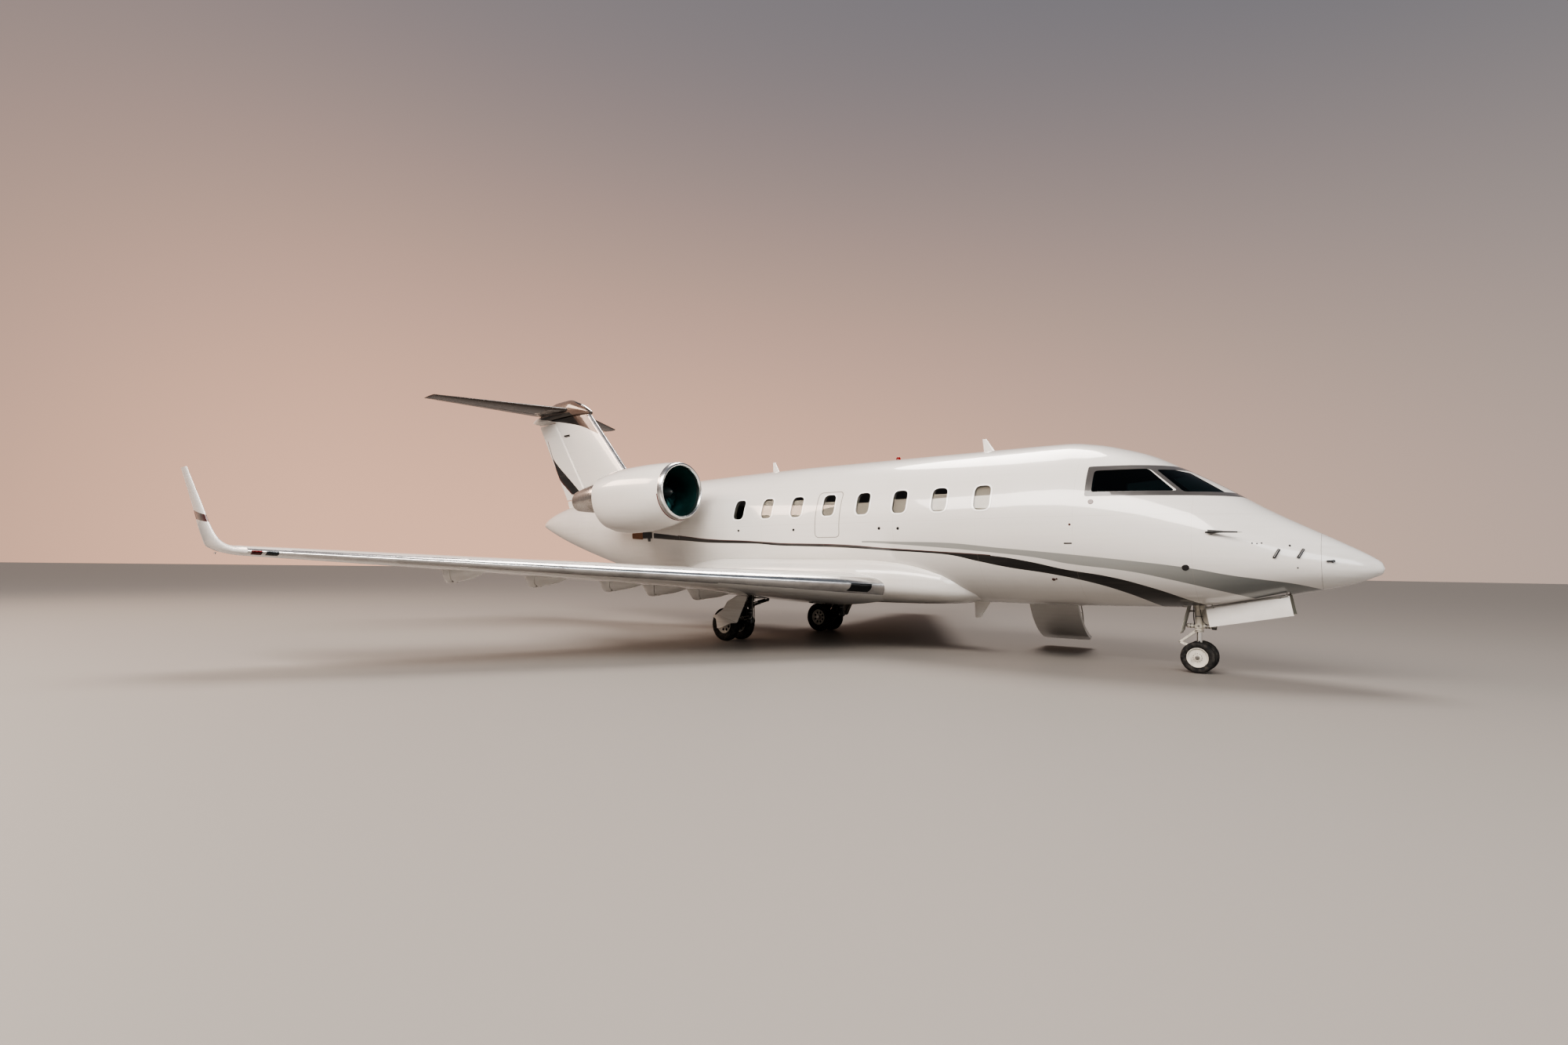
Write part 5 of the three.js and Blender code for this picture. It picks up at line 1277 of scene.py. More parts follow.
def swung(mesh, joint, degrees):
    """Turns a mesh about a joint's axis, from the place it was shaped in to its place at rest."""
    pivot = Vector(joint_of[joint]["pos_m"])
    turn = Matrix.Rotation(math.radians(degrees), 4, Vector(joint_of[joint]["axis"]))
    mesh.transform(Matrix.Translation(pivot) @ turn @ Matrix.Translation(-pivot))
    return mesh


def keep_place(mesh):
    """Stores where each point lies while the piece is shut, for paint that runs on across the joint."""
    store = mesh.attributes.new("closed_place", "FLOAT_VECTOR", "POINT")
    store.data.foreach_set("vector", [c for v in mesh.vertices for c in v.co])
    return mesh


def slab(x, y, z, mark=0):
    """Block between pairs of x, y and z with softened edges."""
    low, high = np.sort([x, y, z], axis=1).T
    centre, half = (low + high) / 2, (high - low) / 2
    soft = min(half) * 0.35
    rings = []
    for level, shrink in ((-1, soft), (-1, 0), (1, 0), (1, soft)):
        wide, deep = half[:2] - shrink
        rise = level * (half[2] if shrink else half[2] - soft)
        loop = [(wide - soft, deep), (wide, deep - soft), (wide, soft - deep), (wide - soft, -deep)]
        loop += [(-a, -b) for a, b in loop]
        rings.append(np.array([centre + (a, b, rise) for a, b in loop]))
    return capped(rings, mark)


def leaning(part, pivot, degrees):
    """A part turned about a fore-and-aft line."""
    points, faces, marks = part
    turn = Matrix.Rotation(math.radians(degrees), 4, "X")
    turn = Matrix.Translation(pivot) @ turn @ Matrix.Translation(-pivot)
    return [turn @ Vector(p) for p in points], faces, marks


def pipe(points, radius, mark=0):
    """Round tube along a smooth curve through points."""
    path = np.array(points, float)
    if len(path) > 2:
        length = np.concatenate([[0], np.cumsum(np.linalg.norm(np.diff(path, axis=0), axis=1))])
        course = eased(np.column_stack([length, path]))
        path = course(np.linspace(0, length[-1], 8 * (len(path) - 1) + 1))
    rings, side = [], Vector(path[1] - path[0]).normalized().orthogonal()
    for k, place in enumerate(path):
        ahead = Vector(path[min(k + 1, len(path) - 1)] - path[max(k - 1, 0)]).normalized()
        side = (side - ahead * side.dot(ahead)).normalized()
        other = ahead.cross(side)
        spokes = [side * math.cos(a) + other * math.sin(a) for a in turns(10)]
        rings.append(np.array([Vector(place) + spoke * radius for spoke in spokes]))
    return capped(rings, mark)


# The treads are of moulded rubber with close ribs across the step.
grip, tree, spot = finish("tread_grip", 0.75)
rib = edge(tree, calc(tree, "PINGPONG", node(tree, "SeparateXYZ", {0: spot})[1], 0.005), 0.001, 0.004)
dirt = edge(tree, noise(tree, spot, 12.0, 5.0), 0.4, 0.8)
dressed(grip, blended(tree, dirt, (0.035, 0.035, 0.037), (0.12, 0.11, 0.10)), None, rib, 0.8)

stair_paint = gloss_paint("stair_paint", WHITE, place="closed_place", coats=STRIPES, film=0.12)
stair_finishes = [stair_paint, lining, reveal_paint, grip, gear_steel]
door = mesh_of([hull_shell(DOOR["fore"] - 0.4, DOOR["aft"] + 0.4, 0, AIRSTAIR["wall"])], stair_finishes)
door = shared(door, [through(door_outline(AIRSTAIR["gap"]), 1, 2, 0.3)])
door = keep_place(smooth_hull(door, {0: 1, 1: -1}))
swung(door, "airstair_hinge", -DOOR["open"])
fit("airstair_panel", door, "airstair", "airstair_body", angle=0)

x, hinge_y, hinge_z = joint_of["airstair_hinge"]["pos_m"]
fore_x, aft_x = at(DOOR["fore"]), at(DOOR["aft"])
stair = [bar((fore_x - 0.075, hinge_y, hinge_z), (aft_x + 0.075, hinge_y, hinge_z), 0.013, mark=4)]
for x in (fore_x - 0.12, (fore_x + aft_x) / 2, aft_x + 0.12):
    rise = (hinge_z + 0.008, hinge_z + 0.045)
    stair.append(slab((x - 0.02, x + 0.02), (hinge_y - 0.04, hinge_y + 0.004), rise, 4))
low, high, reach = aft_x + AIRSTAIR["edge"], fore_x - AIRSTAIR["edge"], AIRSTAIR["reach"]
tips = []
for z in np.linspace(DOOR["sill"] + AIRSTAIR["first"], DOOR["head"] - AIRSTAIR["first"], AIRSTAIR["steps"]):
    y = float(side_of_hull((DOOR["fore"] + DOOR["aft"]) / 2, z)[0]) - 0.058
    tread = [slab((low, high), (y - reach, y - 0.004), (z - 0.010, z + 0.010), 1),
             slab((low + 0.01, high - 0.01), (y - reach + 0.004, y - 0.02), (z - 0.014, z - 0.0095), 3),
             bar((low, y - reach, z), (high, y - reach, z), 0.011, mark=4)]
    stair += [leaning(part, Vector((0, y, z)), AIRSTAIR["lean"]) for part in tread]
    tips.append((y - 0.035, z))
for x in (aft_x + 0.112, fore_x - 0.112):
    tip = [np.array((x, y, z)) for y, z in tips]
    foot = np.array((x, tips[0][0] - 0.01, DOOR["sill"] + 0.03))
    corners = np.array([(-0.012, -0.03, 0), (0.012, -0.03, 0), (0.012, 0.03, 0), (-0.012, 0.03, 0)])
    stair.append(capped([place + corners for place in [foot] + tip], 1))
    rail = [tip[1] + (0, -0.01, 0), tip[1] + (0, -0.30, 0.20), tip[3] + (0, -0.36, 0.12),
            tip[4] + (0, -0.20, 0.14), tip[4] + (0, 0.01, 0)]
    stair += [pipe(rail, 0.011, 4), pipe([rail[1], tip[2]], 0.008, 4), pipe([rail[2], tip[3]], 0.008, 4)]
steps = swung(mesh_of(stair, stair_finishes), "airstair_hinge", -DOOR["open"])
fit("airstair_steps", steps, body="airstair_body")

# Door frame
# The cabin's doorway has two hinge knuckles of plated steel on its sill, each with a small foot, and a
# rubber seal that runs round the edge inside the skin.

sill = []
for fore in (DOOR["fore"] + 0.03, DOOR["aft"] - 0.06):
    ends = (at(fore), at(fore + 0.03))
    sill.append(bar(*((x, hinge_y, hinge_z) for x in ends), 0.013, mark=1))
    sill.append(slab(ends, (hinge_y - 0.06, hinge_y - 0.016), (hinge_z - 0.014, hinge_z - 0.010), 1))
fit("door_hinge_knuckles", mesh_of(sill, [seal_rubber, gear_steel]))
room, holes = [through(door_outline(-0.006), 1, 0, 0.3)], [through(door_outline(0.005), 1, 0, 0.2, 1.7)]
fit("door_seal", skin_sheet((4.2, 5.35), (0.028, 0.055), 0.05, seal_rubber, room, holes))

# Cabin and cockpit inside
# Carpeted floor and cloth-lined bulkheads, and behind the glass a moulded glareshield with screens, two
# yokes and levers, and two crew seats with leather pads on moulded frames.


def refinish(solid_name, material):
    """Gives a carried-over solid a finish of its own."""
    for place in frame["nodes"][solid_name].material_slots:
        place.material = material


# Short loop carpet lies on level faces, and a woven panel cloth on upright ones.
fabric, tree, spot = finish("carpet_and_lining", 0.92)
level = edge(tree, node(tree, "SeparateXYZ", {0: node(tree, "NewGeometry")["Normal"]})[2], 0.4, 0.6)
loops = node(tree, "TexVoronoi", {"Vector": spot, "Scale": 260.0})["Distance"]
cloud = noise(tree, spot, 5.0, 5.0)
carpet = blended(tree, cloud, (0.20, 0.165, 0.13), (0.27, 0.225, 0.18))
cloth = blended(tree, cloud, (0.50, 0.44, 0.36), (0.58, 0.52, 0.43))
refinish("floor_and_bulkheads", dressed(fabric, blended(tree, level, cloth, carpet), None, loops))

# The screens are switched off.
display, tree, spot = finish("display_glass", 0.12, {"Coat Weight": 1.0})
dressed(display, blended(tree, noise(tree, spot, 9.0), (0.008, 0.011, 0.014), (0.016, 0.02, 0.024)))
moulding = gloss_paint("dark_moulding", (0.028, 0.029, 0.031), rough=0.7, film=0.08)
refinish("instrument_panel", moulding)
SHIELD = [(1.93, 2.43, 0), (1.98, 2.475, 1), (2.14, 2.487, 1), (2.23, 2.470, 1), (2.235, 2.452, 1),
          (2.15, 2.468, 1), (2.145, 2.455, 0)]
YOKE_POST = [(2.20, 1.60), (2.30, 1.78), (2.36, 2.06), (2.34, 2.12)]
rings = []
for y in np.linspace(-0.70, 0.70, 25):
    hood = 0.035 * math.cos(y * 2.1)
    rings.append(np.array([(at(station), y, z + hood * raised) for station, z, raised in SHIELD]))
cockpit = [capped(rings)]
for y in (-0.56, -0.34, -0.115, 0.115, 0.34, 0.56):
    cockpit.append(slab((at(2.150), at(2.142)), (y - 0.098, y + 0.098), (2.22, 2.42)))
    cockpit.append(slab((at(2.154), at(2.1495)), (y - 0.084, y + 0.084), (2.235, 2.405), 1))
for y in (-0.50, 0.50):
    cockpit.append(pipe([(at(station), y, z) for station, z in YOKE_POST], 0.018))
    wheel = [(at(2.335) + 0.01 * abs(a), y + 0.15 * math.sin(a), 2.13 + 0.10 * math.cos(a) ** 3)
             for a in np.linspace(-2.0, 2.0, 9)]
    cockpit.append(pipe(wheel, 0.013))
for y in np.linspace(-0.10, 0.10, 5):
    cockpit.append(bar((at(2.45), y, 1.95), (at(2.43), y, 2.09), 0.006, mark=2))
    cockpit.append(slab((at(2.455), at(2.405)), (y - 0.016, y + 0.016), (2.085, 2.11)))
fit("glareshield_and_screens", mesh_of(cockpit, [moulding, display, gear_steel]))

# The seats' soft grained hide is darker where it creases.
leather, tree, spot = finish("seat_leather", 0.5)
grain = node(tree, "TexVoronoi", {"Vector": spot, "Scale": 320.0})["Distance"]
crease = noise(tree, spot, 14.0, 5.0)
hide = (0.50, 0.43, 0.34)
shade = blended(tree, edge(tree, crease, 0.3, 0.75), times(hide, 0.7), hide)
dressed(leather, shade, None, calc(tree, "MULTIPLY_ADD", crease, 1.6, grain), 0.35)


def cushion(size, place, lean, channels):
    """Crowned closed pad with sides that pull in between its corners and sewn channels across it."""
    wide, deep, thick = size
    work, last, sheet = bmesh.new(), 24, {}
    seams_at = np.linspace(-1, 1, channels + 2)[1:-1]
    for face in (1, -1):
        for i, j in np.ndindex(last + 1, last + 1):
            u, v = 2 * i / last - 1, 2 * j / last - 1
            crown = (1 - u**4) ** 0.5 * (1 - v**4) ** 0.5
            seam = sum(math.exp(-((v - c) / 0.05) ** 2) for c in seams_at)
            rise = face * thick / 2 * crown * (1 - (0.22 * seam if face > 0 else 0))
            spot = (u * (0.95 + 0.05 * v * v) * wide / 2, v * (0.95 + 0.05 * u * u) * deep / 2, rise)
            key = (i, j, 0 if {i, j} & {0, last} else face)
            if key not in sheet:
                sheet[key] = work.verts.new(spot)
    for face in (1, -1):
        for i, j in np.ndindex(last, last):
            corners = [(i, j), (i + 1, j), (i + 1, j + 1), (i, j + 1)][::face]
            work.faces.new([sheet.get((*c, 0)) or sheet[(*c, face)] for c in corners])
    mesh = bpy.data.meshes.new("mesh")
    work.to_mesh(mesh)
    work.free()
    tilt = Matrix.Rotation(math.radians(lean), 4, "Y") @ Matrix.Rotation(math.radians(90), 4, "Z")
    mesh.transform(Matrix.Translation(place) @ tilt)
    mesh.materials.append(leather)
    return mesh


BACK = [(3.29, 1.97), (3.335, 2.02), (3.435, 2.56), (3.445, 2.78), (3.425, 2.78), (3.41, 2.56), (3.30, 2.05)]
PADS = [
    # name, size, station, height, lean, channels
    ("base", (0.44, 0.40, 0.10), 3.07, 2.03, 3, 3), ("back", (0.44, 0.52, 0.09), 3.315, 2.33, -80, 3),
    ("head", (0.28, 0.17, 0.09), 3.385, 2.70, -86, 1),
]
SEAT_Y = 0.53
seats = []
for y in (-SEAT_Y, SEAT_Y):
    seats += [slab((at(3.31), at(2.88)), (y - 0.20, y + 0.20), (1.955, 1.985)),
              slab((at(3.26), at(2.96)), (y - 0.13, y + 0.13), (1.60, 1.955)),
              slab((at(3.30), at(2.90)), (y - 0.17, y + 0.17), (1.5603, 1.60), 1),
              side_prism(BACK, y - 0.205, y + 0.205)]
    for side in (-1, 1):
        arm = [(3.30, 0.225, 2.15), (3.22, 0.228, 2.21), (2.98, 0.228, 2.21)]
        seats.append(pipe([(at(station), y + side * off, z) for station, off, z in arm], 0.022))
fit("crew_seat_frames", mesh_of(seats, [moulding, gear_steel]), "crew_seats")
for side, y in (("right", -SEAT_Y), ("left", SEAT_Y)):
    for part, size, station, height, lean, channels in PADS:
        shape = cushion(size, (at(station), y, height), lean, channels)
        fit(f"crew_{part}_pad_{side}", shape, angle=80)

# Landing gear
# Oleo legs of plated and painted steel: outer cylinder, bright piston, torque links, braces, hoses and
# clamps. The wheels are forged halves bolted together, the tyres tubeless with grooved tread.

NOSE_WHEEL = {"radius": 0.2285, "width": 0.112, "rim": 0.146, "spacing": 0.34, "axle": 0.024, "station": 2.16,
              "holes": 0, "cap": 0.030}
MAIN_WHEEL = {"radius": 0.325, "width": 0.172, "rim": 0.178, "spacing": 0.44, "axle": 0.042, "station": 10.16,
              "holes": 8, "cap": 0.052}
HALF_TRACK, TYRE_SIDES = 1.59, 34
FLANK = [(0.72, 0.0), (0.90, 0.18), (1.0, 0.42), (0.97, 0.66), (0.84, 0.87), (0.62, 0.975), (0.30, 1.0)]


def leg_paint(name, colour, rough=0.42):
    """Enamel over forged steel with oily dark streaks and a fine grain in its relief."""
    material, tree, spot = finish(name, rough, {"Coat Weight": 0.4, "Coat Roughness": 0.2})
    oil = noise(tree, spot, 16.0, 6.0, 0.6, (1.0, 1.0, 0.25))
    shade = blended(tree, edge(tree, oil, 0.5, 0.78), colour, times(colour, 0.5))
    gloss = calc(tree, "MULTIPLY_ADD", oil, 0.3, rough - 0.12)
    return dressed(material, shade, gloss, noise(tree, spot, 140.0, 3.0), 0.25, 0.0015)


def wheel_turned(profile, centre, sides, mark=0):
    """Body of revolution about a level crosswise line from rows of distance outboard and radius."""
    turn = turns(sides)
    x, y, z = centre
    rings = [np.stack([x + r * np.sin(turn), np.full(sides, y + out), z - r * np.cos(turn)], 1)
             for out, r in profile]
    return loft(rings, mark, closed=True)


def crossbars(centre, reach, count, near, far, radius, sides, mark=0, phase=0.0):
    """Level crosswise bars in a circle round an axle."""
    bars = []
    for a in turns(count, phase):
        x, z = centre[0] + reach * math.sin(a), centre[2] - reach * math.cos(a)
        bars.append(bar((x, centre[1] + near, z), (x, centre[1] + far, z), radius, sides, mark=mark))
    return bars


def tyre_mesh(wheel, centre):
    half, rim, rise = wheel["width"] / 2, wheel["rim"], wheel["radius"] - wheel["rim"]
    profile = [(half * a, rim + rise * b) for a, b in FLANK]
    profile += [(-y, r) for y, r in reversed(profile)]
    mesh = mesh_of([wheel_turned(profile, centre, TYRE_SIDES)], [rubber])
    across = mesh.attributes.new("across", "FLOAT", "POINT")
    across.data.foreach_set("value", [(v.co.y - centre[1]) / half for v in mesh.vertices])
    return mesh


def rim_mesh(wheel, centre, out):
    """Wheel halves with a drop flange, a dished face, round holes and a hub cap on the outboard side."""
    half, rim, bore, cap = wheel["width"] / 2, wheel["rim"] - 0.0005, wheel["axle"] + 0.002, wheel["cap"]
    face = [(0.60, bore), (0.60, bore + 0.020), (0.46, bore + 0.028), (0.38, rim * 0.60), (0.45, rim * 0.80),
            (0.66, rim * 0.88), (0.80, rim * 0.93), (0.80, rim * 0.985), (0.70, rim)]
    profile = [(half * a, r) for a, r in face] + [(-half * a, r) for a, r in reversed(face)]
    disc = mesh_of([wheel_turned(profile, centre, 72)], wheel_finishes)
    if wheel["holes"]:
        drills = crossbars(centre, rim * 0.62, wheel["holes"], -0.09, 0.09, rim * 0.145, 20, 2, 0.5)
        disc = carve(disc, drills)
    base = out * half * 0.43
    fittings = crossbars(centre, rim * 0.42, 12, base, base + out * 0.012, 0.0055, 6, 1)
    dome = [(0.60, 0.001), (0.98, 0.001), (0.98, cap * 0.55), (0.94, cap * 0.85), (0.80, cap), (0.60, cap)]
    fittings.append(wheel_turned([(half * a * out, r) for a, r in dome], centre, 36, 1))
    return merged([disc, mesh_of(fittings, wheel_finishes)])


# Black rubber with four grooves round the tread and a grey film of dust.
rubber, tree, spot = finish("tyre_rubber", 0.82)
across = node(tree, "Attribute", attribute_name="across")["Fac"]
groove = edge(tree, calc(tree, "PINGPONG", calc(tree, "ADD", across, 0.115), 0.115), 0.018, 0.032)
tread = calc(tree, "LESS_THAN", calc(tree, "ABSOLUTE", across), 0.58)
cut = calc(tree, "MULTIPLY", calc(tree, "SUBTRACT", 1.0, groove), tread)
dust = noise(tree, spot, 18.0, 6.0)
shade = blended(tree, edge(tree, dust, 0.35, 0.8), (0.012, 0.012, 0.013), (0.075, 0.068, 0.060))
rise = calc(tree, "MULTIPLY_ADD", dust, 0.15, calc(tree, "SUBTRACT", 1.0, cut))
dressed(rubber, blended(tree, cut, shade, (0.004, 0.004, 0.004)), None, rise, 0.9, 0.006)

wheel_finishes = [leg_paint("wheel_paint", (0.62, 0.59, 0.53)), gear_steel, moulding]
for name, middle, wheel, body in (("nose", 0.0, NOSE_WHEEL, "nose_wheels"),
                                  ("main_left", HALF_TRACK, MAIN_WHEEL, "main_wheels_left"),
                                  ("main_right", -HALF_TRACK, MAIN_WHEEL, "main_wheels_right")):
    outward = -1 if middle < 0 else 1
    for side, end in ((outward, "outer"), (-outward, "inner")):
        centre = (at(wheel["station"]), middle + side * wheel["spacing"] / 2, wheel["radius"])
        tyre = f"{name}_tyre_{end}"
        fit(tyre + "_rubber", tyre_mesh(wheel, centre), tyre, body, 60)
        rim = f"{name}_rim_{end}" if name != "nose" else {"outer": "nose_rims"}.get(end)
        fit(f"{name}_wheel_{end}", rim_mesh(wheel, centre, side), rim, body)

# Nose bay and doors
# A ribbed sheet box under the cockpit floor. Its two forward doors are skin panels with a pressed inner
# pan, each hung on a tube along the bay's edge between two knuckles.

LINER = 0.006
NOSE_DOOR = {"fore": 1.031, "aft": 2.044, "inner": 0.006, "outer": 0.284, "skin": 0.009, "drop": 0.042}
DOOR_SHUT, DOOR_SHELL = 88, (0.93, 2.15)
bay_paint = gloss_paint("bay_paint", (0.36, 0.37, 0.32), rough=0.55, film=0.45)


def bay_box(inset):
    corners = block(bay["fore"] + inset, bay["aft"] - inset, bay["under"], bay["roof"] - inset)
    return side_prism(corners, inset - bay["half"], bay["half"] - inset)


def door_room(grow):
    corners = block(NOSE_DOOR["fore"] + grow, NOSE_DOOR["aft"] - grow, 0.5, 1.5)
    return [side_prism(corners, NOSE_DOOR["inner"] + grow, NOSE_DOOR["outer"] - grow, 2)]


keel_room = [capped([hull_ring(s, 0.034) for s in np.linspace(0.95, 2.40, 30)])]
liner = carve(mesh_of([bay_box(0.0005)], [bay_paint]), [bay_box(LINER)])
under_roof = bay["roof"] - LINER
ribs = []
for station in np.linspace(bay["fore"] + 0.16, bay["aft"] - 0.10, 6):
    ends = (at(station) - 0.012, at(station) + 0.012)
    ribs.append(slab(ends, (-0.284, 0.284), (bay["roof"] - 0.030, under_roof)))
    ribs += [slab(ends, (side * 0.262, side * 0.284), (1.03, under_roof)) for side in (1, -1)]
liner = merged([shared(mesh, keel_room) for mesh in (liner, mesh_of(ribs, [bay_paint]))])
fit("nose_bay_liner", liner)

line = []
for station in (2.045, 1.030):
    crown, keel, half, waist = hull(station)[0]
    y = NOSE_DOOR["outer"] + 0.008
    z = waist - (waist - keel) * math.sqrt(1 - (y / half) ** 2) - NOSE_DOOR["drop"]
    line.append(Vector((at(station), y, z)))
way = (line[1] - line[0]).normalized()
first, last = line[0] + way * 0.030, line[1] - way * 0.030
knuckles = []
for end, out in ((first, -way), (last, way)):
    middle = end + out * 0.01175
    lug = middle + Vector((0, 0.012, 0.062))
    knuckles += [bar(end + out * 0.0015, end + out * 0.022, 0.012), bar(middle, lug, 0.007),
                 bar(middle + Vector((0, 0.010, 0.050)), lug, 0.014)]
pair("bay_knuckles", mesh_of(knuckles, [gear_steel]))

nose_door_paint = gloss_paint("nose_door_paint", (0.72, 0.70, 0.67), place="closed_place", film=0.18)
door_finishes = [nose_door_paint, bay_paint, reveal_paint, gear_steel]
panel = mesh_of([hull_shell(*DOOR_SHELL, 0, NOSE_DOOR["skin"], 0.04)], door_finishes)
pan = mesh_of([hull_shell(*DOOR_SHELL, 0.0095, 0.020, 0.04, (1, 1, 1, 1))], door_finishes)
dishes = [side_prism(rounded(block(fore, aft, 0.55, 1.45), 0.03), 0.052, 0.238, 1)
          for fore, aft in ((1.085, 1.37), (1.40, 1.69), (1.72, 1.985))]
hangers = [bar(first, last, 0.009, mark=3)]
for t in (0.08, 0.5, 0.92):
    root = first.lerp(last, t)
    hangers.append(bar(root, root + Vector((0, -0.024, 0.034)), 0.008, mark=3))
    hangers.append(bar(root - way * 0.014, root + way * 0.014, 0.0115, mark=3))
door = merged([shared(panel, door_room(0.003)), carve(shared(pan, door_room(0.018)), dishes),
               mesh_of(hangers, door_finishes)])
keep_place(door)
for side, shape, turn in (("left", door, DOOR_SHUT), ("right", mirrored(door), -DOOR_SHUT)):
    name = "nose_door_panel_" + side
    swung(shape, "nose_door_hinge_" + side, turn)
    fit(name, shape, "nose_door_" + side, "nose_door_body_" + side)

# Nose leg
# A machined outer cylinder on a cross tube, painted beige-white, with a drag strut, a bracing web, hoses,
# the lamp tube that runs fore and aft through it and the leaning plate that closes the bay's rear.

pale_gear = leg_paint("pale_gear_paint", (0.74, 0.70, 0.62), 0.38)
dark_gear = leg_paint("dark_gear_paint", (0.040, 0.046, 0.046), 0.40)
hose = gloss_paint("hose_rubber", (0.022, 0.025, 0.025), rough=0.6, film=0.25)
chrome = bare_metal("chrome_plate", (0.80, 0.80, 0.79), 0.08, strength=0.02)
lamp_glass = tinted_glass("lamp_glass", (0.85, 0.86, 0.85), 0.03)
nose_finishes = [pale_gear, gear_steel, hose, chrome, lamp_glass, dark_gear, bay_paint]

POST = [(0.6402, 0.050), (0.646, 0.056), (0.700, 0.056), (0.706, 0.048), (0.735, 0.048), (0.740, 0.052),
        (0.90, 0.050), (0.905, 0.056), (0.935, 0.056), (0.940, 0.050), (1.125, 0.050), (1.135, 0.056),
        (1.225, 0.056), (1.235, 0.047), (1.41, 0.047), (1.415, 0.056), (1.4390, 0.056)]
HOUSING = [(0.010, 0.93, 0.060, 0.060), (0.016, 1.02, 0.075, 0.092), (0.016, 1.14, 0.082, 0.100),
           (0.010, 1.25, 0.074, 0.080), (0, 1.32, 0.056, 0.056)]
DRAG = [(0.020, 1.010, 0.024), (0.065, 1.047, 0.024), (0.10, 1.076, 0.017), (0.25, 1.20, 0.019),
        (0.40, 1.324, 0.017), (0.44, 1.357, 0.024), (0.48, 1.39, 0.024)]
WEB = [(2.130, 0.725), (1.950, 0.705), (1.945, 0.800), (2.055, 0.900), (2.058, 0.985), (2.130, 0.985)]
TUBE_CAP = [(0.170, 0.012), (0.166, 0.022), (0.156, 0.030), (0.150, 0.030)]
LAMP_SHELL = [(-0.160, 0.028), (-0.168, 0.044), (-0.205, 0.046), (-0.221, 0.046), (-0.224, 0.042),
              (-0.214, 0.040), (-0.180, 0.018), (-0.178, 0.002)]
LAMP_LENS = [(-0.2145, 0.040), (-0.219, 0.030), (-0.2215, 0.016), (-0.222, 0.002), (-0.2145, 0.002)]
PLATE_SLOPE, LAMP_Z, CROSS_Z = 0.14 / 0.54, 0.68, 1.18


def forged(stops, mark=0):
    """Forged arm along stops of centre, half width across and half depth, with chamfered edges."""
    rings = []
    for k, (centre, wide, deep) in enumerate(stops):
        ahead = Vector(stops[min(k + 1, len(stops) - 1)][0]) - Vector(stops[max(k - 1, 0)][0])
        across = Vector((0, 1, 0)) if abs(ahead.normalized().y) < 0.7 else Vector((1, 0, 0))
        rise = ahead.cross(across).normalized()
        across = rise.cross(ahead).normalized()
        cut = min(wide, deep) * 0.4
        corners = [(wide, deep - cut), (wide - cut, deep), (cut - wide, deep), (-wide, deep - cut)]
        corners += [(-a, -b) for a, b in corners]
        rings.append(np.array([Vector(centre) + across * a + rise * b for a, b in corners]))
    return capped(rings, mark)


def pin(x, z, half, radius, sides=16, mark=1, y=0.0):
    """Level crosswise bar about a middle."""
    return bar((x, y - half, z), (x, y + half, z), radius, sides, mark=mark)


def lamp_bar(start, end, radius, mark=0):
    """Round bar on the lamp tube's line, between distances forward of the leg."""
    return bar((leg_x + start, 0, LAMP_Z), (leg_x + end, 0, LAMP_Z), radius, 28, mark=mark)


def on_plate(outline, near, far, mark):
    """Panel parallel to the leaning plate over a (span, height) outline, between two depths behind it."""
    return capped([np.array([(at(2.241 + depth + (1.10 - z) * PLATE_SLOPE), y, z) for y, z in outline])
                   for depth in (near, far)], mark)


leg_x = at(NOSE_WHEEL["station"])
lamp_place = (leg_x, 0, LAMP_Z)
leg = [column(POST, leg_x, 0), pin(leg_x, CROSS_Z, 0.2885, 0.033, 32, 0)]
leg.append(forged([((leg_x + x, 0, z), wide, deep) for x, z, wide, deep in HOUSING]))
for side in (1, -1):
    leg.append(bar((leg_x, side * 0.268, CROSS_Z), (leg_x, side * 0.2885, CROSS_Z), 0.046, 32, mark=1))
    gusset = np.array([(leg_x, side * y, z) for y, z in ((0.045, 1.165), (0.215, 1.165), (0.047, 0.96))])
    leg.append(capped([gusset + (dx, 0, 0) for dx in (-0.007, 0.007)]))
    stops = ((0.255, 1.165, 0.020), (0.16, 1.04, 0.017), (0.062, 0.925, 0.021))
    leg.append(forged([((leg_x, side * y, z), r, r) for y, z, r in stops]))
    leg.append(slab((leg_x - 0.045, leg_x + 0.045), (side * 0.045, side * 0.060), (0.655, 0.712)))
    leg.append(bar((leg_x, side * 0.050, 0.684), (leg_x, side * 0.068, 0.684), 0.016, mark=1))
web = np.array(WEB)
web = web.mean(0) + (web - web.mean(0)) * 0.93
leg.append(side_prism(web, -0.006, 0.006))
for (s0, z0), (s1, z1) in zip(web, np.roll(web, -1, axis=0)):
    leg.append(bar((at(s0), 0, z0), (at(s1), 0, z1), 0.0125, 12))
leg.append(forged([((leg_x + x, 0, z), r, r) for x, z, r in DRAG]))
leg += [pin(leg_x + 0.03, 1.018, 0.036, 0.011), pin(leg_x + 0.455, 1.37, 0.036, 0.011)]
leg += [lamp_bar(-0.158, 0.16, 0.030), turned(TUBE_CAP, lamp_place, 28, mark=1)]
leg += [lamp_bar(start, start + 0.014, 0.0335, 1) for start in (-0.12, -0.075, 0.085, 0.125)]
leg += [turned(LAMP_SHELL, lamp_place, 36, mark=1), turned(LAMP_LENS, lamp_place, 36, mark=4)]
leg.append(bar((leg_x - 0.045, 0, 0.90), (leg_x - 0.136, 0, 0.90), 0.012, mark=1))
leg.append(slab((leg_x - 0.142, leg_x - 0.112), (-0.022, 0.022), (0.882, 0.918), 1))
plate = rounded(block(-0.118, 0.118, 0.563, 1.098), 0.035)
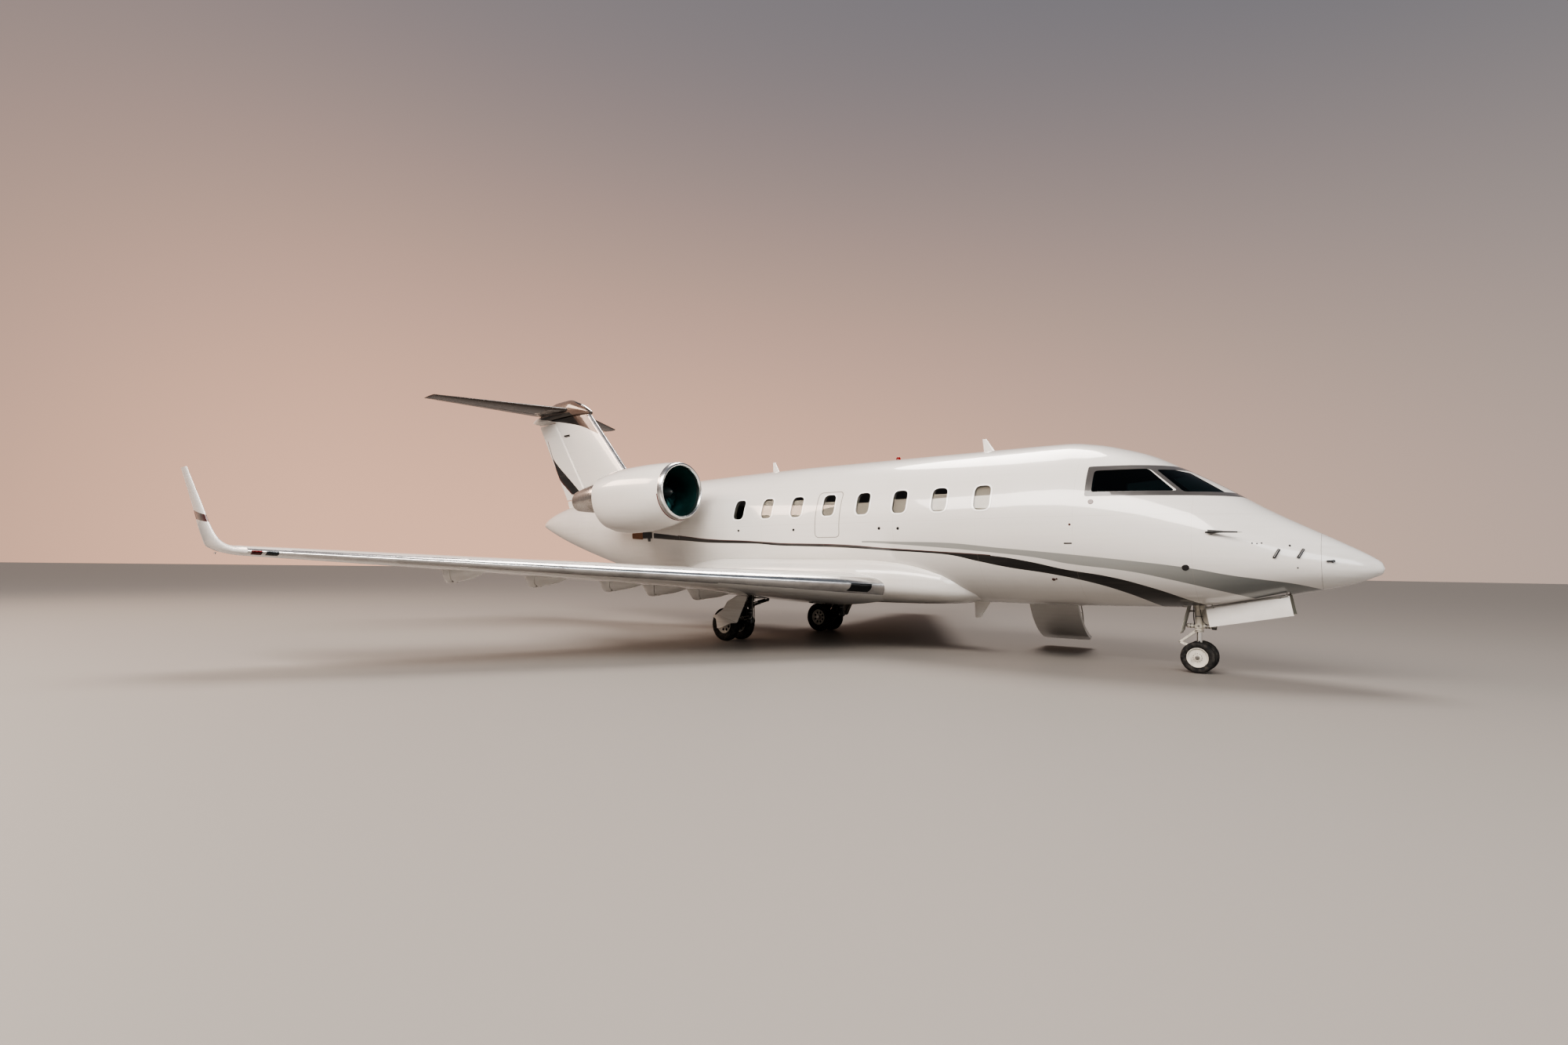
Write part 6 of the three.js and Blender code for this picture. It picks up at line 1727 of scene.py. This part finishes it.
leg += [on_plate(plate, 0.010, 0.016, 6), on_plate(plate, 0.0165, 0.019, 0)]
for y in (-0.095, -0.032, 0.032, 0.095):
    leg.append(on_plate(block(y - 0.009, y + 0.009, 0.60, 1.06), 0.001, 0.0105, 6))
for radius, points in (
    (0.0075, [(-0.050, 0.055, 1.42), (-0.062, 0.058, 1.20), (-0.060, 0.050, 0.98), (-0.056, 0.052, 0.80),
              (-0.050, 0.056, 0.700)]),
    (0.0065, [(-0.058, -0.040, 1.42), (-0.070, -0.050, 1.18), (-0.062, -0.042, 0.98), (-0.066, -0.036, 0.84),
              (-0.052, -0.054, 0.700)]),
    (0.005, [(-0.020, 0.064, 1.42), (-0.012, 0.066, 1.12), (0.004, 0.060, 0.94), (0.040, 0.052, 0.80),
             (0.070, 0.030, 0.712)]),
    (0.005, [(0.030, -0.060, 1.42), (0.022, -0.062, 1.10), (0.030, -0.052, 0.90), (0.052, -0.040, 0.76),
             (0.110, -0.030, 0.700)]),
):
    leg.append(pipe([(leg_x + x, y, z) for x, y, z in points], radius, 2))
leg += [column([(z, 0.0545), (z + 0.012, 0.0545)], leg_x, 0, mark=1) for z in (0.82, 1.06)]
fit("nose_leg_assembly", mesh_of(leg, nose_finishes), "nose_leg")

# Nose fork
# The sliding part of the leg: chromed piston, axle housing and the torque links behind it, which turn
# with the wheels when the nose leg steers.

AXLE_HOUSING = [(0.102, 0.0265), (0.102, 0.038), (0.092, 0.042), (0.070, 0.042), (0.060, 0.038)]
LINKS = (((0.045, 0.602), (0.262, 0.427)), ((0.040, 0.326), (0.262, 0.436)))
LINK_STOPS = ((0.0, 0.015, 0.022), (0.12, 0.012, 0.020), (0.6, 0.010, 0.017), (1.0, 0.011, 0.017))
LINK_PINS = ((0.262, 0.432, 0.034, 0.013), (0.047, 0.601, 0.058, 0.012), (0.042, 0.327, 0.058, 0.012))
axle_z = NOSE_WHEEL["radius"]


def both_ways(profile):
    """A profile of distance and radius from its far inboard end to its outboard one."""
    return [(-y, r) for y, r in profile] + profile[::-1]


fork = [column([(0.2045, 0.034), (0.212, 0.044), (0.275, 0.046), (0.300, 0.044), (0.306, 0.040)], leg_x, 0),
        column([(0.306, 0.036), (0.59, 0.036)], leg_x, 0, mark=3),
        column([(0.590, 0.050), (0.594, 0.058), (0.634, 0.058), (0.6395, 0.054)], leg_x, 0),
        column([(0.604, 0.0585), (0.616, 0.0585)], leg_x, 0, mark=1),
        wheel_turned(both_ways(AXLE_HOUSING), (leg_x, 0, axle_z), 40)]
for (a, low), (b, high) in LINKS:
    for side in (1, 0, -1):
        stops = []
        for t, wide, deep in LINK_STOPS if side else ((0.25, 0.0355, 0.004), (0.62, 0.02588, 0.004)):
            centre = (leg_x - a - (b - a) * t, side * (0.044 - 0.026 * t), low + (high - low) * t)
            stops.append((centre, wide, deep))
        fork.append(forged(stops))
fork += [pin(leg_x - x, z, half, radius) for x, z, half, radius in LINK_PINS]
fit("nose_fork_assembly", mesh_of(fork, nose_finishes), "nose_fork", "nose_fork_body")
stubs = [bar((leg_x, side * 0.104, axle_z), (leg_x, side * 0.205, axle_z), 0.0235, 24) for side in (1, -1)]
fit("nose_axle_ends", mesh_of(stubs, [gear_steel]), body="nose_wheels")

# Main legs
# Trailing-link legs: a forged post on the wing's spar, an arm that carries the axle, an oleo between
# them and a folding brace inboard, all dark enamel. Brake packs sit inside each wheel.

y0, x0, wheel_x, wheel_z = HALF_TRACK, at(9.70), at(MAIN_WHEEL["station"]), MAIN_WHEEL["radius"]
MAIN_POST = [(0.3555, 0.050), (0.366, 0.061), (0.445, 0.061), (0.460, 0.052), (0.660, 0.050), (0.668, 0.060),
             (0.735, 0.060), (0.745, 0.050), (0.800, 0.050), (0.808, 0.060), (0.860, 0.060), (0.870, 0.053),
             (1.020, 0.055), (1.030, 0.061), (1.0845, 0.061)]
ARM = [(0.02, 0.403, 0.052, 0.046), (-0.06, 0.390, 0.046, 0.050), (-0.14, 0.377, 0.032, 0.040),
       (-0.30, 0.351, 0.034, 0.040), (-0.40, 0.335, 0.046, 0.052), (wheel_x - x0, wheel_z, 0.060, 0.056)]
AXLE_BOSS = [(0.108, 0.044), (0.108, 0.056), (0.098, 0.062), (0.050, 0.062), (0.040, 0.057)]
OLEO = [
    # start and end as shares of its length, radius, sides, finish
    (0.02, 0.56, 0.043, 32, 0), (0.30, 0.34, 0.046, 32, 1), (0.545, 0.62, 0.046, 32, 0),
    (0.60, 0.96, 0.029, 32, 3), (0.90, 0.97, 0.034, 24, 0),
]
BRACE = [(0.10, 0.026, 0.026), (0.20, 0.020, 0.022), (0.46, 0.018, 0.020), (0.50, 0.026, 0.026),
         (0.54, 0.018, 0.020), (0.90, 0.020, 0.022), (1.0, 0.026, 0.024)]
LOCK = [
    # start, its rise, end, its rise, radius, sides, finish
    (0.22, 0.036, 0.50, 0.030, 0.012, 16, 3), (0.48, 0.030, 0.88, 0.020, 0.019, 20, 0),
]
BRAKE = [(0.060, 0.070), (0.060, 0.125), (0.066, 0.125), (0.066, 0.118), (0.072, 0.118), (0.072, 0.125),
         (0.078, 0.125), (0.078, 0.118), (0.084, 0.118), (0.084, 0.125), (0.092, 0.125), (0.096, 0.112),
         (0.108, 0.108), (0.108, 0.070)]
top, foot = Vector((at(9.74), y0, 0.830)), Vector((at(10.06), y0, 0.385))
brace_top, brace_end = Vector((x0, y0, 0.70)), Vector((x0 + 0.04, 1.12, 0.808))
leg = [column(MAIN_POST, x0, y0), forged([((x0 + x, y0, z), wide, deep) for x, z, wide, deep in ARM]),
       pin(x0, 0.402, 0.078, 0.046, 32, 0, y0), pin(x0, 0.402, 0.092, 0.020, 24, 1, y0),
       wheel_turned(both_ways(AXLE_BOSS), (wheel_x, y0, wheel_z), 48),
       pin(wheel_x, wheel_z, 0.268, 0.0415, 40, 1, y0)]
for start, end, radius, sides, mark in OLEO:
    leg.append(bar(top.lerp(foot, start), top.lerp(foot, end), radius, sides, mark=mark))
for (x, y, z), half, radius in ((top, 0.062, 0.034), (foot, 0.052, 0.030)):
    leg += [pin(x, z, half, radius, 28, 0, y), pin(x, z, half + 0.010, 0.015, 16, 1, y)]
leg.append(forged([(brace_top.lerp(brace_end, t), wide, deep) for t, wide, deep in BRACE]))
for t in (0.14, 0.50, 0.985):
    middle, reach = brace_top.lerp(brace_end, t), Vector((0.034, 0, 0))
    leg.append(bar(middle - reach, middle + reach, 0.013, mark=1))
leg.append(slab((x0 + 0.019, x0 + 0.061), (1.101, 1.139), (0.800, 0.835)))
for *stops, radius, sides, mark in LOCK:
    ends = [brace_top.lerp(brace_end, t) + Vector((-0.03, 0, rise)) for t, rise in (stops[:2], stops[2:])]
    leg.append(bar(*ends, radius, sides, mark=mark))
for side in (1, -1):
    centre = (wheel_x, y0 + side * MAIN_WHEEL["spacing"] / 2, wheel_z)
    leg.append(wheel_turned([(-side * y, r) for y, r in BRAKE], centre, 44, 1))
    leg += crossbars(centre, 0.092, 6, -side * 0.106, -side * 0.122, 0.019, 16, phase=0.7)
for radius, mark, points in (
    (0.0075, 2, [(-0.02, 0.066, 1.07), (-0.045, 0.064, 0.92), (-0.058, 0.060, 0.76), (-0.052, 0.064, 0.60),
                 (-0.075, 0.074, 0.47), (-0.20, 0.070, 0.425), (-0.36, 0.085, 0.405), (-0.42, 0.100, 0.385)]),
    (0.0075, 2, [(-0.045, -0.050, 1.07), (-0.068, -0.044, 0.93), (-0.072, -0.056, 0.62),
                 (-0.085, -0.074, 0.48), (-0.21, -0.070, 0.430), (-0.36, -0.085, 0.405),
                 (-0.42, -0.100, 0.385)]),
    (0.006, 4, [(0.058, 0.030, 1.07), (0.072, 0.034, 0.90), (0.064, 0.040, 0.72), (0.070, 0.030, 0.55),
                (0.058, 0.046, 0.47), (-0.03, 0.066, 0.44), (-0.12, 0.058, 0.415)]),
    (0.005, 2, [(0.050, -0.040, 1.07), (0.060, -0.046, 0.86), (0.062, -0.034, 0.66), (0.058, -0.048, 0.50),
                (0.040, -0.066, 0.44)]),
):
    leg.append(pipe([(x0 + x, y0 + y, z) for x, y, z in points], radius, mark))
leg += [column([(z, 0.0565), (z + 0.010, 0.0565)], x0, y0, mark=1) for z in (0.56, 0.63, 0.93, 0.985)]
main_finishes = [dark_gear, gear_steel, hose, chrome, pale_gear]
pair("main_leg_assembly", mesh_of(leg, main_finishes), "main_leg")

# Leg doors
# A panel fixed to each main leg closes the outer part of the bay. Below its hinge line it widens into a
# fender that leans out over the outer wheel.

DOOR_PLANE, FLARE = 1.918, 0.34
LEG_DOOR = [(9.500, 0.903), (9.760, 0.917), (10.030, 0.780), (10.130, 0.635), (10.306, 0.524), (9.757, 0.380)]
FENDER = [(9.762, 0.376), (10.306, 0.520), (10.410, 0.485), (10.300, 0.425), (10.215, 0.246), (10.120, 0.270),
          (10.020, 0.309), (9.940, 0.358)]
FOLD = np.array([(9.758, 0.377), (10.310, 0.522)])
RIBS = [(9.56, 0.86, 9.80, 0.44), (9.70, 0.88, 9.98, 0.47), (9.84, 0.84, 10.14, 0.52)]
fold_way = (FOLD[1] - FOLD[0]) / np.linalg.norm(FOLD[1] - FOLD[0])


def fender_point(station, height, depth):
    """A point of the fender: it leans out by its distance below the fold."""
    away = np.array((station, height)) - FOLD[0]
    below = max(0.0, away[0] * fold_way[1] - away[1] * fold_way[0])
    return (at(station), DOOR_PLANE + depth + FLARE * below, height)


def in_plane(spot, depth):
    return (at(spot[0]), DOOR_PLANE + depth, spot[1])


leg_door_paint = gloss_paint("leg_door_paint", (0.74, 0.72, 0.68), film=0.26)
fender = rounded(FENDER, 0.02)
door = [side_prism(rounded(LEG_DOOR, 0.02), DOOR_PLANE, DOOR_PLANE + 0.016)]
door.append(capped([np.array([fender_point(s, z, depth) for s, z in fender]) for depth in (0.002, 0.012)]))
for t in np.linspace(0.06, 0.94, 7):
    spot, reach = FOLD[0] + (FOLD[1] - FOLD[0]) * t, fold_way * 0.026
    door.append(bar(in_plane(spot - reach, 0.004), in_plane(spot + reach, 0.004), 0.008, 12, mark=2))
for s0, z0, s1, z1 in RIBS:
    door.append(forged([(in_plane(spot, -0.008), 0.008, 0.014) for spot in ((s0, z0), (s1, z1))], 1))
door += [bar((x0, y0 + 0.055, 0.78), (x0, DOOR_PLANE + 0.004, 0.78), 0.015, 20, mark=2),
         bar((x0 - 0.02, y0 + 0.050, 0.50), (x0 - 0.10, DOOR_PLANE, 0.47), 0.010, 16, mark=2),
         bar((x0, DOOR_PLANE - 0.012, 0.78), (x0, DOOR_PLANE, 0.78), 0.034, 20, mark=1)]
pair("leg_door_panel", mesh_of(door, [leg_door_paint, bay_paint, gear_steel]), "leg_door")

# Lamps, antennas and probes
# Small fittings screwed to the skin: blade antennas and the red beacon on the centre line, air data probes
# and vanes by the nose, drain holes and ports, and the glass lamp covers in the wing's nose.

STUDS = [
    # station, height, radius, finish
    (2.166, 1.546, 0.050, 0), (3.358, 2.509, 0.042, 1), (3.640, 2.173, 0.018, 1), (6.922, 2.186, 0.028, 0),
    (6.541, 2.177, 0.028, 0), (8.853, 2.200, 0.028, 0), (10.302, 2.215, 0.026, 0), (6.852, 1.520, 0.034, 1),
    (3.980, 1.343, 0.030, 1), (3.935, 1.352, 0.016, 1), (0.981, 1.856, 0.015, 0), (0.900, 1.560, 0.010, 0),
    (1.285, 1.888, 0.011, 0), (1.335, 1.882, 0.011, 0), (1.388, 1.888, 0.011, 0),
]
PITOT = [
    # start and end as distances forward, their drops, radii, finish
    (-0.05, 0, 0.12, 0.004, 0.030, 0.014, 0), (0.10, 0.004, 0.30, 0.012, 0.0135, 0.010, 0),
    (0.30, 0.012, 0.355, 0.014, 0.0075, 0.003, 2),
]


def stud(station, level, side, radius, lift=0.004, mark=0):
    """Round fitting that stands off the skin a little."""
    point = on_hull([(station, level)], side)[0]
    normal = hull_normals([point])[0]
    return bar(point - normal * 0.004, point + normal * lift, radius, 20, radius * 0.85, mark)


def skin_plate(outline, side, low, high, mark=0):
    """Thin plate that follows the skin over a (station, height) outline."""
    return capped([on_hull(outline, side, lift) for lift in (low, high)], mark)


dark_fitting = gloss_paint("dark_fitting", (0.010, 0.010, 0.011), rough=0.45, film=0.03)
red_fitting = gloss_paint("red_fitting", (0.055, 0.012, 0.008), rough=0.40, film=0.03)
fitting_finishes = [dark_fitting, red_fitting, gear_steel, fairing_paint]
fittings = []
for side in (1, -1):
    fittings += [stud(station, level, side, radius, mark=mark) for station, level, radius, mark in STUDS]
    fittings.append(skin_plate(rounded(rectangle(3.675, 1.892, 0.115, 0.018), 0.008), side, -0.002, 0.003))
    for station, level in ((1.125, 1.749), (0.866, 1.751)):
        low, high = on_hull([(station + 0.028, level - 0.055), (station - 0.028, level + 0.055)], side, 0.014)
        fittings.append(bar(low, high, 0.019, 12, 0.016))
        fittings.append(stud(station + 0.026, level - 0.052, side, 0.017, 0.014))
    root, tip = on_hull([(0.600, 1.651), (0.520, 1.651)], side, 0.020)
    fittings += [bar(root, tip, 0.011, 12, 0.010), stud(0.530, 1.651, side, 0.021, 0.026)]
    base = on_hull([(1.847, 2.037)], side)[0]
    reach = base + hull_normals([base])[0] * 0.045
    foot = rounded([(1.80, 2.020), (1.92, 2.026), (1.92, 2.048), (1.80, 2.054)], 0.012)
    fittings += [skin_plate(foot, side, -0.002, 0.006), bar(base, reach, 0.032, 16, 0.024)]
    for start, drop, end, end_drop, radius, end_radius, mark in PITOT:
        ends = reach + (start, 0, -drop), reach + (end, 0, -end_drop)
        fittings.append(bar(*ends, radius, 16, end_radius, mark))
fit("skin_fittings", mesh_of(fittings, fitting_finishes))

# The outlet under each engine: a bronze heat shield with a black louvred mouth ahead of it.
shield_metal = bare_metal("shield_metal", (0.30, 0.17, 0.11), 0.30)
SHIELD = rounded([(13.535, 2.085), (13.985, 2.110), (13.985, 2.235), (13.535, 2.242)], 0.03)
MOUTH = rounded([(13.17, 2.104), (13.52, 2.106), (13.52, 2.256), (13.17, 2.250)], 0.02)
DRAIN = [(13.245, 2.035), (13.325, 2.03), (13.335, 2.11), (13.235, 2.11)]
outlets = []
for side in (1, -1):
    outlets += [skin_plate(SHIELD, side, -0.003, 0.012, 1), skin_plate(MOUTH, side, -0.003, 0.020),
                skin_plate(DRAIN, side, -0.002, 0.012)]
    for level in (2.13, 2.155, 2.18, 2.205, 2.23):
        outlets.append(skin_plate(block(13.19, 13.50, level - 0.004, level + 0.004), side, 0.018, 0.026))
fit("side_outlets", mesh_of(outlets, [dark_fitting, shield_metal]))

BLADES = [
    # corners as (station, height): root fore and aft, tip fore and aft; half thickness; foot's place
    ((5.31, 3.590), (5.53, 3.590), (5.485, 3.845), (5.56, 3.848), 0.012, (5.42, 3.597)),
    ((10.30, 3.570), (10.50, 3.568), (10.44, 3.815), (10.51, 3.818), 0.011, (10.38, 3.578)),
    ((5.40, 0.925), (5.72, 0.925), (5.60, 0.625), (5.70, 0.615), 0.015, (5.56, 0.915)),
]
BEACON = [(3.6125, 0.046), (3.635, 0.045), (3.655, 0.036), (3.668, 0.022), (3.674, 0.004)]


def blade_ring(fore, aft, half):
    """Section of an antenna blade on the centre line."""
    ring = []
    for a in turns(16):
        share = (1 - math.cos(a)) / 2
        station, level = (near + (far - near) * share for near, far in zip(fore, aft))
        ring.append((at(station), half * math.sin(a) * (1.15 - 0.4 * share), level))
    return np.array(ring)


antennas = [column([(3.588, 0.055), (3.612, 0.055)], at(7.30), 0, 32, 2)]
for root_fore, root_aft, tip_fore, tip_aft, half, (station, level) in BLADES:
    sections = [blade_ring(root_fore, root_aft, half), blade_ring(tip_fore, tip_aft, half * 0.6)]
    foot = (at(station + 0.17), at(station - 0.17)), (-0.030, 0.030), (level - 0.010, level + 0.010)
    antennas += [capped(sections, 3), slab(*foot, 3)]
fit("blade_antennas", mesh_of(antennas, fitting_finishes))
beacon_glass = tinted_glass("beacon_glass", (0.55, 0.02, 0.02), 0.05)
fit("red_beacon", mesh_of([column(BEACON, at(7.30), 0)], [beacon_glass]))


def nose_cover(spans, low, high, mark=0):
    """Lens flush over the wing's nose between two spans, from a share below the edge to a share above."""
    rows = [(share, -1) for share in np.geomspace(low, 0.0008, 7)]
    rows += [(share, 1) for share in np.geomspace(0.0008, high, 5)]
    rings = []
    for span in spans:
        section = wing_at(span)
        outer = [foil_point(section, share, side) for share, side in rows]
        middle = hinge_of(section, 0.06)
        glass = [p + (p - middle) / np.linalg.norm(p - middle) * 0.003 for p in outer]
        rings.append(np.array(glass + [middle + (p - middle) * 0.9 for p in outer[::-1]]))
    return capped(rings, mark)


lenses = [tinted_glass("dark_lens", (0.05, 0.06, 0.07), 0.03),
          tinted_glass("red_lens", (0.16, 0.01, 0.012), 0.04),
          tinted_glass("clear_lens", (0.80, 0.82, 0.84), 0.03)]
covers = [nose_cover(np.linspace(9.155, 9.275, 5), 0.05, 0.004),
          nose_cover(np.linspace(9.315, 9.415, 5), 0.05, 0.004, 1),
          nose_cover(np.linspace(1.57, 1.92, 8), 0.022, 0.0010)]
pair("wing_lamp_covers", mesh_of(covers, lenses))
tail_lamp = bar((at(12.72), 9.50, 1.560), (at(12.80), 9.50, 1.557), 0.014, 16, 0.004, 2)
pair("tip_tail_lamp", mesh_of([tail_lamp], lenses))
y = abs(foil_point(fin_at(5.215), 0.36, 1)[1])
lamps = []
for side in (1, -1):
    lamps.append(slab((at(18.38), at(18.12)), (side * y - 0.004, side * (y + 0.012)), (5.195, 5.235)))
fit("fin_side_lamps", mesh_of(lamps, [dark_fitting]))

# Studio
# A plain pale floor in a soft surround that is warm at the horizon and cool overhead, with a wide soft
# panel high to starboard, a warm one off the tail, a dim one off the bow and a soft light from above.

FLOOR_HALF = 250.0
floor_looks = {"Base Color": (0.27, 0.255, 0.24), "Specular IOR Level": 0.15}
floor_paint, tree, spot = finish("floor_paint", 0.55, floor_looks)
corners = [(x * FLOOR_HALF, y * FLOOR_HALF, 0) for x, y in ((-1, -1), (1, -1), (1, 1), (-1, 1))]
floor = bpy.data.objects.new("floor", mesh_of([(corners, [(0, 1, 2, 3)], [0])], [floor_paint]))
bpy.context.scene.collection.objects.link(floor)

surround = bpy.data.worlds.new("surround")
surround.use_nodes = True
sky = surround.node_tree
direction = node(sky, "SeparateXYZ", {0: node(sky, "TexCoord")["Generated"]})
climb = edge(sky, direction["Z"], -0.02, 0.70)
beyond = edge(sky, direction["Y"], -0.45, 0.35)
warmth = edge(sky, direction["X"], 0.60, -0.95)
glow = blended(sky, warmth, (0.44, 0.39, 0.36), (0.90, 0.56, 0.41))
horizon = blended(sky, beyond, (0.27, 0.245, 0.23), glow)
overhead = blended(sky, warmth, (0.16, 0.18, 0.21), (0.26, 0.24, 0.25))
feed(sky.nodes["Background"].inputs["Color"], blended(sky, climb, horizon, overhead))
feed(sky.nodes["Background"].inputs["Strength"], 0.85)
bpy.context.scene.world = surround
bpy.context.scene.view_settings.view_transform = "AgX"
bpy.context.scene.view_settings.look = "AgX - High Contrast"

PANELS = [
    # name, place, aim, width, height, watts, colour
    ("high_panel", (5.0, -23.0, 19.0), (0.0, 0.0, 2.0), 34.0, 10.0, 9500.0, (1.0, 0.94, 0.88)),
    ("warm_panel", (-19.0, -15.0, 15.0), (-5.0, -1.0, 3.0), 14.0, 6.0, 2200.0, (1.0, 0.74, 0.58)),
    ("bow_panel", (24.0, -10.0, 8.0), (6.0, 0.0, 2.2), 12.0, 6.0, 900.0, (0.94, 0.97, 1.0)),
]
for name, place, aim, width, height, watts, colour in PANELS:
    panel = bpy.data.lights.new(name, "AREA")
    panel.shape, panel.size, panel.size_y = "RECTANGLE", width, height
    panel.energy, panel.color = watts, colour
    stand = bpy.data.objects.new(name, panel)
    stand.location = place
    stand.rotation_euler = (Vector(aim) - Vector(place)).to_track_quat("-Z", "Y").to_euler()
    bpy.context.scene.collection.objects.link(stand)

daylight = bpy.data.lights.new("soft_top", "SUN")
daylight.energy, daylight.angle, daylight.color = 1.8, math.radians(30), (1.0, 0.93, 0.87)
stand = bpy.data.objects.new("soft_top", daylight)
stand.rotation_euler = (math.radians(-22), math.radians(-16), 0)
bpy.context.scene.collection.objects.link(stand)

# The camera stands 12.4 m to starboard of the centre line at eye height, looking up by 3.6 degrees.
EYE = (10.212, -12.367, 1.473)
YAW, PITCH, ROLL = 0.678, 0.062, 0.014
level_ahead = Vector((-math.sin(YAW), math.cos(YAW), 0))
level_right = Vector((math.cos(YAW), math.sin(YAW), 0))
upright = Vector((0, 0, 1))
ahead = level_ahead * math.cos(PITCH) + upright * math.sin(PITCH)
top = upright * math.cos(PITCH) - level_ahead * math.sin(PITCH)
right = level_right * math.cos(ROLL) + top * math.sin(ROLL)
top = top * math.cos(ROLL) - level_right * math.sin(ROLL)
lens = bpy.data.cameras.new("camera")
lens.lens, lens.sensor_width, lens.clip_end = 16.533, 36, 800
viewer = bpy.data.objects.new("camera", lens)
viewer.matrix_world = Matrix.Translation(EYE) @ Matrix((right, top, -ahead)).transposed().to_4x4()
bpy.context.scene.collection.objects.link(viewer)
bpy.context.scene.camera = viewer
